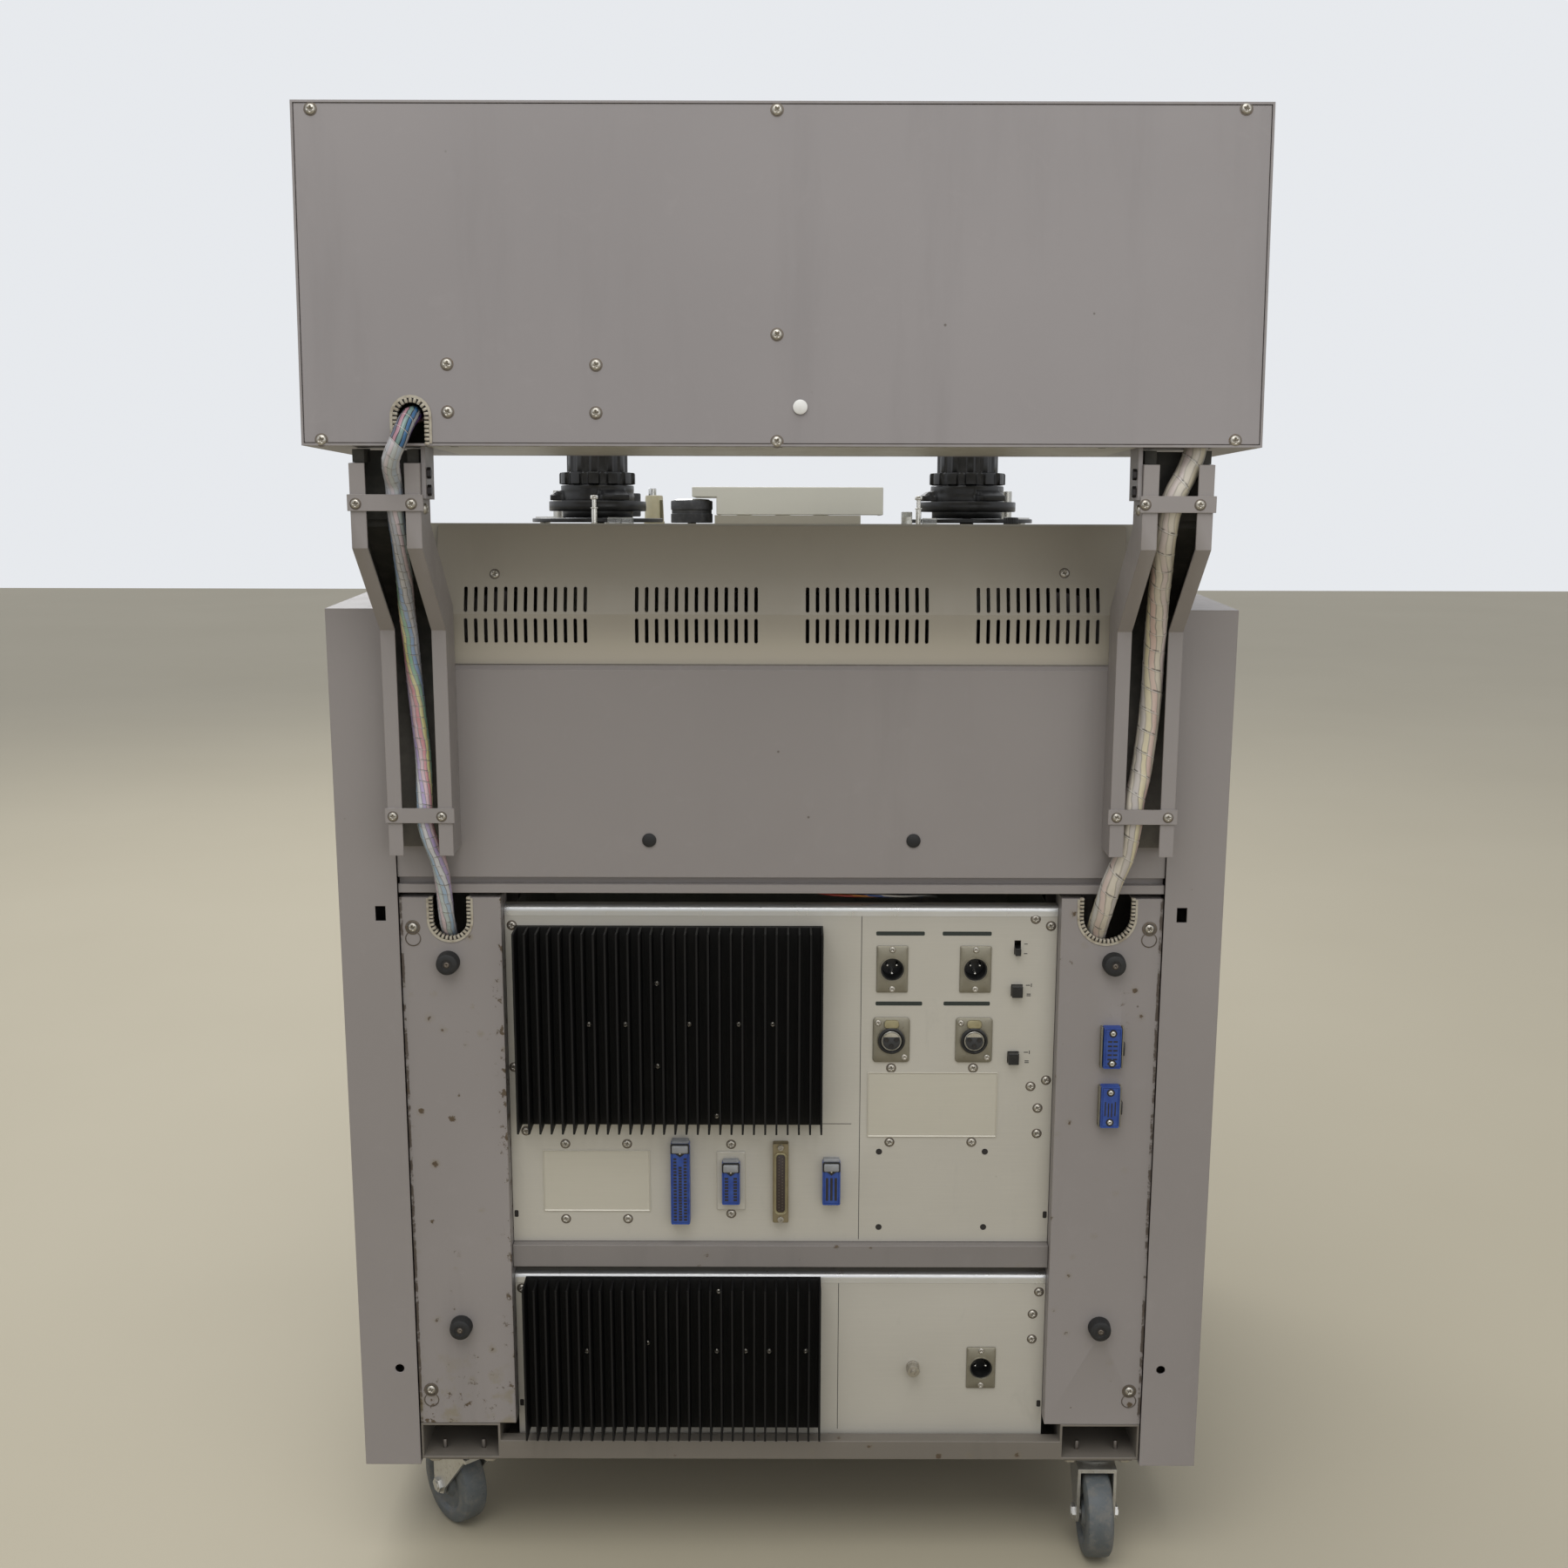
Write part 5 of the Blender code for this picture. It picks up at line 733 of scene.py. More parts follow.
def notch_line(centre, bottom, width, top, step):
    """Places and inward angles a step apart round a U: down one side, round its half circle and up
    the other."""
    radius = width / 2
    depth = top - bottom - radius
    length = depth * 2 + math.pi * radius
    count = round(length / step)
    points = []
    for i in range(count + 1):
        run = length * i / count
        if run < depth:
            points.append((centre - radius, top - run, 0.0))
        elif run > length - depth:
            points.append((centre + radius, top - length + run, math.pi))
        else:
            angle = (run - depth) / radius
            points.append((centre - radius * math.cos(angle), bottom + radius - radius * math.sin(angle),
                           angle))
    return points


def toothed_grommet(name, points, y, lean=0.0, flip=1):
    """Nylon edge strip: a thin band on the sheet and a row of small clips that grip its edge, with
    a near-black strip under them that paints the shade in the gaps between them. Flip is -1 where
    the points run the other way round."""
    frames = []
    for x, z, angle in points:
        turn = Matrix.Rotation(lean, 4, "X") @ Matrix.Rotation(-angle * flip, 4, "Y")
        frames.append(Matrix.Translation((x, y - (z - points[0][1]) * math.tan(lean), z)) @ turn)
    outward = Matrix.Translation((-0.0009, 0, 0)) @ Matrix.Rotation(-math.pi / 2, 4, "X")
    for word, low, high, proud, finish in (("band", -0.0044, -0.0026, 0.0007, grommet_nylon),
                                           ("gaps", -0.0026, 0.0002, 0.0002, opening_shade)):
        corners = ((low, -0.0001), (low, proud), (high, proud), (high, -0.0001))
        verts = [frame_here @ Vector((u, w, 0)) for frame_here in frames for u, w in corners]
        faces = [(i * 4 + j, i * 4 + (j + 1) % 4, i * 4 + 4 + (j + 1) % 4, i * 4 + 4 + j)
                 for i in range(len(points) - 1) for j in range(4)]
        faces += [(3, 2, 1, 0), tuple(len(verts) - 4 + j for j in range(4))]
        strip = surface(name + "_" + word, verts, [face[::flip] for face in faces], finish, 40)
        fastened(strip, "cabinet", "black_plastic")
    clip = lofted([(0.0016, 0.0010, 0.0003, -0.0030), (0.0016, 0.0010, 0.0003, 0.0006),
                   (0.0012, 0.0007, 0.0003, 0.0010)], 2)
    places = [frame_here @ outward for frame_here in frames]
    return fitted("black_plastic", name, clip, places, grommet_nylon)


toothed_grommet("right_notch_grommet", notch_line(0.2630, 0.5516, 0.0280, 0.5835, 0.0031), cover_face)
toothed_grommet("left_notch_grommet", notch_line(-0.2590, 0.5500, 0.0390, 0.5835, 0.0031), cover_face)
mirror_z = 1.9360
bridge_notch = [(x, mirror_z - z, angle)
                for x, z, angle in notch_line(0.2560, 0.9690, 0.0200, 0.9975, 0.0029)]
toothed_grommet("overbridge_grommet", bridge_notch, 0.3748, bridge_tilt, -1)

white_nylon = Finish("white_nylon", roughness=0.42).mottled(0.004, (0.78, 0.77, 0.74), (0.66, 0.65, 0.61))
white_plug = turned([(0.0044, -0.0018), (0.0044, 0.0002), (0.0050, 0.0003), (0.0050, 0.0010),
                     (0.0043, 0.0015), (0.0001, 0.0017)], 7)
fitted("cream", "white_plug", white_plug, [looking(-0.0126, 0.3733, 0.9637, 0, bridge_tilt)], white_nylon)
dark_plug = turned([(0.0040, -0.0030), (0.0040, 0.0001), (0.0056, 0.0002), (0.0054, 0.0011),
                    (0.0040, 0.0018), (0.0020, 0.0021), (0.0001, 0.0022)], 8)
places = [looking(x, rear_faces["back"], 0.6310) for x in (0.1040, -0.1040)]
fitted("black_plastic", "back_sheet_plugs", dark_plug, places, rubber)


# Three-pole sockets. Male input sockets with pins in a black well, female output sockets with a
# latch, and the mains inlet: nickel plates on black moulded bodies, screwed to the chassis faces.
nickel = plated("nickel_plate", (0.30, 0.278, 0.218), 0.58, 0.35)
bright_nickel = plated("bright_nickel", (0.60, 0.58, 0.52), 0.30, 0.2)
brass = plated("latch_brass", (0.42, 0.375, 0.235), 0.44, 0.3)
pin_silver = plated("pin_silver", (0.80, 0.78, 0.72), 0.22, 0.0)
black_moulding = Finish("black_moulding", roughness=0.4, Specular_IOR_Level=0.45)
haze = black_moulding.fade(black_moulding.noise(0.007, 5.0, 0.65), 0.45, 0.8)
black_moulding.set("Base Color", black_moulding.mix(haze, (0.010, 0.010, 0.010), (0.030, 0.028, 0.026)))
black_moulding.set("Roughness", black_moulding.span(haze, 0, 1, 0.34, 0.55))
black_moulding.relief(black_moulding.noise(0.0007), 0.00003, 0.6)

panel_face = rear_faces["panel"] + 0.0003
well_radius = 0.00925
plate_top = 0.0016
inputs = {"xlr_input_left": (-0.1569, 0.5214), "xlr_input_right": (-0.0897, 0.5214)}
outputs = {"xlr_output_left": (-0.1569, 0.4616), "xlr_output_right": (-0.0897, 0.4616)}
inlet = {"ac_inlet": (-0.1696, 0.1705)}


def plug_plate(half_x, half_y):
    """Plate with a bevelled edge that rolls into a round well with a raised lip."""
    return lofted([(0.0113, 0.0113, 0.0113, -0.0178), (0.0113, 0.0113, 0.0113, 0.0),
                   (half_x, half_y, 0.0012, 0.0), (half_x, half_y, 0.0012, 0.0008),
                   (half_x - 0.0011, half_y - 0.0011, 0.0010, plate_top),
                   (well_radius + 0.0013,) * 3 + (plate_top,), (well_radius + 0.0010,) * 3 + (0.0021,),
                   (well_radius + 0.0003,) * 3 + (0.0021,), (well_radius,) * 3 + (0.0015,),
                   (well_radius,) * 3 + (-0.0150,), (0.0001, 0.0001, 0.0001, -0.0150)], 8)


def half_sizes(node):
    """Half width and half height of a node's plate."""
    low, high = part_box(node)
    return (high.x - low.x) / 2, (high.z - low.z) / 2


cup = turned([(well_radius - 0.0001, -0.0149), (well_radius - 0.0001, 0.0009),
              (well_radius - 0.0008, 0.0009), (well_radius - 0.0010, -0.0132), (0.0001, -0.0132)], 8)
pin = turned([(0.0013, -0.0134), (0.0013, -0.0034), (0.0009, -0.0025), (0.0001, -0.0021)], 3)
screw_offset = 0.0030
for group, sockets, pins in (("input", inputs, 3), ("inlet", inlet, 2)):
    half_x, half_y = half_sizes(next(iter(sockets)))
    places = [looking(x, panel_face, z) for x, z in sockets.values()]
    plate = copies(group + "_plates", plug_plate(half_x, half_y), places, nickel)
    fastened(plate, "cabinet", "nickel", *sockets)
    fitted("black_plastic", group + "_cups", cup, places, black_moulding)
    pin_places = []
    for place in places:
        for i in range(pins):
            angle = 2 * math.pi * i / pins + (math.pi / 2 if pins == 3 else 0)
            offset = Matrix.Translation((0.0045 * math.cos(angle), 0.0045 * math.sin(angle), 0))
            pin_places.append(place @ offset)
    fitted("nickel", group + "_pins", pin, pin_places, pin_silver)
    heads = [looking(x, panel_face + plate_top, z + side * (half_y - screw_offset), 40 * side)
             for x, z in sockets.values() for side in (-1, 1)]
    fitted("zinc", group + "_plate_screws", pan_head(0.0026, 0.0010), heads, screw_zinc)
    key = lofted([(0.0016, 0.0012, 0.0004, -0.0120), (0.0016, 0.0012, 0.0004, 0.0013)], 2)
    turns = [place @ Matrix.Rotation(0.9, 4, "Z") @ Matrix.Translation((0, -0.0088, 0)) for place in places]
    fitted("black_plastic", group + "_keys", key, turns, black_moulding)

half_x, half_y = half_sizes("xlr_output_left")
socket_plate = lofted([(0.0113, 0.0113, 0.0113, -0.0178), (0.0113, 0.0113, 0.0113, 0.0),
                       (half_x, half_y, 0.0030, 0.0), (half_x, half_y, 0.0030, 0.0009),
                       (half_x - 0.0008, half_y - 0.0008, 0.0026, plate_top),
                       (0.0116,) * 3 + (plate_top,), (0.0112,) * 3 + (0.0024,),
                       (0.0001,) * 3 + (0.0024,)], 8)
black_ring = turned([(0.0109, 0.0022), (0.0109, 0.0040), (0.0104, 0.0044), (0.0094, 0.0044),
                     (0.0090, 0.0040), (0.0088, 0.0030), (0.0001, 0.0030)], 9)
silver_ring = turned([(0.0081, 0.0028), (0.0081, 0.0040), (0.0079, 0.0042), (0.0076, 0.0042),
                      (0.0074, 0.0038), (0.0074, 0.0032), (0.0001, 0.0032)], 9)
insert = turned([(0.0071, 0.0030), (0.0071, 0.0040), (0.0067, 0.0043), (0.0001, 0.0043)], 8)
contact = turned([(0.0021, 0.0043), (0.0021, 0.0045), (0.0015, 0.0045), (0.0013, 0.0044),
                  (0.0001, 0.0044)], 4)
hole = turned([(0.0014, 0.0044), (0.0014, 0.00455), (0.0001, 0.00455)], 4)
latch = lofted([(0.0058, 0.0033, 0.0026, 0.0010), (0.0060, 0.0034, 0.0027, 0.0030),
                (0.0056, 0.0031, 0.0025, 0.0035), (0.0048, 0.0024, 0.0020, 0.0036)], 5)
chord = np.radians(np.linspace(-150, -30, 13))
outline = [(0.0073 * math.cos(angle), 0.0073 * math.sin(angle)) for angle in chord]
crescent = ([(x, y, z) for z in (0.0036, 0.0046) for x, y in outline],
            [tuple(range(13))[::-1], tuple(range(13, 26))] +
            [(i, (i + 1) % 13, 13 + (i + 1) % 13, 13 + i) for i in range(13)])
places = [looking(x, panel_face, z) for x, z in outputs.values()]
fastened(copies("output_plates", socket_plate, places, nickel), "cabinet", "nickel", *outputs)
fitted("black_plastic", "output_collars", black_ring, places, black_moulding)
fitted("nickel", "output_rings", silver_ring, places, bright_nickel)
insert_grey = Finish("insert_grey", roughness=0.5)
insert_grey.mottled(0.003, (0.022, 0.023, 0.025), (0.040, 0.040, 0.042))
fitted("black_plastic", "output_inserts", insert, places, insert_grey)
fitted("nickel", "output_tongues", crescent, places, bright_nickel)
contact_angles = [math.radians(degrees) for degrees in (90, 195, 345)]
contact_places = [place @ Matrix.Translation((0.0042 * math.cos(angle), 0.0042 * math.sin(angle), 0))
                  for place in places for angle in contact_angles]
fitted("black_plastic", "output_contacts", contact, contact_places, black_moulding)
# The contact holes are near-black discs: painted shade.
fitted("black_plastic", "output_holes", hole, contact_places, opening_shade)
tabs = [place @ Matrix.Translation((0, -0.0139, 0)) for place in places]
fitted("nickel", "output_latches", latch, tabs, brass)
heads = [looking(x + side * 0.0108, panel_face + plate_top, z + side * 0.0146, 25 * side)
         for x, z in outputs.values() for side in (-1, 1)]
fitted("zinc", "output_plate_screws", pan_head(0.0026, 0.0010), heads, screw_zinc)


# Multi-way sockets. Blue moulded ribbon sockets with two rows of contacts and a grey latch, two on
# the left cover and three on the audio chassis, and a 37-way D socket in a plated shell.
blue = Finish("blue_moulding", roughness=0.38, Specular_IOR_Level=0.45)
bleached = blue.fade(blue.noise(0.010, 4.0, 0.6), 0.3, 0.75)
blue.set("Base Color", blue.mix(bleached, (0.018, 0.050, 0.240), (0.034, 0.082, 0.300)))
blue.set("Roughness", blue.span(blue.noise(0.004), 0.3, 0.7, 0.30, 0.50))
blue.relief(blue.noise(0.0009), 0.00003, 0.5)
latch_grey = Finish("latch_grey", roughness=0.45).mottled(0.003, (0.20, 0.21, 0.22), (0.32, 0.32, 0.32))
latch_grey.relief(latch_grey.noise(0.0008), 0.00003, 0.5)


def ribbon_socket(name, x, face, z, width, height, proud, rows, columns, dash, latched):
    """Blue shell nearly filled by a block with columns of dark slits, a dash being half a slit's
    width and height; a latched one has a grey hook with a dark point above and teeth below."""
    half_x, half_y = width / 2, height / 2
    shell = lofted([(half_x + 0.0002, half_y + 0.0002, 0.0010, -0.0002),
                    (half_x + 0.0002, half_y + 0.0002, 0.0010, proud * 0.9),
                    (half_x - 0.0001, half_y - 0.0001, 0.0008, proud + 0.0008),
                    (half_x - 0.0008, half_y - 0.0008, 0.0005, proud + 0.0008),
                    (half_x - 0.0010, half_y - 0.0010, 0.0004, proud + 0.0002)], 3)
    block = lofted([(half_x - 0.0015, half_y - 0.0018, 0.0005, proud - 0.0010),
                    (half_x - 0.0015, half_y - 0.0018, 0.0005, proud + 0.0005),
                    (half_x - 0.0017, half_y - 0.0020, 0.0004, proud + 0.0007)], 2)
    place = looking(x, face, z)
    fitted("black_plastic", name + "_shell", shell, [place], blue)
    fitted("black_plastic", name + "_block", block, [place], blue)
    # The slits are near-black patches: painted shade for the contact openings.
    slit = lofted([(*dash, 0.0001, proud), (*dash, 0.0001, proud + 0.00078)], 1)
    slits = [place @ Matrix.Translation((column, row, 0)) for column, top in columns
             for row in (np.linspace(top, half_y - 0.0042, rows) if rows > 1 else [top])]
    fitted("black_plastic", name + "_slits", slit, slits, opening_shade)
    if not latched:
        return
    top = place @ Matrix.Translation((0, 0.0038 - half_y, 0))
    cradle = lofted([(half_x, 0.0040, 0.0008, proud - 0.0010), (half_x, 0.0040, 0.0008, proud + 0.0012)], 2)
    fitted("black_plastic", name + "_cradle", cradle, [top], black_moulding)
    hook = lofted([(half_x - 0.0012, 0.0032, 0.0010, proud),
                   (half_x - 0.0012, 0.0032, 0.0010, proud + 0.0020),
                   (half_x - 0.0018, 0.0024, 0.0008, proud + 0.0026)], 3)
    ledge = place @ Matrix.Translation((0, -half_y - 0.0006, 0))
    cap = lofted([(half_x - 0.0006, 0.0016, 0.0010, 0.0), (half_x - 0.0006, 0.0016, 0.0010, proud * 0.75),
                  (half_x - 0.0014, 0.0010, 0.0008, proud * 0.85)], 3)
    fitted("black_plastic", name + "_hook", hook, [top], latch_grey)
    fitted("black_plastic", name + "_cap", cap, [ledge], latch_grey)
    point = ([(a, b, h) for h in (proud, proud + 0.0011)
              for a, b in ((-0.0042, 0.0), (0.0042, 0.0), (0.0, 0.0032))],
             [(2, 1, 0), (3, 4, 5), (0, 1, 4, 3), (1, 2, 5, 4), (2, 0, 3, 5)])
    tip = place @ Matrix.Translation((0, 0.0076 - half_y, 0))
    fitted("black_plastic", name + "_point", point, [tip], black_moulding)
    glint = turned([(0.0008, proud), (0.0007, proud + 0.0016), (0.0002, proud + 0.0018)], 3)
    fitted("nickel", name + "_tip", glint, [tip], bright_nickel)
    tooth = lofted([(0.0009, 0.0014, 0.0003, 0.0), (0.0009, 0.0014, 0.0003, proud * 0.5),
                    (0.0006, 0.0010, 0.0002, proud * 0.6)], 1)
    teeth_here = [place @ Matrix.Translation((i * 0.0024, half_y + 0.0008, 0)) for i in (-2, -1, 0, 1, 2)]
    fitted("black_plastic", name + "_teeth", tooth, teeth_here, latch_grey)


cover_x = -0.2660
cover_rows = remote_z, cue_z = 0.4620, 0.4120
ribbon_socket("remote_socket", cover_x, cover_face, remote_z, 0.0140, 0.0340, 0.0070, 6,
              [(-0.0022, -0.0058), (0.0022, -0.0058)], (0.0017, 0.0007), False)
ribbon_socket("cue_socket", cover_x, cover_face, cue_z, 0.0150, 0.0350, 0.0070, 1,
              [(-0.0040, 0.0012), (-0.0012, 0.0022), (0.0014, 0.0022), (0.0040, 0.0012)],
              (0.0005, 0.0060), False)
chassis_face = rear_faces["panel"]
row_z, plate_x = 0.3390, 0.0410
ribbon_socket("long_socket", 0.0826, chassis_face, row_z, 0.0155, 0.0700, 0.0090, 20,
              [(-0.0042, -0.0225), (0.0, -0.0150), (0.0042, -0.0225)], (0.0013, 0.0009), True)
ribbon_socket("plate_socket", plate_x, chassis_face, row_z, 0.0145, 0.0360, 0.0080, 8,
              [(-0.0036, -0.0050), (0.0036, -0.0050)], (0.0015, 0.0009), True)
ribbon_socket("short_socket", -0.0418, chassis_face, row_z, 0.0145, 0.0370, 0.0070, 1,
              [(-0.0036, 0.0046), (0.0, 0.0046), (0.0036, 0.0046)], (0.0010, 0.0100), True)
side_clip = lofted([(0.0016, 0.0055, 0.0006, 0.0), (0.0016, 0.0055, 0.0006, 0.0050),
                    (0.0010, 0.0045, 0.0004, 0.0058)], 3)
clips = [looking(cover_x - 0.0088, cover_face, z - 0.0015) for z in cover_rows]
fitted("black_plastic", "cover_socket_clips", side_clip, clips, black_moulding)
edge_strip = lofted([(0.0007, 0.0172, 0.0004, 0.0), (0.0007, 0.0172, 0.0004, 0.0056),
                     (0.0004, 0.0169, 0.0003, 0.0060)], 1)
strips = [looking(cover_x + side * 0.0084, cover_face, z) for z in cover_rows for side in (-1, 1)]
fitted("nickel", "cover_socket_edges", edge_strip, strips, nickel)
end_places = [looking(cover_x, cover_face + 0.0078, z + side * 0.0126, 33 * side)
              for z in cover_rows for side in (-1, 1)]
# The wells under the end screws are near-black discs: painted shade for the hollows.
well = turned([(0.0032, -0.0010), (0.0032, 0.0001), (0.0030, 0.00015), (0.0001, 0.00015)], 5)
fitted("black_plastic", "cover_socket_wells", well, end_places, opening_shade)
fitted("zinc", "cover_socket_screws", pan_head(0.0022, 0.0014), end_places, bright_nickel)
small_plate = lofted([(0.01165, 0.0254, 0.0010, -0.0001), (0.01165, 0.0254, 0.0010, 0.0014),
                      (0.0112, 0.0250, 0.0010, 0.0018), (0.0080, 0.0190, 0.0010, 0.0018)], 4)
fitted("silver", "socket_backplate", small_plate, [looking(plate_x, chassis_face, row_z)], silver, 15)

bronze = plated("bronze_shell", (0.30, 0.255, 0.165), 0.42, 0.4)
flange = lofted([(0.0065, 0.0348, 0.0012, -0.0001), (0.0065, 0.0348, 0.0012, 0.0061),
                 (0.0062, 0.0345, 0.0010, 0.0065)], 3)
d_place = looking(0.0, chassis_face, row_z)
fitted("nickel", "d_socket_flange", flange, [d_place], bronze)
shell_layers = [(0.0051, 0.0268, 0.0034, 0.0060), (0.0050, 0.0267, 0.0033, 0.0078),
                (0.0047, 0.0264, 0.0031, 0.0081), (0.0043, 0.0260, 0.0029, 0.0079),
                (0.0042, 0.0259, 0.0029, 0.0067)]
fitted("nickel", "d_socket_shell", lofted(shell_layers, 4), [d_place], brass)
phenol = Finish("brown_phenolic", roughness=0.5).mottled(0.003, (0.024, 0.015, 0.012), (0.040, 0.026, 0.021))
phenol.relief(phenol.noise(0.0007), 0.00003, 0.5)
core = lofted([(0.0036, 0.0252, 0.0027, 0.0060), (0.0036, 0.0252, 0.0027, 0.0073),
               (0.0033, 0.0249, 0.0025, 0.0075)], 4)
fitted("black_plastic", "d_socket_core", core, [d_place], phenol)
way = turned([(0.00052, 0.0074), (0.00052, 0.00765), (0.0001, 0.00765)], 2)
ways = [d_place @ Matrix.Translation((0.0014 * side, (i - (9.0 if side > 0 else 8.5)) * 0.0026, 0))
        for side in (-1, 1) for i in range(19 if side > 0 else 18)]
fitted("black_plastic", "d_socket_ways", way, ways, ring_rust)
jacks = [d_place @ Matrix.Translation((0, side * 0.0316, 0)) for side in (-1, 1)]
jack = turned([(0.0026, 0.0060), (0.0026, 0.0082), (0.0022, 0.0086), (0.0013, 0.0086), (0.0013, 0.0068),
               (0.0001, 0.0068)], 2)
fitted("zinc", "d_socket_posts", jack, jacks, screw_zinc)


# Printed marks. Plain dark-green bars over the socket rows, thin rules between the fields and ticks
# beside the switches, printed on the chassis faces, and bare recessed plates of the same sheet.
ink = Finish("green_black_ink", roughness=0.5).mottled(0.003, (0.010, 0.017, 0.013), (0.022, 0.028, 0.024))
plain_ink = Finish("black_ink", roughness=0.5).mottled(0.002, (0.02, 0.02, 0.02), (0.05, 0.05, 0.045))
film = 0.00012


def gathered(shapes, places):
    """Several shapes as one, each put in place by its own matrix."""
    verts, faces = [], []
    for (shape_verts, shape_faces), place in zip(shapes, places):
        corners = np.hstack((np.array(shape_verts, float), np.ones((len(shape_verts), 1))))
        faces += [tuple(v + len(verts) for v in face) for face in shape_faces]
        verts += (corners @ np.array(place).T)[:, :3].tolist()
    return verts, faces


def printed(name, patches, finish):
    """One mesh of several thin patches on the chassis face: each is X, Z, width and height."""
    shapes = [lofted([(width / 2, height / 2, min(width, height) * 0.2, lift) for lift in (0.0, film)], 1)
              for x, z, width, height in patches]
    places = [looking(x, chassis_face, z) for x, z, width, height in patches]
    return fastened(surface(name, *gathered(shapes, places), finish), "cabinet", "black_plastic")


bar = 0.0034
printed("socket_row_bars", [(-0.0960, 0.5511, 0.0391, bar), (-0.1496, 0.5511, 0.0395, bar),
                            (-0.0955, 0.4922, 0.0378, bar), (-0.1505, 0.4923, 0.0376, bar)], ink)
rule = 0.0005
audio_low, audio_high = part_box("audio_chassis")
power_low, power_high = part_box("power_chassis")
printed("panel_rules", [(-0.0648, (audio_high.z + audio_low.z) / 2 - 0.0030, rule, 0.2790),
                        (-0.0430, 0.3887, 0.0300, rule),
                        (-0.0487, (power_high.z + power_low.z) / 2, rule, 0.1360)], plain_ink)
switch_x, tick = -0.1905, 0.0007
ticks = [(switch_x - 0.0066, 0.5425, 0.0028, 0.0006), (switch_x - 0.0066, 0.5345, 0.0028, 0.0006)]
for z in (0.5035, 0.4465):
    ticks += [(switch_x - 0.0092, z + 0.0044, 0.0034, tick), (switch_x - 0.0120, z + 0.0044, tick, 0.0030),
              (switch_x - 0.0100, z - 0.0044, 0.0034, tick), (switch_x - 0.0100, z - 0.0030, 0.0034, tick)]
printed("switch_ticks", ticks, plain_ink)
# The drawers' latch notches are near-black patches, not print: painted shade for the openings.
notch_x, notch_rows = 0.2194, (0.3090, 0.1370)
printed("drawer_latch_notches",
        [(side * notch_x, z, 0.0034, 0.0060) for z in notch_rows for side in (-1, 1)], opening_shade)
blank_plates = [(-0.1241, 0.4056, 0.1064, 0.0561), (0.1521, 0.3384, 0.0884, 0.0537)]
plate_cream = brushed("blank_plate_cream", (0.490, 0.462, 0.385))
for index, (x, z, width, height) in enumerate(blank_plates):
    frame_layers = [(width / 2, height / 2, 0.0006, 0.0), (width / 2, height / 2, 0.0006, 0.0008),
                    (width / 2 - 0.0005, height / 2 - 0.0005, 0.0006, 0.0010),
                    (width / 2 - 0.0012, height / 2 - 0.0012, 0.0006, 0.0003)]
    fitted("silver", "blank_plate_%d" % (index + 1), lofted(frame_layers, 2),
           [looking(x, chassis_face, z)], plate_cream, 15)
# The open holes in the panel are near-black discs: painted shade.
hole_places = [looking(x, chassis_face, z) for x, z in ((-0.0810, 0.3644), (-0.1683, 0.3646),
                                                      (-0.0815, 0.2977), (-0.1685, 0.2979))]
open_hole = turned([(0.0026, 0.0), (0.0026, 0.00015), (0.0001, 0.00015)], 5)
fitted("black_plastic", "panel_holes", open_hole, hole_places, opening_shade)


# Ground post. A turned zinc-plated thumb nut on a threaded stud, screwed into the supply drawer.
nut = turned([(0.0056, -0.0002), (0.0056, 0.0012), (0.0046, 0.0014), (0.0053, 0.0030), (0.0053, 0.0084),
              (0.0049, 0.0090), (0.0024, 0.0091), (0.0023, 0.0120), (0.0001, 0.0122)], 6)
fitted("nickel", "ground_post", nut, [looking(-0.1120, chassis_face, 0.1710)], screw_zinc)


# Slide switch and push buttons. Black moulded actuators stand in openings of the chassis face, on
# switches fixed behind it.
for look, node in (("slide_actuator", "impedance_switch"), ("input_push", "input_level_button"),
                   ("output_push", "output_level_button")):
    folded(look, node, black_moulding, node, "black_plastic", 0.0005)


# Reel hubs. On each black reel table stands a moulded hub adapter with a flange and three wings, and
# on that a locking knob: a castellated ring under a ribbed cap.
deck_tilt = math.radians(3.1)
deck_frame = Matrix.Translation((0, 0.2290, 0.8764)) @ Matrix.Rotation(deck_tilt, 4, "X")


def on_deck(x, y, z=0.0, spin=0.0):
    """Matrix of a place given across, back from the deck's rear edge and above its top."""
    return deck_frame @ Matrix.Translation((x, y, z)) @ Matrix.Rotation(math.radians(spin), 4, "Z")


def polar(rings, sides=192):
    """Closed body from rings about Z: each is a radius and a height, numbers or functions of the
    angle, so that teeth, wings and ribs come from a formula."""
    angle = np.linspace(0, 2 * np.pi, sides, endpoint=False)
    verts = []
    for radius, height in rings:
        r = radius(angle) if callable(radius) else np.full(sides, radius)
        z = height(angle) if callable(height) else np.full(sides, height)
        verts.append(np.stack((r * np.cos(angle), r * np.sin(angle), z), axis=-1))
    verts = np.vstack(verts)
    faces = [tuple(range(sides))[::-1]]
    for i in range(len(rings) - 1):
        for j in range(sides):
            after = (j + 1) % sides
            faces.append((i * sides + j, i * sides + after, (i + 1) * sides + after, (i + 1) * sides + j))
    faces.append(tuple(range(len(verts) - sides, len(verts))))
    return verts, faces


def teeth(count, outer, inner, share, steep=7.0):
    """Radius of a toothed ring: a cosine of the angle, steepened to a rounded square wave."""
    middle = math.cos(math.pi * share)

    def radius(angle):
        wave = np.clip((np.cos(count * angle) - middle) * steep / 2 + 0.5, 0, 1)
        return inner + (outer - inner) * wave * wave * (3 - 2 * wave)
    return radius


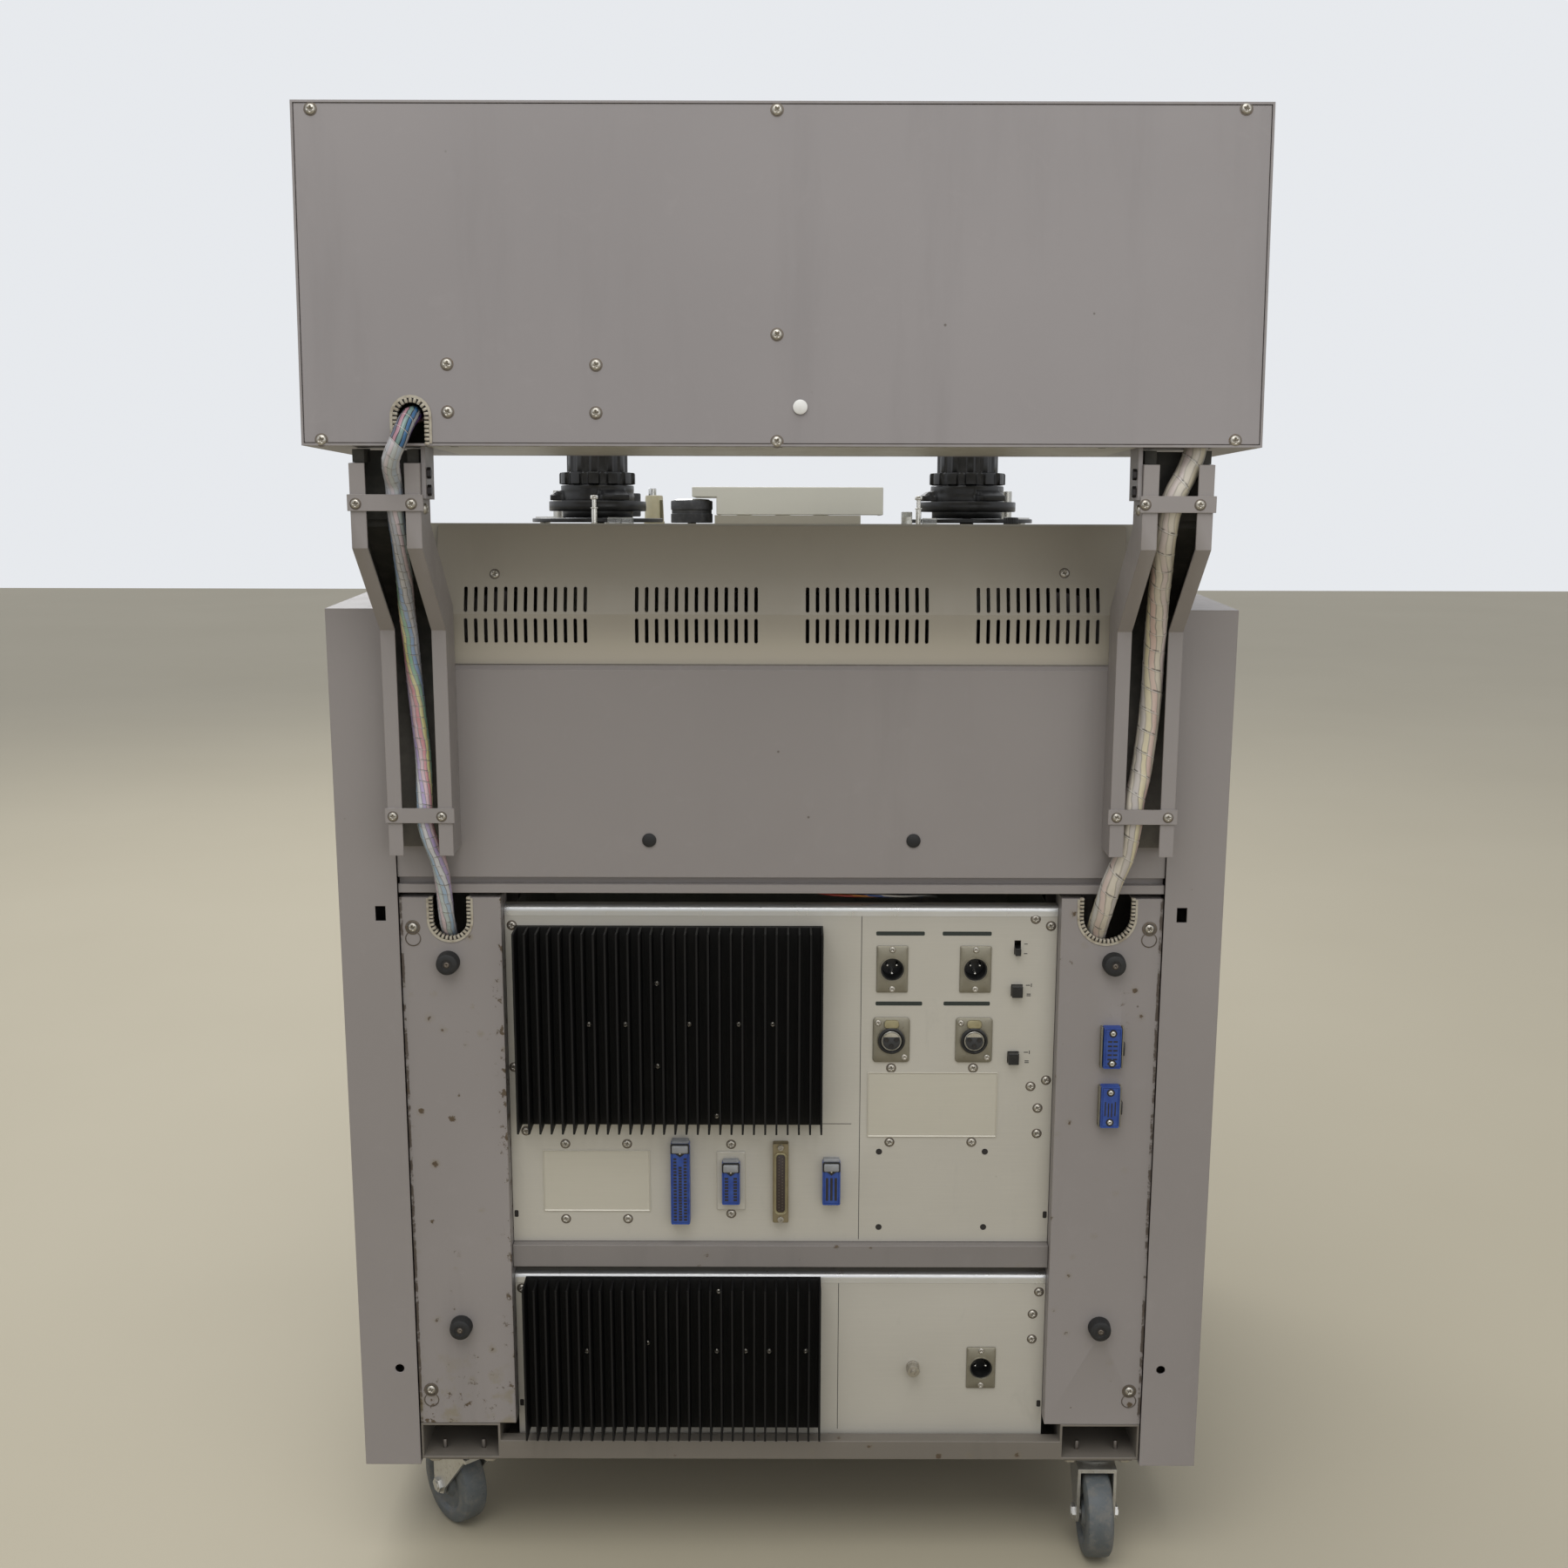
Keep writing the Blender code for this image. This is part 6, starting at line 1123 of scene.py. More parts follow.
hub_black = Finish("satin_hub_black", roughness=0.36, Specular_IOR_Level=0.5)
handled = hub_black.fade(hub_black.noise(0.012, 5.0, 0.65), 0.42, 0.78)
hub_black.set("Base Color", hub_black.mix(handled, (0.0095, 0.0095, 0.010), (0.024, 0.023, 0.022)))
hub_black.set("Roughness", hub_black.span(handled, 0, 1, 0.30, 0.50))
hub_black.relief(hub_black.noise(0.0006), 0.00003, 0.5)
table_profile = [(0.0058, -0.0290), (0.0058, 0.0011), (0.0554, 0.0011), (0.0559, 0.0016), (0.0559, 0.0040),
                 (0.0553, 0.0045), (0.0400, 0.0045), (0.0385, 0.0042), (0.0370, 0.0045), (0.0039, 0.0045),
                 (0.0039, 0.0575)]
wing = teeth(3, 0.0406, 0.0311, 0.36, 5.0)
wing_low = teeth(3, 0.0402, 0.0310, 0.36, 5.0)
wing_tip = teeth(3, 0.0396, 0.0309, 0.33, 5.0)
adapter_rings = [(0.0297, 0.0049), (0.0300, 0.0052), (0.0300, 0.0104), (0.0409, 0.0106), (0.0415, 0.0112),
                 (0.0415, 0.0182), (0.0411, 0.0188), (0.0330, 0.0190), (0.0308, 0.0190), (0.0308, 0.0197),
                 (wing_low, 0.0197), (wing, 0.0202), (wing, 0.0240), (wing_tip, 0.0246),
                 (lambda angle: (wing(angle) + 0.0311) / 2, 0.0272), (0.0312, 0.0284), (0.0312, 0.0315),
                 (0.0307, 0.0322), (0.0042, 0.0324)]
castle = teeth(12, 0.0324, 0.0290, 0.60)
castle_top = teeth(12, 0.0317, 0.0286, 0.55)
rib = teeth(12, 0.0259, 0.0246, 0.50)
rib_top = teeth(12, 0.0250, 0.0240, 0.50)
knob_rings = [(0.0042, 0.0330), (0.0300, 0.0330), (castle, 0.0336), (castle, 0.0416), (castle_top, 0.0430),
              (0.0275, 0.0434), (0.0256, 0.0433), (rib, 0.0438), (rib, 0.0592), (rib_top, 0.0602),
              (0.0215, 0.0604), (0.0205, 0.0594), (0.0150, 0.0593), (0.0145, 0.0600), (0.0040, 0.0601),
              (0.0034, 0.0596)]
reel_x, reel_y = 0.1588, -0.1500
for side, word in ((-1, "left"), (1, "right")):
    place = [on_deck(side * reel_x, reel_y)]
    body = "reel_" + word
    disc = copies(word + "_table", turned(table_profile, 15), place, hub_black)
    fastened(disc, body, "black_metal", "reel_table_" + word)
    adapter = copies(word + "_adapter", polar(adapter_rings), place, hub_black, 50)
    fastened(adapter, body, "black_metal", "hub_adapter_" + word)
    knob = copies(word + "_locking_knob", polar(knob_rings), place, hub_black, 50)
    fastened(knob, "hub_knob_" + word, "black_plastic", "hub_knob_" + word)


# Posts under the hubs. Slim plated posts with knurled caps and low clear acrylic blocks stand on the
# deck's rear edge beside the reel tables.
acrylic = Finish("clear_acrylic", roughness=0.06, Transmission_Weight=0.85, IOR=1.49)
acrylic.mottled(0.004, (0.84, 0.85, 0.83), (0.72, 0.73, 0.70))
acrylic.set("Roughness", acrylic.span(acrylic.noise(0.002, 4.0), 0.3, 0.7, 0.04, 0.16))
acrylic.relief(acrylic.noise(0.003), 0.00003, 0.3)
slim_post = polar([(0.0022, -0.0002), (0.0022, 0.0120), (0.0030, 0.0124), (0.0030, 0.0130),
                   (0.0017, 0.0134), (0.0017, 0.0195), (0.0029, 0.0198), (0.0031, 0.0204), (0.0031, 0.0222),
                   (0.0026, 0.0229), (0.0003, 0.0231)], 40)
fitted("zinc", "slim_posts", slim_post, [on_deck(0.1545, -0.0800), on_deck(-0.1130, -0.0920)], pin_silver)
low_block = lofted([(0.0060, 0.0040, 0.0015, -0.0002), (0.0060, 0.0040, 0.0015, 0.0044),
                    (0.0055, 0.0035, 0.0012, 0.0049)], 4)
low_places = [on_deck(0.1380, -0.0830, 0, 8), on_deck(0.1290, -0.0860, 0, 14), on_deck(-0.1215, -0.0860)]
fitted("cream", "acrylic_blocks", low_block, low_places, acrylic)
clear_cup = polar([(0.0045, -0.0002), (0.0045, 0.0095), (0.0041, 0.0100), (0.0032, 0.0100),
                   (0.0030, 0.0060), (0.0003, 0.0058)], 48)
fitted("cream", "acrylic_cup", clear_cup, [on_deck(-0.1030, -0.0880)], acrylic)
small_knob = polar([(0.0058, -0.0002), (teeth(18, 0.0062, 0.0058, 0.5), 0.0006),
                    (teeth(18, 0.0062, 0.0058, 0.5), 0.0048), (0.0056, 0.0056), (0.0003, 0.0058)], 144)
fitted("black_plastic", "small_deck_knob", small_knob, [on_deck(-0.1880, -0.0790)], hub_black)


# Tape path. Guide roller in ribbed dark grey rubber with a chrome cap, cream lamp tower, heads on
# their plate, capstan, pinch roller on its lever and two sprung tension levers.
roller_rubber = Finish("roller_rubber", roughness=0.55)
worn = roller_rubber.fade(roller_rubber.noise(0.006, 4.0), 0.4, 0.7)
roller_rubber.set("Base Color", roller_rubber.mix(worn, (0.030, 0.031, 0.034), (0.055, 0.056, 0.058)))
roller_rubber.relief(roller_rubber.noise(0.0005), 0.00003, 0.5)
chrome = plated("roller_chrome", (0.72, 0.72, 0.71), 0.16, 0.0)
guide_place = [on_deck(0.0846, -0.2795)]
guide_rings = [(0.0039, -0.0190), (0.0039, 0.0010), (0.0188, 0.0010), (0.0194, 0.0016), (0.0194, 0.0090),
               (0.0186, 0.0096), (0.0186, 0.0128), (0.0194, 0.0134), (0.0194, 0.0206), (0.0188, 0.0214),
               (0.0170, 0.0215)]
fastened(copies("guide_wheel", polar(guide_rings, 96), guide_place, roller_rubber), "guide_roller",
         "grey_rubber", "guide_roller")
cap_rings = [(0.0168, 0.0212), (0.0170, 0.0218), (0.0158, 0.0227), (0.0090, 0.0231), (0.0085, 0.0224),
             (0.0040, 0.0224), (0.0036, 0.0231), (0.0003, 0.0232)]
fastened(copies("guide_cap", polar(cap_rings, 96), guide_place, chrome), "guide_roller", "zinc")
tower_shell = Finish("tower_shell", roughness=0.3, Subsurface_Weight=0.2,
                     Subsurface_Radius=(0.004, 0.003, 0.002))
tower_shell.mottled(0.006, (0.58, 0.53, 0.36), (0.46, 0.42, 0.28))
tower_shell.relief(tower_shell.noise(0.001), 0.00003, 0.4)
tower_spot = on_deck(0.1165, -0.2360)
tower_rings = [(0.0094, -0.0002), (0.0094, 0.0020), (0.0088, 0.0024), (0.0080, 0.0244), (0.0074, 0.0254),
               (0.0003, 0.0257)]
fitted("cream", "lamp_tower", polar(tower_rings, 64), [tower_spot], tower_shell)
olive = Finish("olive_lens", roughness=0.25).mottled(0.004, (0.16, 0.14, 0.07), (0.10, 0.09, 0.05))
olive.relief(olive.noise(0.001), 0.00002, 0.4)
lens = lofted([(0.0012, 0.0095, 0.0006, 0.0), (0.0012, 0.0095, 0.0006, 0.0012),
               (0.0007, 0.0088, 0.0005, 0.0016)], 3)
lens_place = on_deck(0.1100, -0.2305, 0.0118) @ Matrix.Rotation(math.radians(48), 4, "Z")
lens_place = lens_place @ Matrix.Rotation(-math.pi / 2, 4, "X")
fitted("cream", "tower_lens", lens, [lens_place], olive)
head_row = (-0.036, 0.0, 0.036)
head_metal = plated("head_metal", (0.66, 0.65, 0.62), 0.20, 0.0)
head_shell = lofted([(0.0072, 0.0082, 0.0030, 0.0076), (0.0072, 0.0082, 0.0030, 0.0242),
                     (0.0066, 0.0076, 0.0026, 0.0246)], 6)
fitted("zinc", "tape_heads", head_shell, [on_deck(x, -0.3000) for x in head_row], head_metal)
# The head gaps are near-black lines: painted shade in the gap.
gap_line = lofted([(0.0022, 0.0003, 0.0001, 0.0110), (0.0022, 0.0003, 0.0001, 0.0215)], 1)
fitted("black_plastic", "head_gaps", gap_line, [on_deck(x, -0.3083) for x in head_row], opening_shade)
shaft_rings = [(0.0039, -0.0290), (0.0039, 0.0330), (0.0033, 0.0337), (0.0003, 0.0339)]
fastened(copies("capstan_shaft", polar(shaft_rings, 64), [on_deck(0.1240, -0.3180)], chrome), "capstan",
         "zinc", "capstan")
pinch_rings = [(0.0034, 0.0069), (0.0152, 0.0069), (0.0160, 0.0077), (0.0160, 0.0280), (0.0152, 0.0287),
               (0.0080, 0.0287), (0.0076, 0.0281), (0.0034, 0.0281)]
fastened(copies("pinch_wheel", polar(pinch_rings, 96), [on_deck(0.1510, -0.3140)], roller_rubber),
         "pinch_roller", "grey_rubber", "pinch_roller")
lever_zinc = plated("lever_zinc", (0.55, 0.54, 0.50), 0.30, 0.2)
folded("pinch_lever", "pinch_arm", lever_zinc, "pinch_arm", "zinc", 0.0003)
for word in ("left", "right"):
    folded(word + "_tension_lever", "tension_arm_" + word, lever_zinc, "tension_arm_" + word, "zinc", 0.0003)


# Cream floor strip. The overbridge's floor carries a cream strip between the arms, with three small
# dark slots near its rear edge.
strip_low, strip_high = -0.1260, -0.0015
bridge_frame = Matrix.Translation((0, 0.3750, 0.9370)) @ Matrix.Rotation(bridge_tilt, 4, "X")
floor_strip = lofted([(0.2455, (strip_high - strip_low) / 2, 0.0020, -0.0004),
                      (0.2455, (strip_high - strip_low) / 2, 0.0020, -0.00005)], 3)
strip_place = bridge_frame @ Matrix.Translation((0, (strip_low + strip_high) / 2, 0))
fitted("cream", "floor_strip", floor_strip, [strip_place], cream)
# The slots are near-black patches: painted shade for the openings.
dark_slot = lofted([(0.0026, 0.0009, 0.0004, -0.00055), (0.0026, 0.0009, 0.0004, -0.00035)], 2)
slot_places = [bridge_frame @ Matrix.Translation((x, -0.0046, 0)) for x in (0.2270, 0.0022, -0.2220)]
fitted("black_plastic", "floor_slots", dark_slot, slot_places, opening_shade)


# Loose wires. A few thin wires with coloured vinyl sleeves cross the dark gap over the audio drawer,
# on their way from one side of the cabinet to the other.
wire_colors = {"red": (0.42, 0.06, 0.04), "orange": (0.55, 0.22, 0.05), "blue": (0.07, 0.12, 0.34),
               "white": (0.60, 0.58, 0.54)}
for index, (word, color) in enumerate(wire_colors.items()):
    vinyl = Finish(word + "_wire", roughness=0.4).mottled(0.006, color, tinted(color, 0.7))
    vinyl.relief(vinyl.noise(0.002), 0.00004, 0.4)
    start = -0.010 - 0.012 * index
    route = [(start, 0.150, 0.5600), (start - 0.010, 0.205, 0.5755), (start - 0.026, 0.232, 0.5795),
             (start - 0.050, 0.236, 0.5790), (start - 0.072, 0.215, 0.5740), (start - 0.085, 0.170, 0.5610)]
    points, length = curve_through(route, 0.004)
    wire = tube(word + "_gap_wire", points, lambda run, angle: 0.0009 + run * 0 + angle * 0, 10, vinyl)
    fastened(wire, "cabinet", "sheath")


# Casters. Grey rubber wheels with dished faces turn on axles in pressed zinc-plated swivel forks.
tyre_rubber = Finish("tyre_rubber", roughness=0.62)
tread_dirt = tyre_rubber.fade(tyre_rubber.noise(0.010, 5.0, 0.7), 0.40, 0.72)
tyre_tone = tyre_rubber.mix(tread_dirt, (0.080, 0.091, 0.095), (0.150, 0.145, 0.130))
scrape = tyre_rubber.fade(tyre_rubber.noise(0.0035, 4.0, 0.7), 0.60, 0.74)
tyre_rubber.set("Base Color", tyre_rubber.mix(scrape, tyre_tone, (0.045, 0.048, 0.050)))
tyre_rubber.set("Roughness", tyre_rubber.span(tread_dirt, 0, 1, 0.50, 0.78))
tyre_rubber.relief(tyre_rubber.noise(0.0014, 3.0), 0.00010, 0.6)
fork_zinc = plated("fork_zinc", (0.58, 0.57, 0.54), 0.38, 0.7, 0.0016)
wheel_radius = 0.0370
half_tread = 0.0120
wheel_rings = [(0.0044, -half_tread + 0.0004), (0.0104, -half_tread), (0.0112, -half_tread + 0.0006),
               (0.0140, -half_tread + 0.0038), (0.0232, -half_tread + 0.0034), (0.0258, -half_tread + 0.0004),
               (0.0268, -half_tread), (0.0340, -half_tread + 0.0008), (0.0362, -half_tread + 0.0024),
               (wheel_radius, -half_tread + 0.0050)]
wheel_rings = wheel_rings + [(radius, -height) for radius, height in reversed(wheel_rings)]
pivot_x, rear_y, front_y = 0.2700, 0.2220, -0.3000
trail, race_foot, plate_foot = 0.0270, 0.0822, 0.0900
for word, side, pivot_y, swivel in (("rear_left", -1, rear_y, 90), ("rear_right", 1, rear_y, -50),
                                    ("front_left", -1, front_y, 70), ("front_right", 1, front_y, 110)):
    turn = Matrix.Rotation(math.radians(swivel), 4, "Z")
    place = Matrix.Translation((side * pivot_x, pivot_y, wheel_radius)) @ turn
    place = place @ Matrix.Translation((trail, 0, 0)) @ Matrix.Rotation(math.pi / 2, 4, "X")
    wheel = copies(word + "_wheel", polar(wheel_rings, 96), [place], tyre_rubber, 35)
    fastened(wheel, "wheel_" + word, "grey_rubber", "caster_wheel_" + word)
    folded(word + "_fork", "caster_fork_" + word, fork_zinc, "fork_" + word, "zinc", 0.0005)
    race = polar([(0.0200, 0.0), (0.0236, 0.0006), (0.0240, 0.0030), (0.0225, 0.0052), (0.0190, 0.0060)], 64)
    race_place = Matrix.Translation((side * pivot_x, pivot_y, race_foot))
    fastened(copies(word + "_race", race, [race_place], fork_zinc), "fork_" + word, "zinc")


# Base bolts. Two dark screw tips stand in each open base channel, and four plated ones hold each
# caster plate.
tip = polar([(0.0020, -0.0002), (0.0020, 0.0066), (0.0015, 0.0074), (0.0003, 0.0075)], 20)
tips = [Matrix.Translation((side * x, 0.2480, 0.0958)) for side in (-1, 1) for x in (0.2530, 0.2860)]
fitted("zinc", "channel_bolt_tips", tip, tips, plated("bolt_steel", (0.20, 0.18, 0.16), 0.5, 1.0))
hexagon = lofted([(0.0050, 0.0043, 0.0020, 0.0), (0.0050, 0.0043, 0.0020, 0.0026),
                  (0.0044, 0.0038, 0.0018, 0.0031)], 1)
flip = Matrix.Rotation(math.pi, 4, "X")
corners = [Matrix.Translation((side * pivot_x + a * 0.0230, y + b * 0.0300, plate_foot)) @ flip
           for side in (-1, 1) for y in (rear_y, front_y) for a in (-1, 1) for b in (-1, 1)]
fitted("zinc", "caster_bolts", hexagon, corners, screw_zinc)


# Arm channels. A near-black sheet inside each lipped channel, which is painted shade, lighter towards
# the foot; a bracket that fills the gap under the overbridge, in the same painted shade; and two hex
# bolts and a pan-head screw through the ear and the arm's inner side.
channel_shade = Finish("painted_channel_shade", roughness=0.75)
shade_cloud = channel_shade.fade(channel_shade.noise(0.014, 5.0, 0.65), 0.35, 0.75)
# The painted shade eases below 0.80 m and is lightest from 0.66 m down, towards the channel's foot.
shade_eases_below = channel_shade.fade(channel_shade.part(channel_shade.here(), "Z"), 0.800, 0.660)
channel_shade.set("Base Color", channel_shade.mix(shade_eases_below, channel_shade.mix(shade_cloud, (0.038, 0.037, 0.031), (0.070, 0.065, 0.054)),
                                    channel_shade.mix(shade_cloud, (0.115, 0.105, 0.090), (0.150, 0.136, 0.114))))
channel_shade.relief(channel_shade.noise(0.0012), 0.00005, 0.5)
lips = np.array([(0.2950, 0.6265), (0.2950, 0.8000), (0.3700, 0.8660), (0.3700, 0.9245)])
runs = np.diff(lips, axis=0)
runs /= np.linalg.norm(runs, axis=1)[:, None]
before, after = np.vstack((runs[:1], runs)), np.vstack((runs, runs[-1:]))
normals = np.stack((-(before + after)[:, 1], (before + after)[:, 0]), axis=1)
normals /= (normals * np.stack((-before[:, 1], before[:, 0]), axis=1)).sum(axis=1)[:, None]
open_depth, floor_depth, film_wall = 0.0022, 0.0304, 0.0003
near_x, far_x = 0.2541, 0.2994
u_shape = [(near_x, open_depth), (near_x, floor_depth), (far_x, floor_depth), (far_x, open_depth),
           (far_x - film_wall, open_depth), (far_x - film_wall, floor_depth - film_wall),
           (near_x + film_wall, floor_depth - film_wall), (near_x + film_wall, open_depth)]
bracket_parts = [(near_x, far_x, 0.3398, 0.3423, 0.8850, 0.9334),
                 (near_x, 0.2625, 0.3398, 0.3600, 0.9252, 0.9344),
                 (0.2925, 0.3010, 0.3398, 0.3600, 0.9252, 0.9344)]
bolt_head = polar([(0.0040, 0.0), (0.0040, 0.0022), (0.0034, 0.0027), (0.0003, 0.0028)], 6)
for side, word in ((-1, "left"), (1, "right")):
    verts = [(side * x, y + normal[0] * depth, z + normal[1] * depth)
             for (y, z), normal in zip(lips, normals) for x, depth in u_shape]
    faces = [(i * 8 + j, i * 8 + (j + 1) % 8, i * 8 + 8 + (j + 1) % 8, i * 8 + 8 + j)
             for i in range(3) for j in range(8)]
    faces += [(j, j + 1, 6 - j, 7 - j) for j in range(3)]
    faces += [(24 + j, 25 + j, 30 - j, 31 - j) for j in range(3)]
    outward = [face[::side] for face in faces]
    fastened(surface(word + "_painted_channel_shade", verts, outward, channel_shade, 30), "cabinet", "taupe")
    # The bracket takes the same near-black: painted shade in the gap under the overbridge.
    shapes = [lofted([((high_x - low_x) / 2, (high_y - low_y) / 2, 0.0006, z) for z in (low_z, high_z)], 2)
              for low_x, high_x, low_y, high_y, low_z, high_z in bracket_parts]
    middles = [Matrix.Translation((side * (high_x + low_x) / 2, (high_y + low_y) / 2, 0))
               for low_x, high_x, low_y, high_y, low_z, high_z in bracket_parts]
    bracket = surface(word + "_arm_bracket", *gathered(shapes, middles), channel_shade, 30)
    fastened(bracket, "cabinet", "taupe")
    inward = Matrix.Rotation(-side * math.pi / 2, 4, "Y")
    ear_bolts = [Matrix.Translation((side * 0.2487, 0.3600, z)) @ inward for z in (0.9180, 0.9060)]
    fitted("zinc", word + "_ear_bolts", bolt_head, ear_bolts, screw_black)
    side_screw = [Matrix.Translation((side * 0.2520, 0.3570, 0.8930)) @ inward]
    fitted("zinc", word + "_ear_screw", pan_head(0.0040, 0.0024), side_screw, screw_zinc)


# Level meters. Black moulded meters with a cream scale, ticks, plain numbers, a red end band and a
# black needle behind a clear window, two on the overbridge's front.
bridge_lean = math.atan((0.153 - 0.115) / 0.229)
front_turn = Matrix.Rotation(bridge_tilt - bridge_lean, 4, "X")
front_corner = Matrix.Rotation(bridge_tilt, 4, "X") @ Vector((0, -0.1530, 0)) + Vector((0, 0.3750, 0.9370))


def on_front(x, z, out=0.0):
    """Matrix of a place on the leaning front: a shape's X runs to the operator's right, its Y up the
    face and its Z out to the operator."""
    lift = Matrix.Translation(front_corner) @ front_turn
    return lift @ Matrix.Translation((x, -out, z)) @ Matrix.Rotation(math.pi / 2, 4, "X")


meter_x, meter_z = 0.1500, 0.1480
scale_card = Finish("scale_card", roughness=0.6).mottled(0.02, (0.74, 0.68, 0.50), (0.66, 0.60, 0.43))
scale_card.relief(scale_card.noise(0.0007), 0.00002, 0.4)
red_ink = Finish("red_ink", roughness=0.5).mottled(0.003, (0.48, 0.04, 0.03), (0.36, 0.03, 0.025))
window_glass = Finish("meter_window", roughness=0.03, Transmission_Weight=1.0, IOR=1.45)
window_glass.mottled(0.02, (0.98, 0.98, 0.98), (0.93, 0.94, 0.94))
marks = {"-20": -0.86, "-10": -0.54, "-7": -0.34, "-5": -0.14, "-3": 0.06, "0": 0.40, "+3": 0.84}


def on_scale(share, radius):
    """Place on a meter's scale: share runs from -1 to 1 over an arc of 84 degrees."""
    angle = math.radians(90 - 42 * share)
    return radius * math.cos(angle), radius * math.sin(angle)


def flat_patch(points, lift):
    """A thin closed plate from an outline, lift above the card."""
    count = len(points)
    verts = [(x, y, lift) for x, y in points] + [(x, y, lift + 0.0001) for x, y in points]
    faces = [tuple(range(count))[::-1], tuple(range(count, 2 * count))]
    faces += [(j, (j + 1) % count, count + (j + 1) % count, count + j) for j in range(count)]
    return verts, faces


def arc_patch(low, high, radius, width, lift):
    """Curved band of the scale between two shares."""
    shares = np.linspace(low, high, 24)
    outer = [on_scale(share, radius + width) for share in shares]
    inner = [on_scale(share, radius) for share in shares[::-1]]
    return flat_patch((outer + inner)[::-1], lift)


def tick_patch(share, radius, length, width, lift):
    """Straight tick across the scale's arc."""
    x, y = on_scale(share, radius)
    far_x, far_y = on_scale(share, radius + length)
    side_x, side_y = -(far_y - y) / length * width / 2, (far_x - x) / length * width / 2
    return flat_patch([(x - side_x, y - side_y), (far_x - side_x, far_y - side_y),
                       (far_x + side_x, far_y + side_y), (x + side_x, y + side_y)][::-1], lift)


def lettering(name, text, size, place, finish, body="cabinet", slot="black_plastic"):
    """Flat number as a mesh, a tenth of a millimetre thick, centred on its place."""
    curve = bpy.data.curves.new(name, "FONT")
    curve.body = text
    curve.size = size
    curve.align_x = "CENTER"
    curve.align_y = "CENTER"
    curve.extrude = 0.00005
    held = bpy.data.objects.new(name + "_text", curve)
    bpy.context.collection.objects.link(held)
    bpy.context.view_layer.update()
    mesh = bpy.data.meshes.new_from_object(held.evaluated_get(bpy.context.evaluated_depsgraph_get()))
    bpy.data.objects.remove(held)
    mesh.transform(place)
    mesh.materials.clear()
    mesh.materials.append(finish.made)
    mesh.name = name
    piece = bpy.data.objects.new(name, mesh)
    bpy.context.collection.objects.link(piece)
    return fastened(piece, body, slot)


card_drop = -0.0230
scale_radius = 0.0400
for side, word in ((-1, "left"), (1, "right")):
    centre = side * meter_x
    folded(word + "_meter_case", "vu_meter_" + word, black_moulding, "cabinet", "black_plastic", 0.0006)
    card = lofted([(0.0495, 0.0285, 0.0010, 0.0), (0.0495, 0.0285, 0.0010, 0.0004)], 2)
    card_place = on_front(centre, meter_z + 0.0090, 0.0052)
    fitted("cream", word + "_meter_card", card, [card_place], scale_card)
    pivot = on_front(centre, meter_z + 0.0090 + card_drop, 0.0057)
    lines = [arc_patch(-1, 0.40, scale_radius, 0.0004, 0.0)]
    lines += [tick_patch(share, scale_radius, 0.0034, 0.0005, 0.0) for share in marks.values() if share < 0.5]
    lines += [tick_patch(share, scale_radius, 0.0020, 0.0003, 0.0)
              for share in (-0.70, -0.44, -0.24, -0.04, 0.17, 0.29)]
    verts, faces = gathered(lines, [pivot] * len(lines))
    fastened(surface(word + "_meter_scale", verts, faces, plain_ink), "cabinet", "black_plastic")
    verts, faces = gathered([arc_patch(0.40, 1, scale_radius, 0.0016, 0.0),
                             tick_patch(0.84, scale_radius, 0.0040, 0.0006, 0.0)], [pivot] * 2)
    fastened(surface(word + "_meter_end_band", verts, faces, red_ink), "cabinet", "cream")
    for index, (text, share) in enumerate(marks.items()):
        x, y = on_scale(share, scale_radius + 0.0068)
        lettering("%s_meter_number_%d" % (word, index), text, 0.0050, pivot @ Matrix.Translation((x, y, 0)),
                  red_ink if share > 0.5 else plain_ink)
    hand = flat_patch([(-0.0004, 0.0060), (0.0004, 0.0060), (0.00015, 0.0420), (-0.00015, 0.0420)], 0.0010)
    turn = pivot @ Matrix.Rotation(math.radians(38), 4, "Z")
    fastened(surface(word + "_meter_needle", *gathered([hand], [turn]), plain_ink), "cabinet",
             "black_plastic")
    cover_strip = lofted([(0.0490, 0.0062, 0.0010, 0.0), (0.0490, 0.0062, 0.0010, 0.0026),
                          (0.0484, 0.0056, 0.0010, 0.0030)], 3)
    strip_place = on_front(centre, meter_z - 0.0130, 0.0056)
    fitted("black_plastic", word + "_meter_skirt", cover_strip, [strip_place], black_moulding)
    pane = lofted([(0.0497, 0.0287, 0.0010, 0.0), (0.0497, 0.0287, 0.0010, 0.0008)], 2)
    fitted("cream", word + "_meter_pane", pane, [on_front(centre, meter_z + 0.0090, 0.0085)], window_glass)


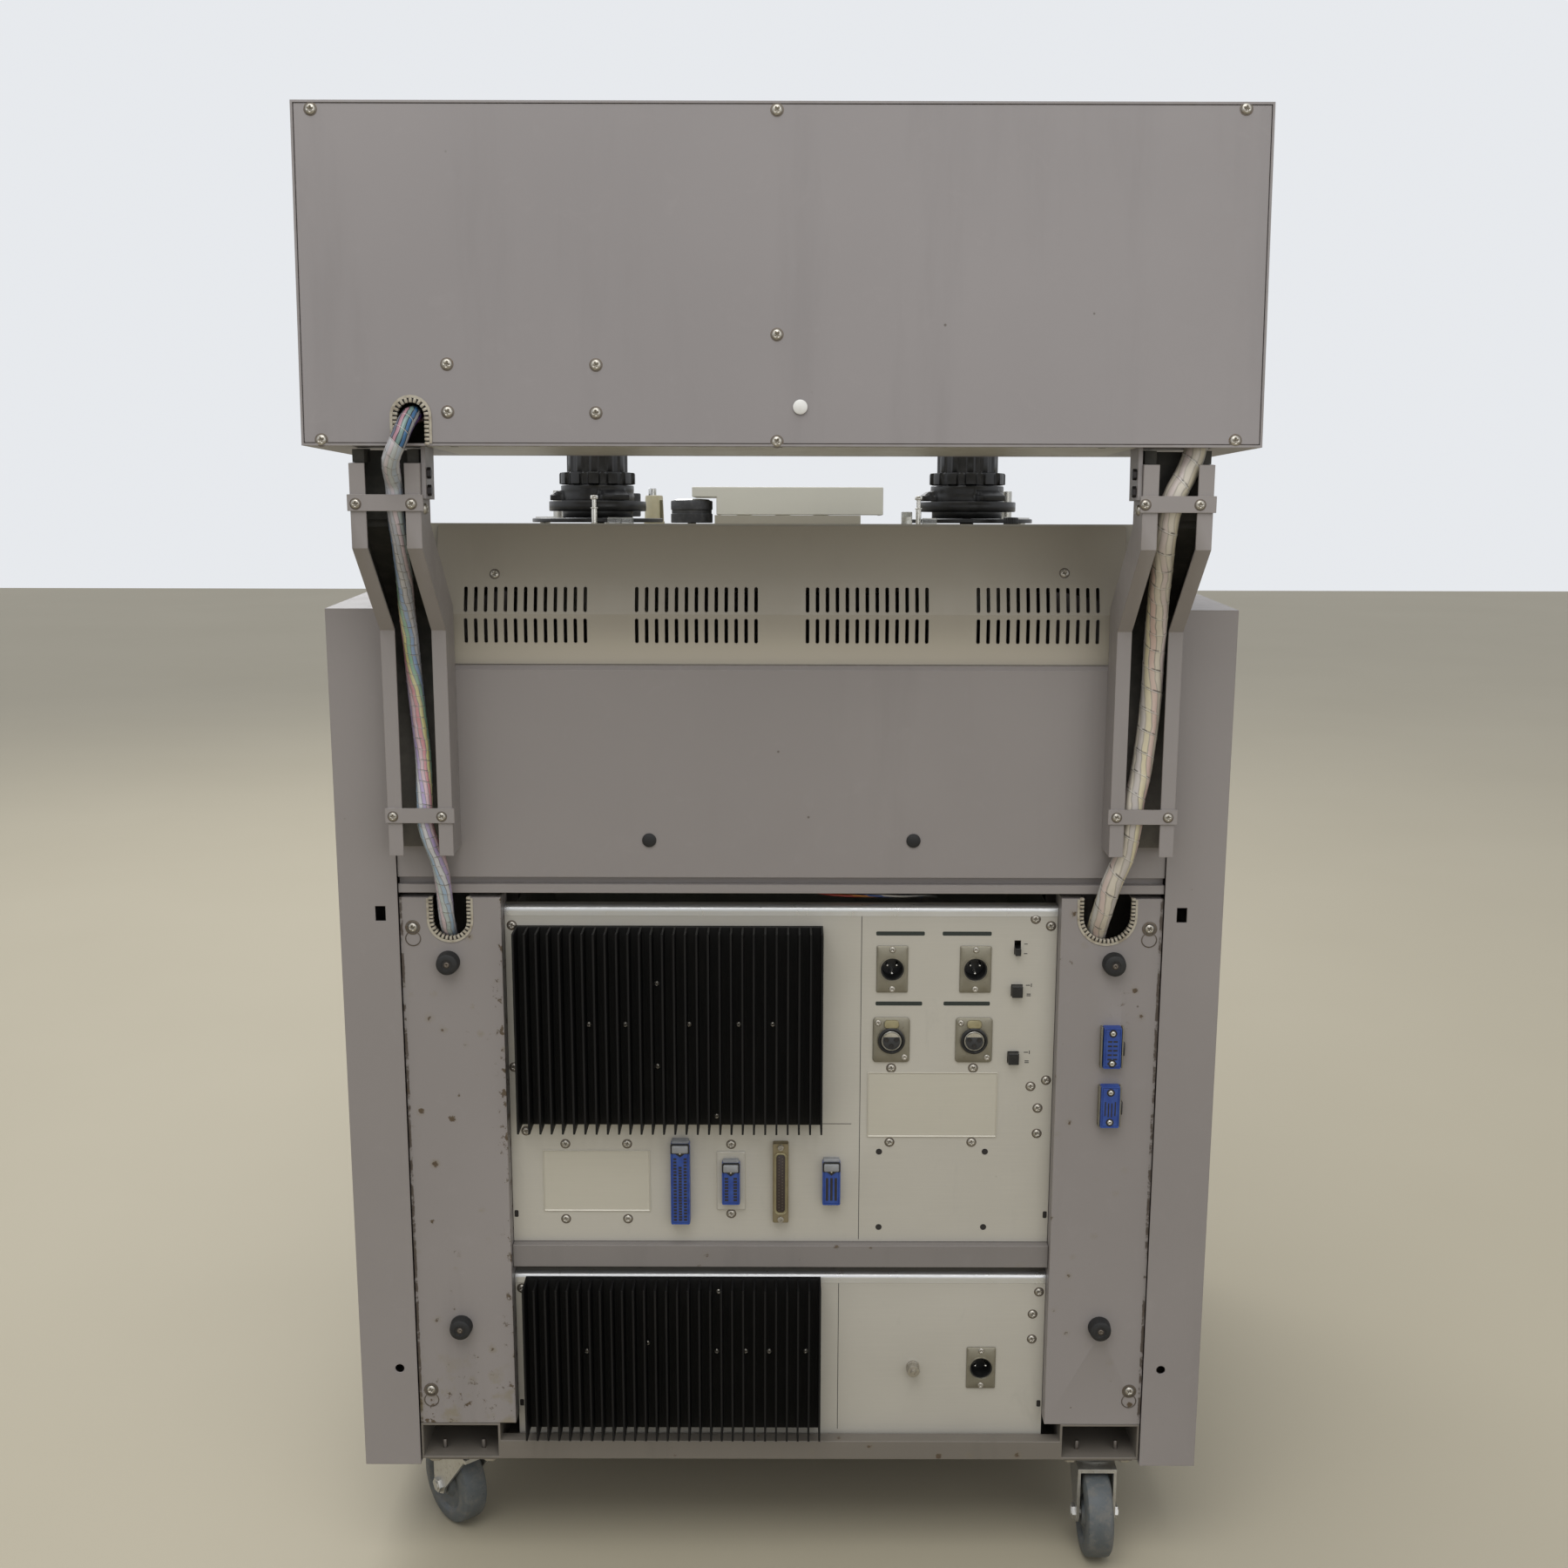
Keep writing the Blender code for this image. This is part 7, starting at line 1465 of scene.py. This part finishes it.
# Level knobs and dials. Fluted black knobs with a white pointer line over a printed dial of ticks and
# the numbers 0 to 10.
knob_z, dial_lift = 0.0480, -0.0008
near, far, tick_half, number_run = 0.0140, 0.0168, 0.0003, 0.0200
flutes = teeth(24, 0.0114, 0.0109, 0.5)
flutes_top = teeth(24, 0.0100, 0.0096, 0.5)
level_rings = [(0.0029, -0.0140), (0.0029, 0.0002), (0.0112, 0.0002), (0.0114, 0.0010), (0.0114, 0.0040),
               (flutes, 0.0050), (flutes_top, 0.0158), (0.0090, 0.0166), (0.0072, 0.0168), (0.0066, 0.0163),
               (0.0003, 0.0162)]
for side, word in ((-1, "left"), (1, "right")):
    place = on_front(side * meter_x, knob_z)
    knob = copies(word + "_level_knob", polar(level_rings, 192), [place], black_moulding, 45)
    fastened(knob, "bridge_knob_" + word, "black_plastic", "bridge_knob_" + word)
    line = flat_patch([(-0.0005, 0.0030), (0.0005, 0.0030), (0.0005, 0.0088), (-0.0005, 0.0088)], 0.0168)
    pointer = surface(word + "_knob_pointer", *gathered([line], [place]), white_nylon)
    fastened(pointer, "bridge_knob_" + word, "cream")
    dial = []
    for i in range(11):
        angle = math.radians(240 - 30 * i)
        across = (-math.sin(angle) * tick_half, math.cos(angle) * tick_half)
        tick_corners = [(math.cos(angle) * run + way * across[0], math.sin(angle) * run + way * across[1])
                        for run, way in ((near, -1), (far, -1), (far, 1), (near, 1))]
        dial.append(flat_patch(tick_corners, dial_lift))
        number_spot = (math.cos(angle) * number_run, math.sin(angle) * number_run, dial_lift)
        number_place = place @ Matrix.Translation(number_spot)
        lettering("%s_dial_number_%d" % (word, i), str(i), 0.0042, number_place, plain_ink)
    fastened(surface(word + "_dial_ticks", *gathered(dial, [place] * len(dial)), plain_ink), "cabinet",
             "black_plastic")


# Transport keys. Five square black keys with bevelled caps; each carries a plain symbol: double
# arrows, a square, an arrow and a disc.
deck_front = deck_frame @ Vector((0, -0.4780, 0))
upper = (deck_front.y - 0.0003, deck_front.z - 0.0003)
lower = (-0.3700, 0.7775)
key_slope = math.atan2(upper[1] - lower[1], upper[0] - lower[0])
key_run = 0.072
key_names = ("rewind_button", "forward_button", "stop_button", "play_button", "record_button")


def triangle(x, point, size=0.0034):
    """Small arrow whose tip points to +X or -X."""
    return [(x - point * size * 0.8, -size), (x + point * size, 0), (x - point * size * 0.8, size)][::point]


symbols = {"rewind_button": [triangle(-0.0028, -1), triangle(0.0028, -1)],
           "forward_button": [triangle(-0.0028, 1), triangle(0.0028, 1)],
           "stop_button": [[(0.0036, -0.0036), (0.0036, 0.0036), (-0.0036, 0.0036), (-0.0036, -0.0036)]],
           "play_button": [triangle(0.0, 1, 0.0042)],
           "record_button": [[(0.0038 * math.cos(i * math.pi / 12), 0.0038 * math.sin(i * math.pi / 12))
                              for i in range(24)]]}
for index, name in enumerate(key_names):
    low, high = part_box(name)
    folded(name + "_cap", name, black_moulding, name, "black_plastic", 0.0008)
    key_x = (low.x + high.x) / 2
    place = Matrix.Translation((key_x, upper[0] - key_run * math.cos(key_slope),
                                upper[1] - key_run * math.sin(key_slope)))
    place = place @ Matrix.Rotation(key_slope, 4, "X")
    shapes = [flat_patch(points, 0.0090) for points in symbols[name]]
    tint = red_ink if name == "record_button" else white_nylon
    mark = surface(name + "_symbol", *gathered(shapes, [place] * len(shapes)), tint)
    fastened(mark, name, "cream")


# Floor and light. A plain pale floor that keeps the shadow, a pale surround that the lens, glass and
# metal see, and three large soft lamps.
floor_finish = Finish("floor_paint", roughness=0.62)
floor_cloud = floor_finish.noise(0.7, 3.0)
floor_finish.set("Base Color", floor_finish.mix(floor_cloud, (0.405, 0.362, 0.262), (0.450, 0.405, 0.300)))
floor_finish.relief(floor_finish.noise(0.004), 0.0002, 0.4)
half_floor = 9.0
floor_corners = [(x * half_floor, y * half_floor, 0) for x, y in ((-1, -1), (1, -1), (1, 1), (-1, 1))]
floor = surface("floor", floor_corners, [(0, 1, 2, 3)], floor_finish)

world = bpy.data.worlds.new("surround")
bpy.context.scene.world = world
world.use_nodes = True
nodes, join = world.node_tree.nodes, world.node_tree.links.new
sky, seen_sky = nodes["Background"], nodes.new("ShaderNodeBackground")
for background, tint, strength in ((sky, (0.93, 0.95, 1.0, 1.0), 0.62),
                                   (seen_sky, (0.80, 0.82, 0.85, 1.0), 1.0)):
    background.inputs["Color"].default_value = tint
    background.inputs["Strength"].default_value = strength
ray = nodes.new("ShaderNodeLightPath")
share = ray.outputs["Is Camera Ray"]
for kind in ("Is Transmission Ray", "Is Glossy Ray"):
    greater = nodes.new("ShaderNodeMath")
    greater.operation = "MAXIMUM"
    join(share, greater.inputs[0])
    join(ray.outputs[kind], greater.inputs[1])
    share = greater.outputs[0]
mix_sky = nodes.new("ShaderNodeMixShader")
for index, output in enumerate((share, sky.outputs[0], seen_sky.outputs[0])):
    join(output, mix_sky.inputs[index])
join(mix_sky.outputs[0], nodes["World Output"].inputs["Surface"])


def softbox(name, place, target, size, power):
    """Large square lamp that faces a point."""
    lamp = bpy.data.lights.new(name, "AREA")
    lamp.shape = "SQUARE"
    lamp.size = size
    lamp.energy = power
    lit = bpy.data.objects.new(name, lamp)
    bpy.context.collection.objects.link(lit)
    lit.location = place
    lit.rotation_euler = (Vector(target) - Vector(place)).to_track_quat("-Z", "Y").to_euler()


lamp_size = 2.2
softbox("ceiling_lamp", (0.3, 1.7, 3.2), (0, 0.1, 0.6), lamp_size, 48)
softbox("socket_side_lamp", (-1.6, 3.2, 1.8), (0, 0.2, 0.6), lamp_size, 14)
softbox("operator_side_lamp", (0.9, -2.6, 3.0), (0, -0.1, 0.8), lamp_size, 62)
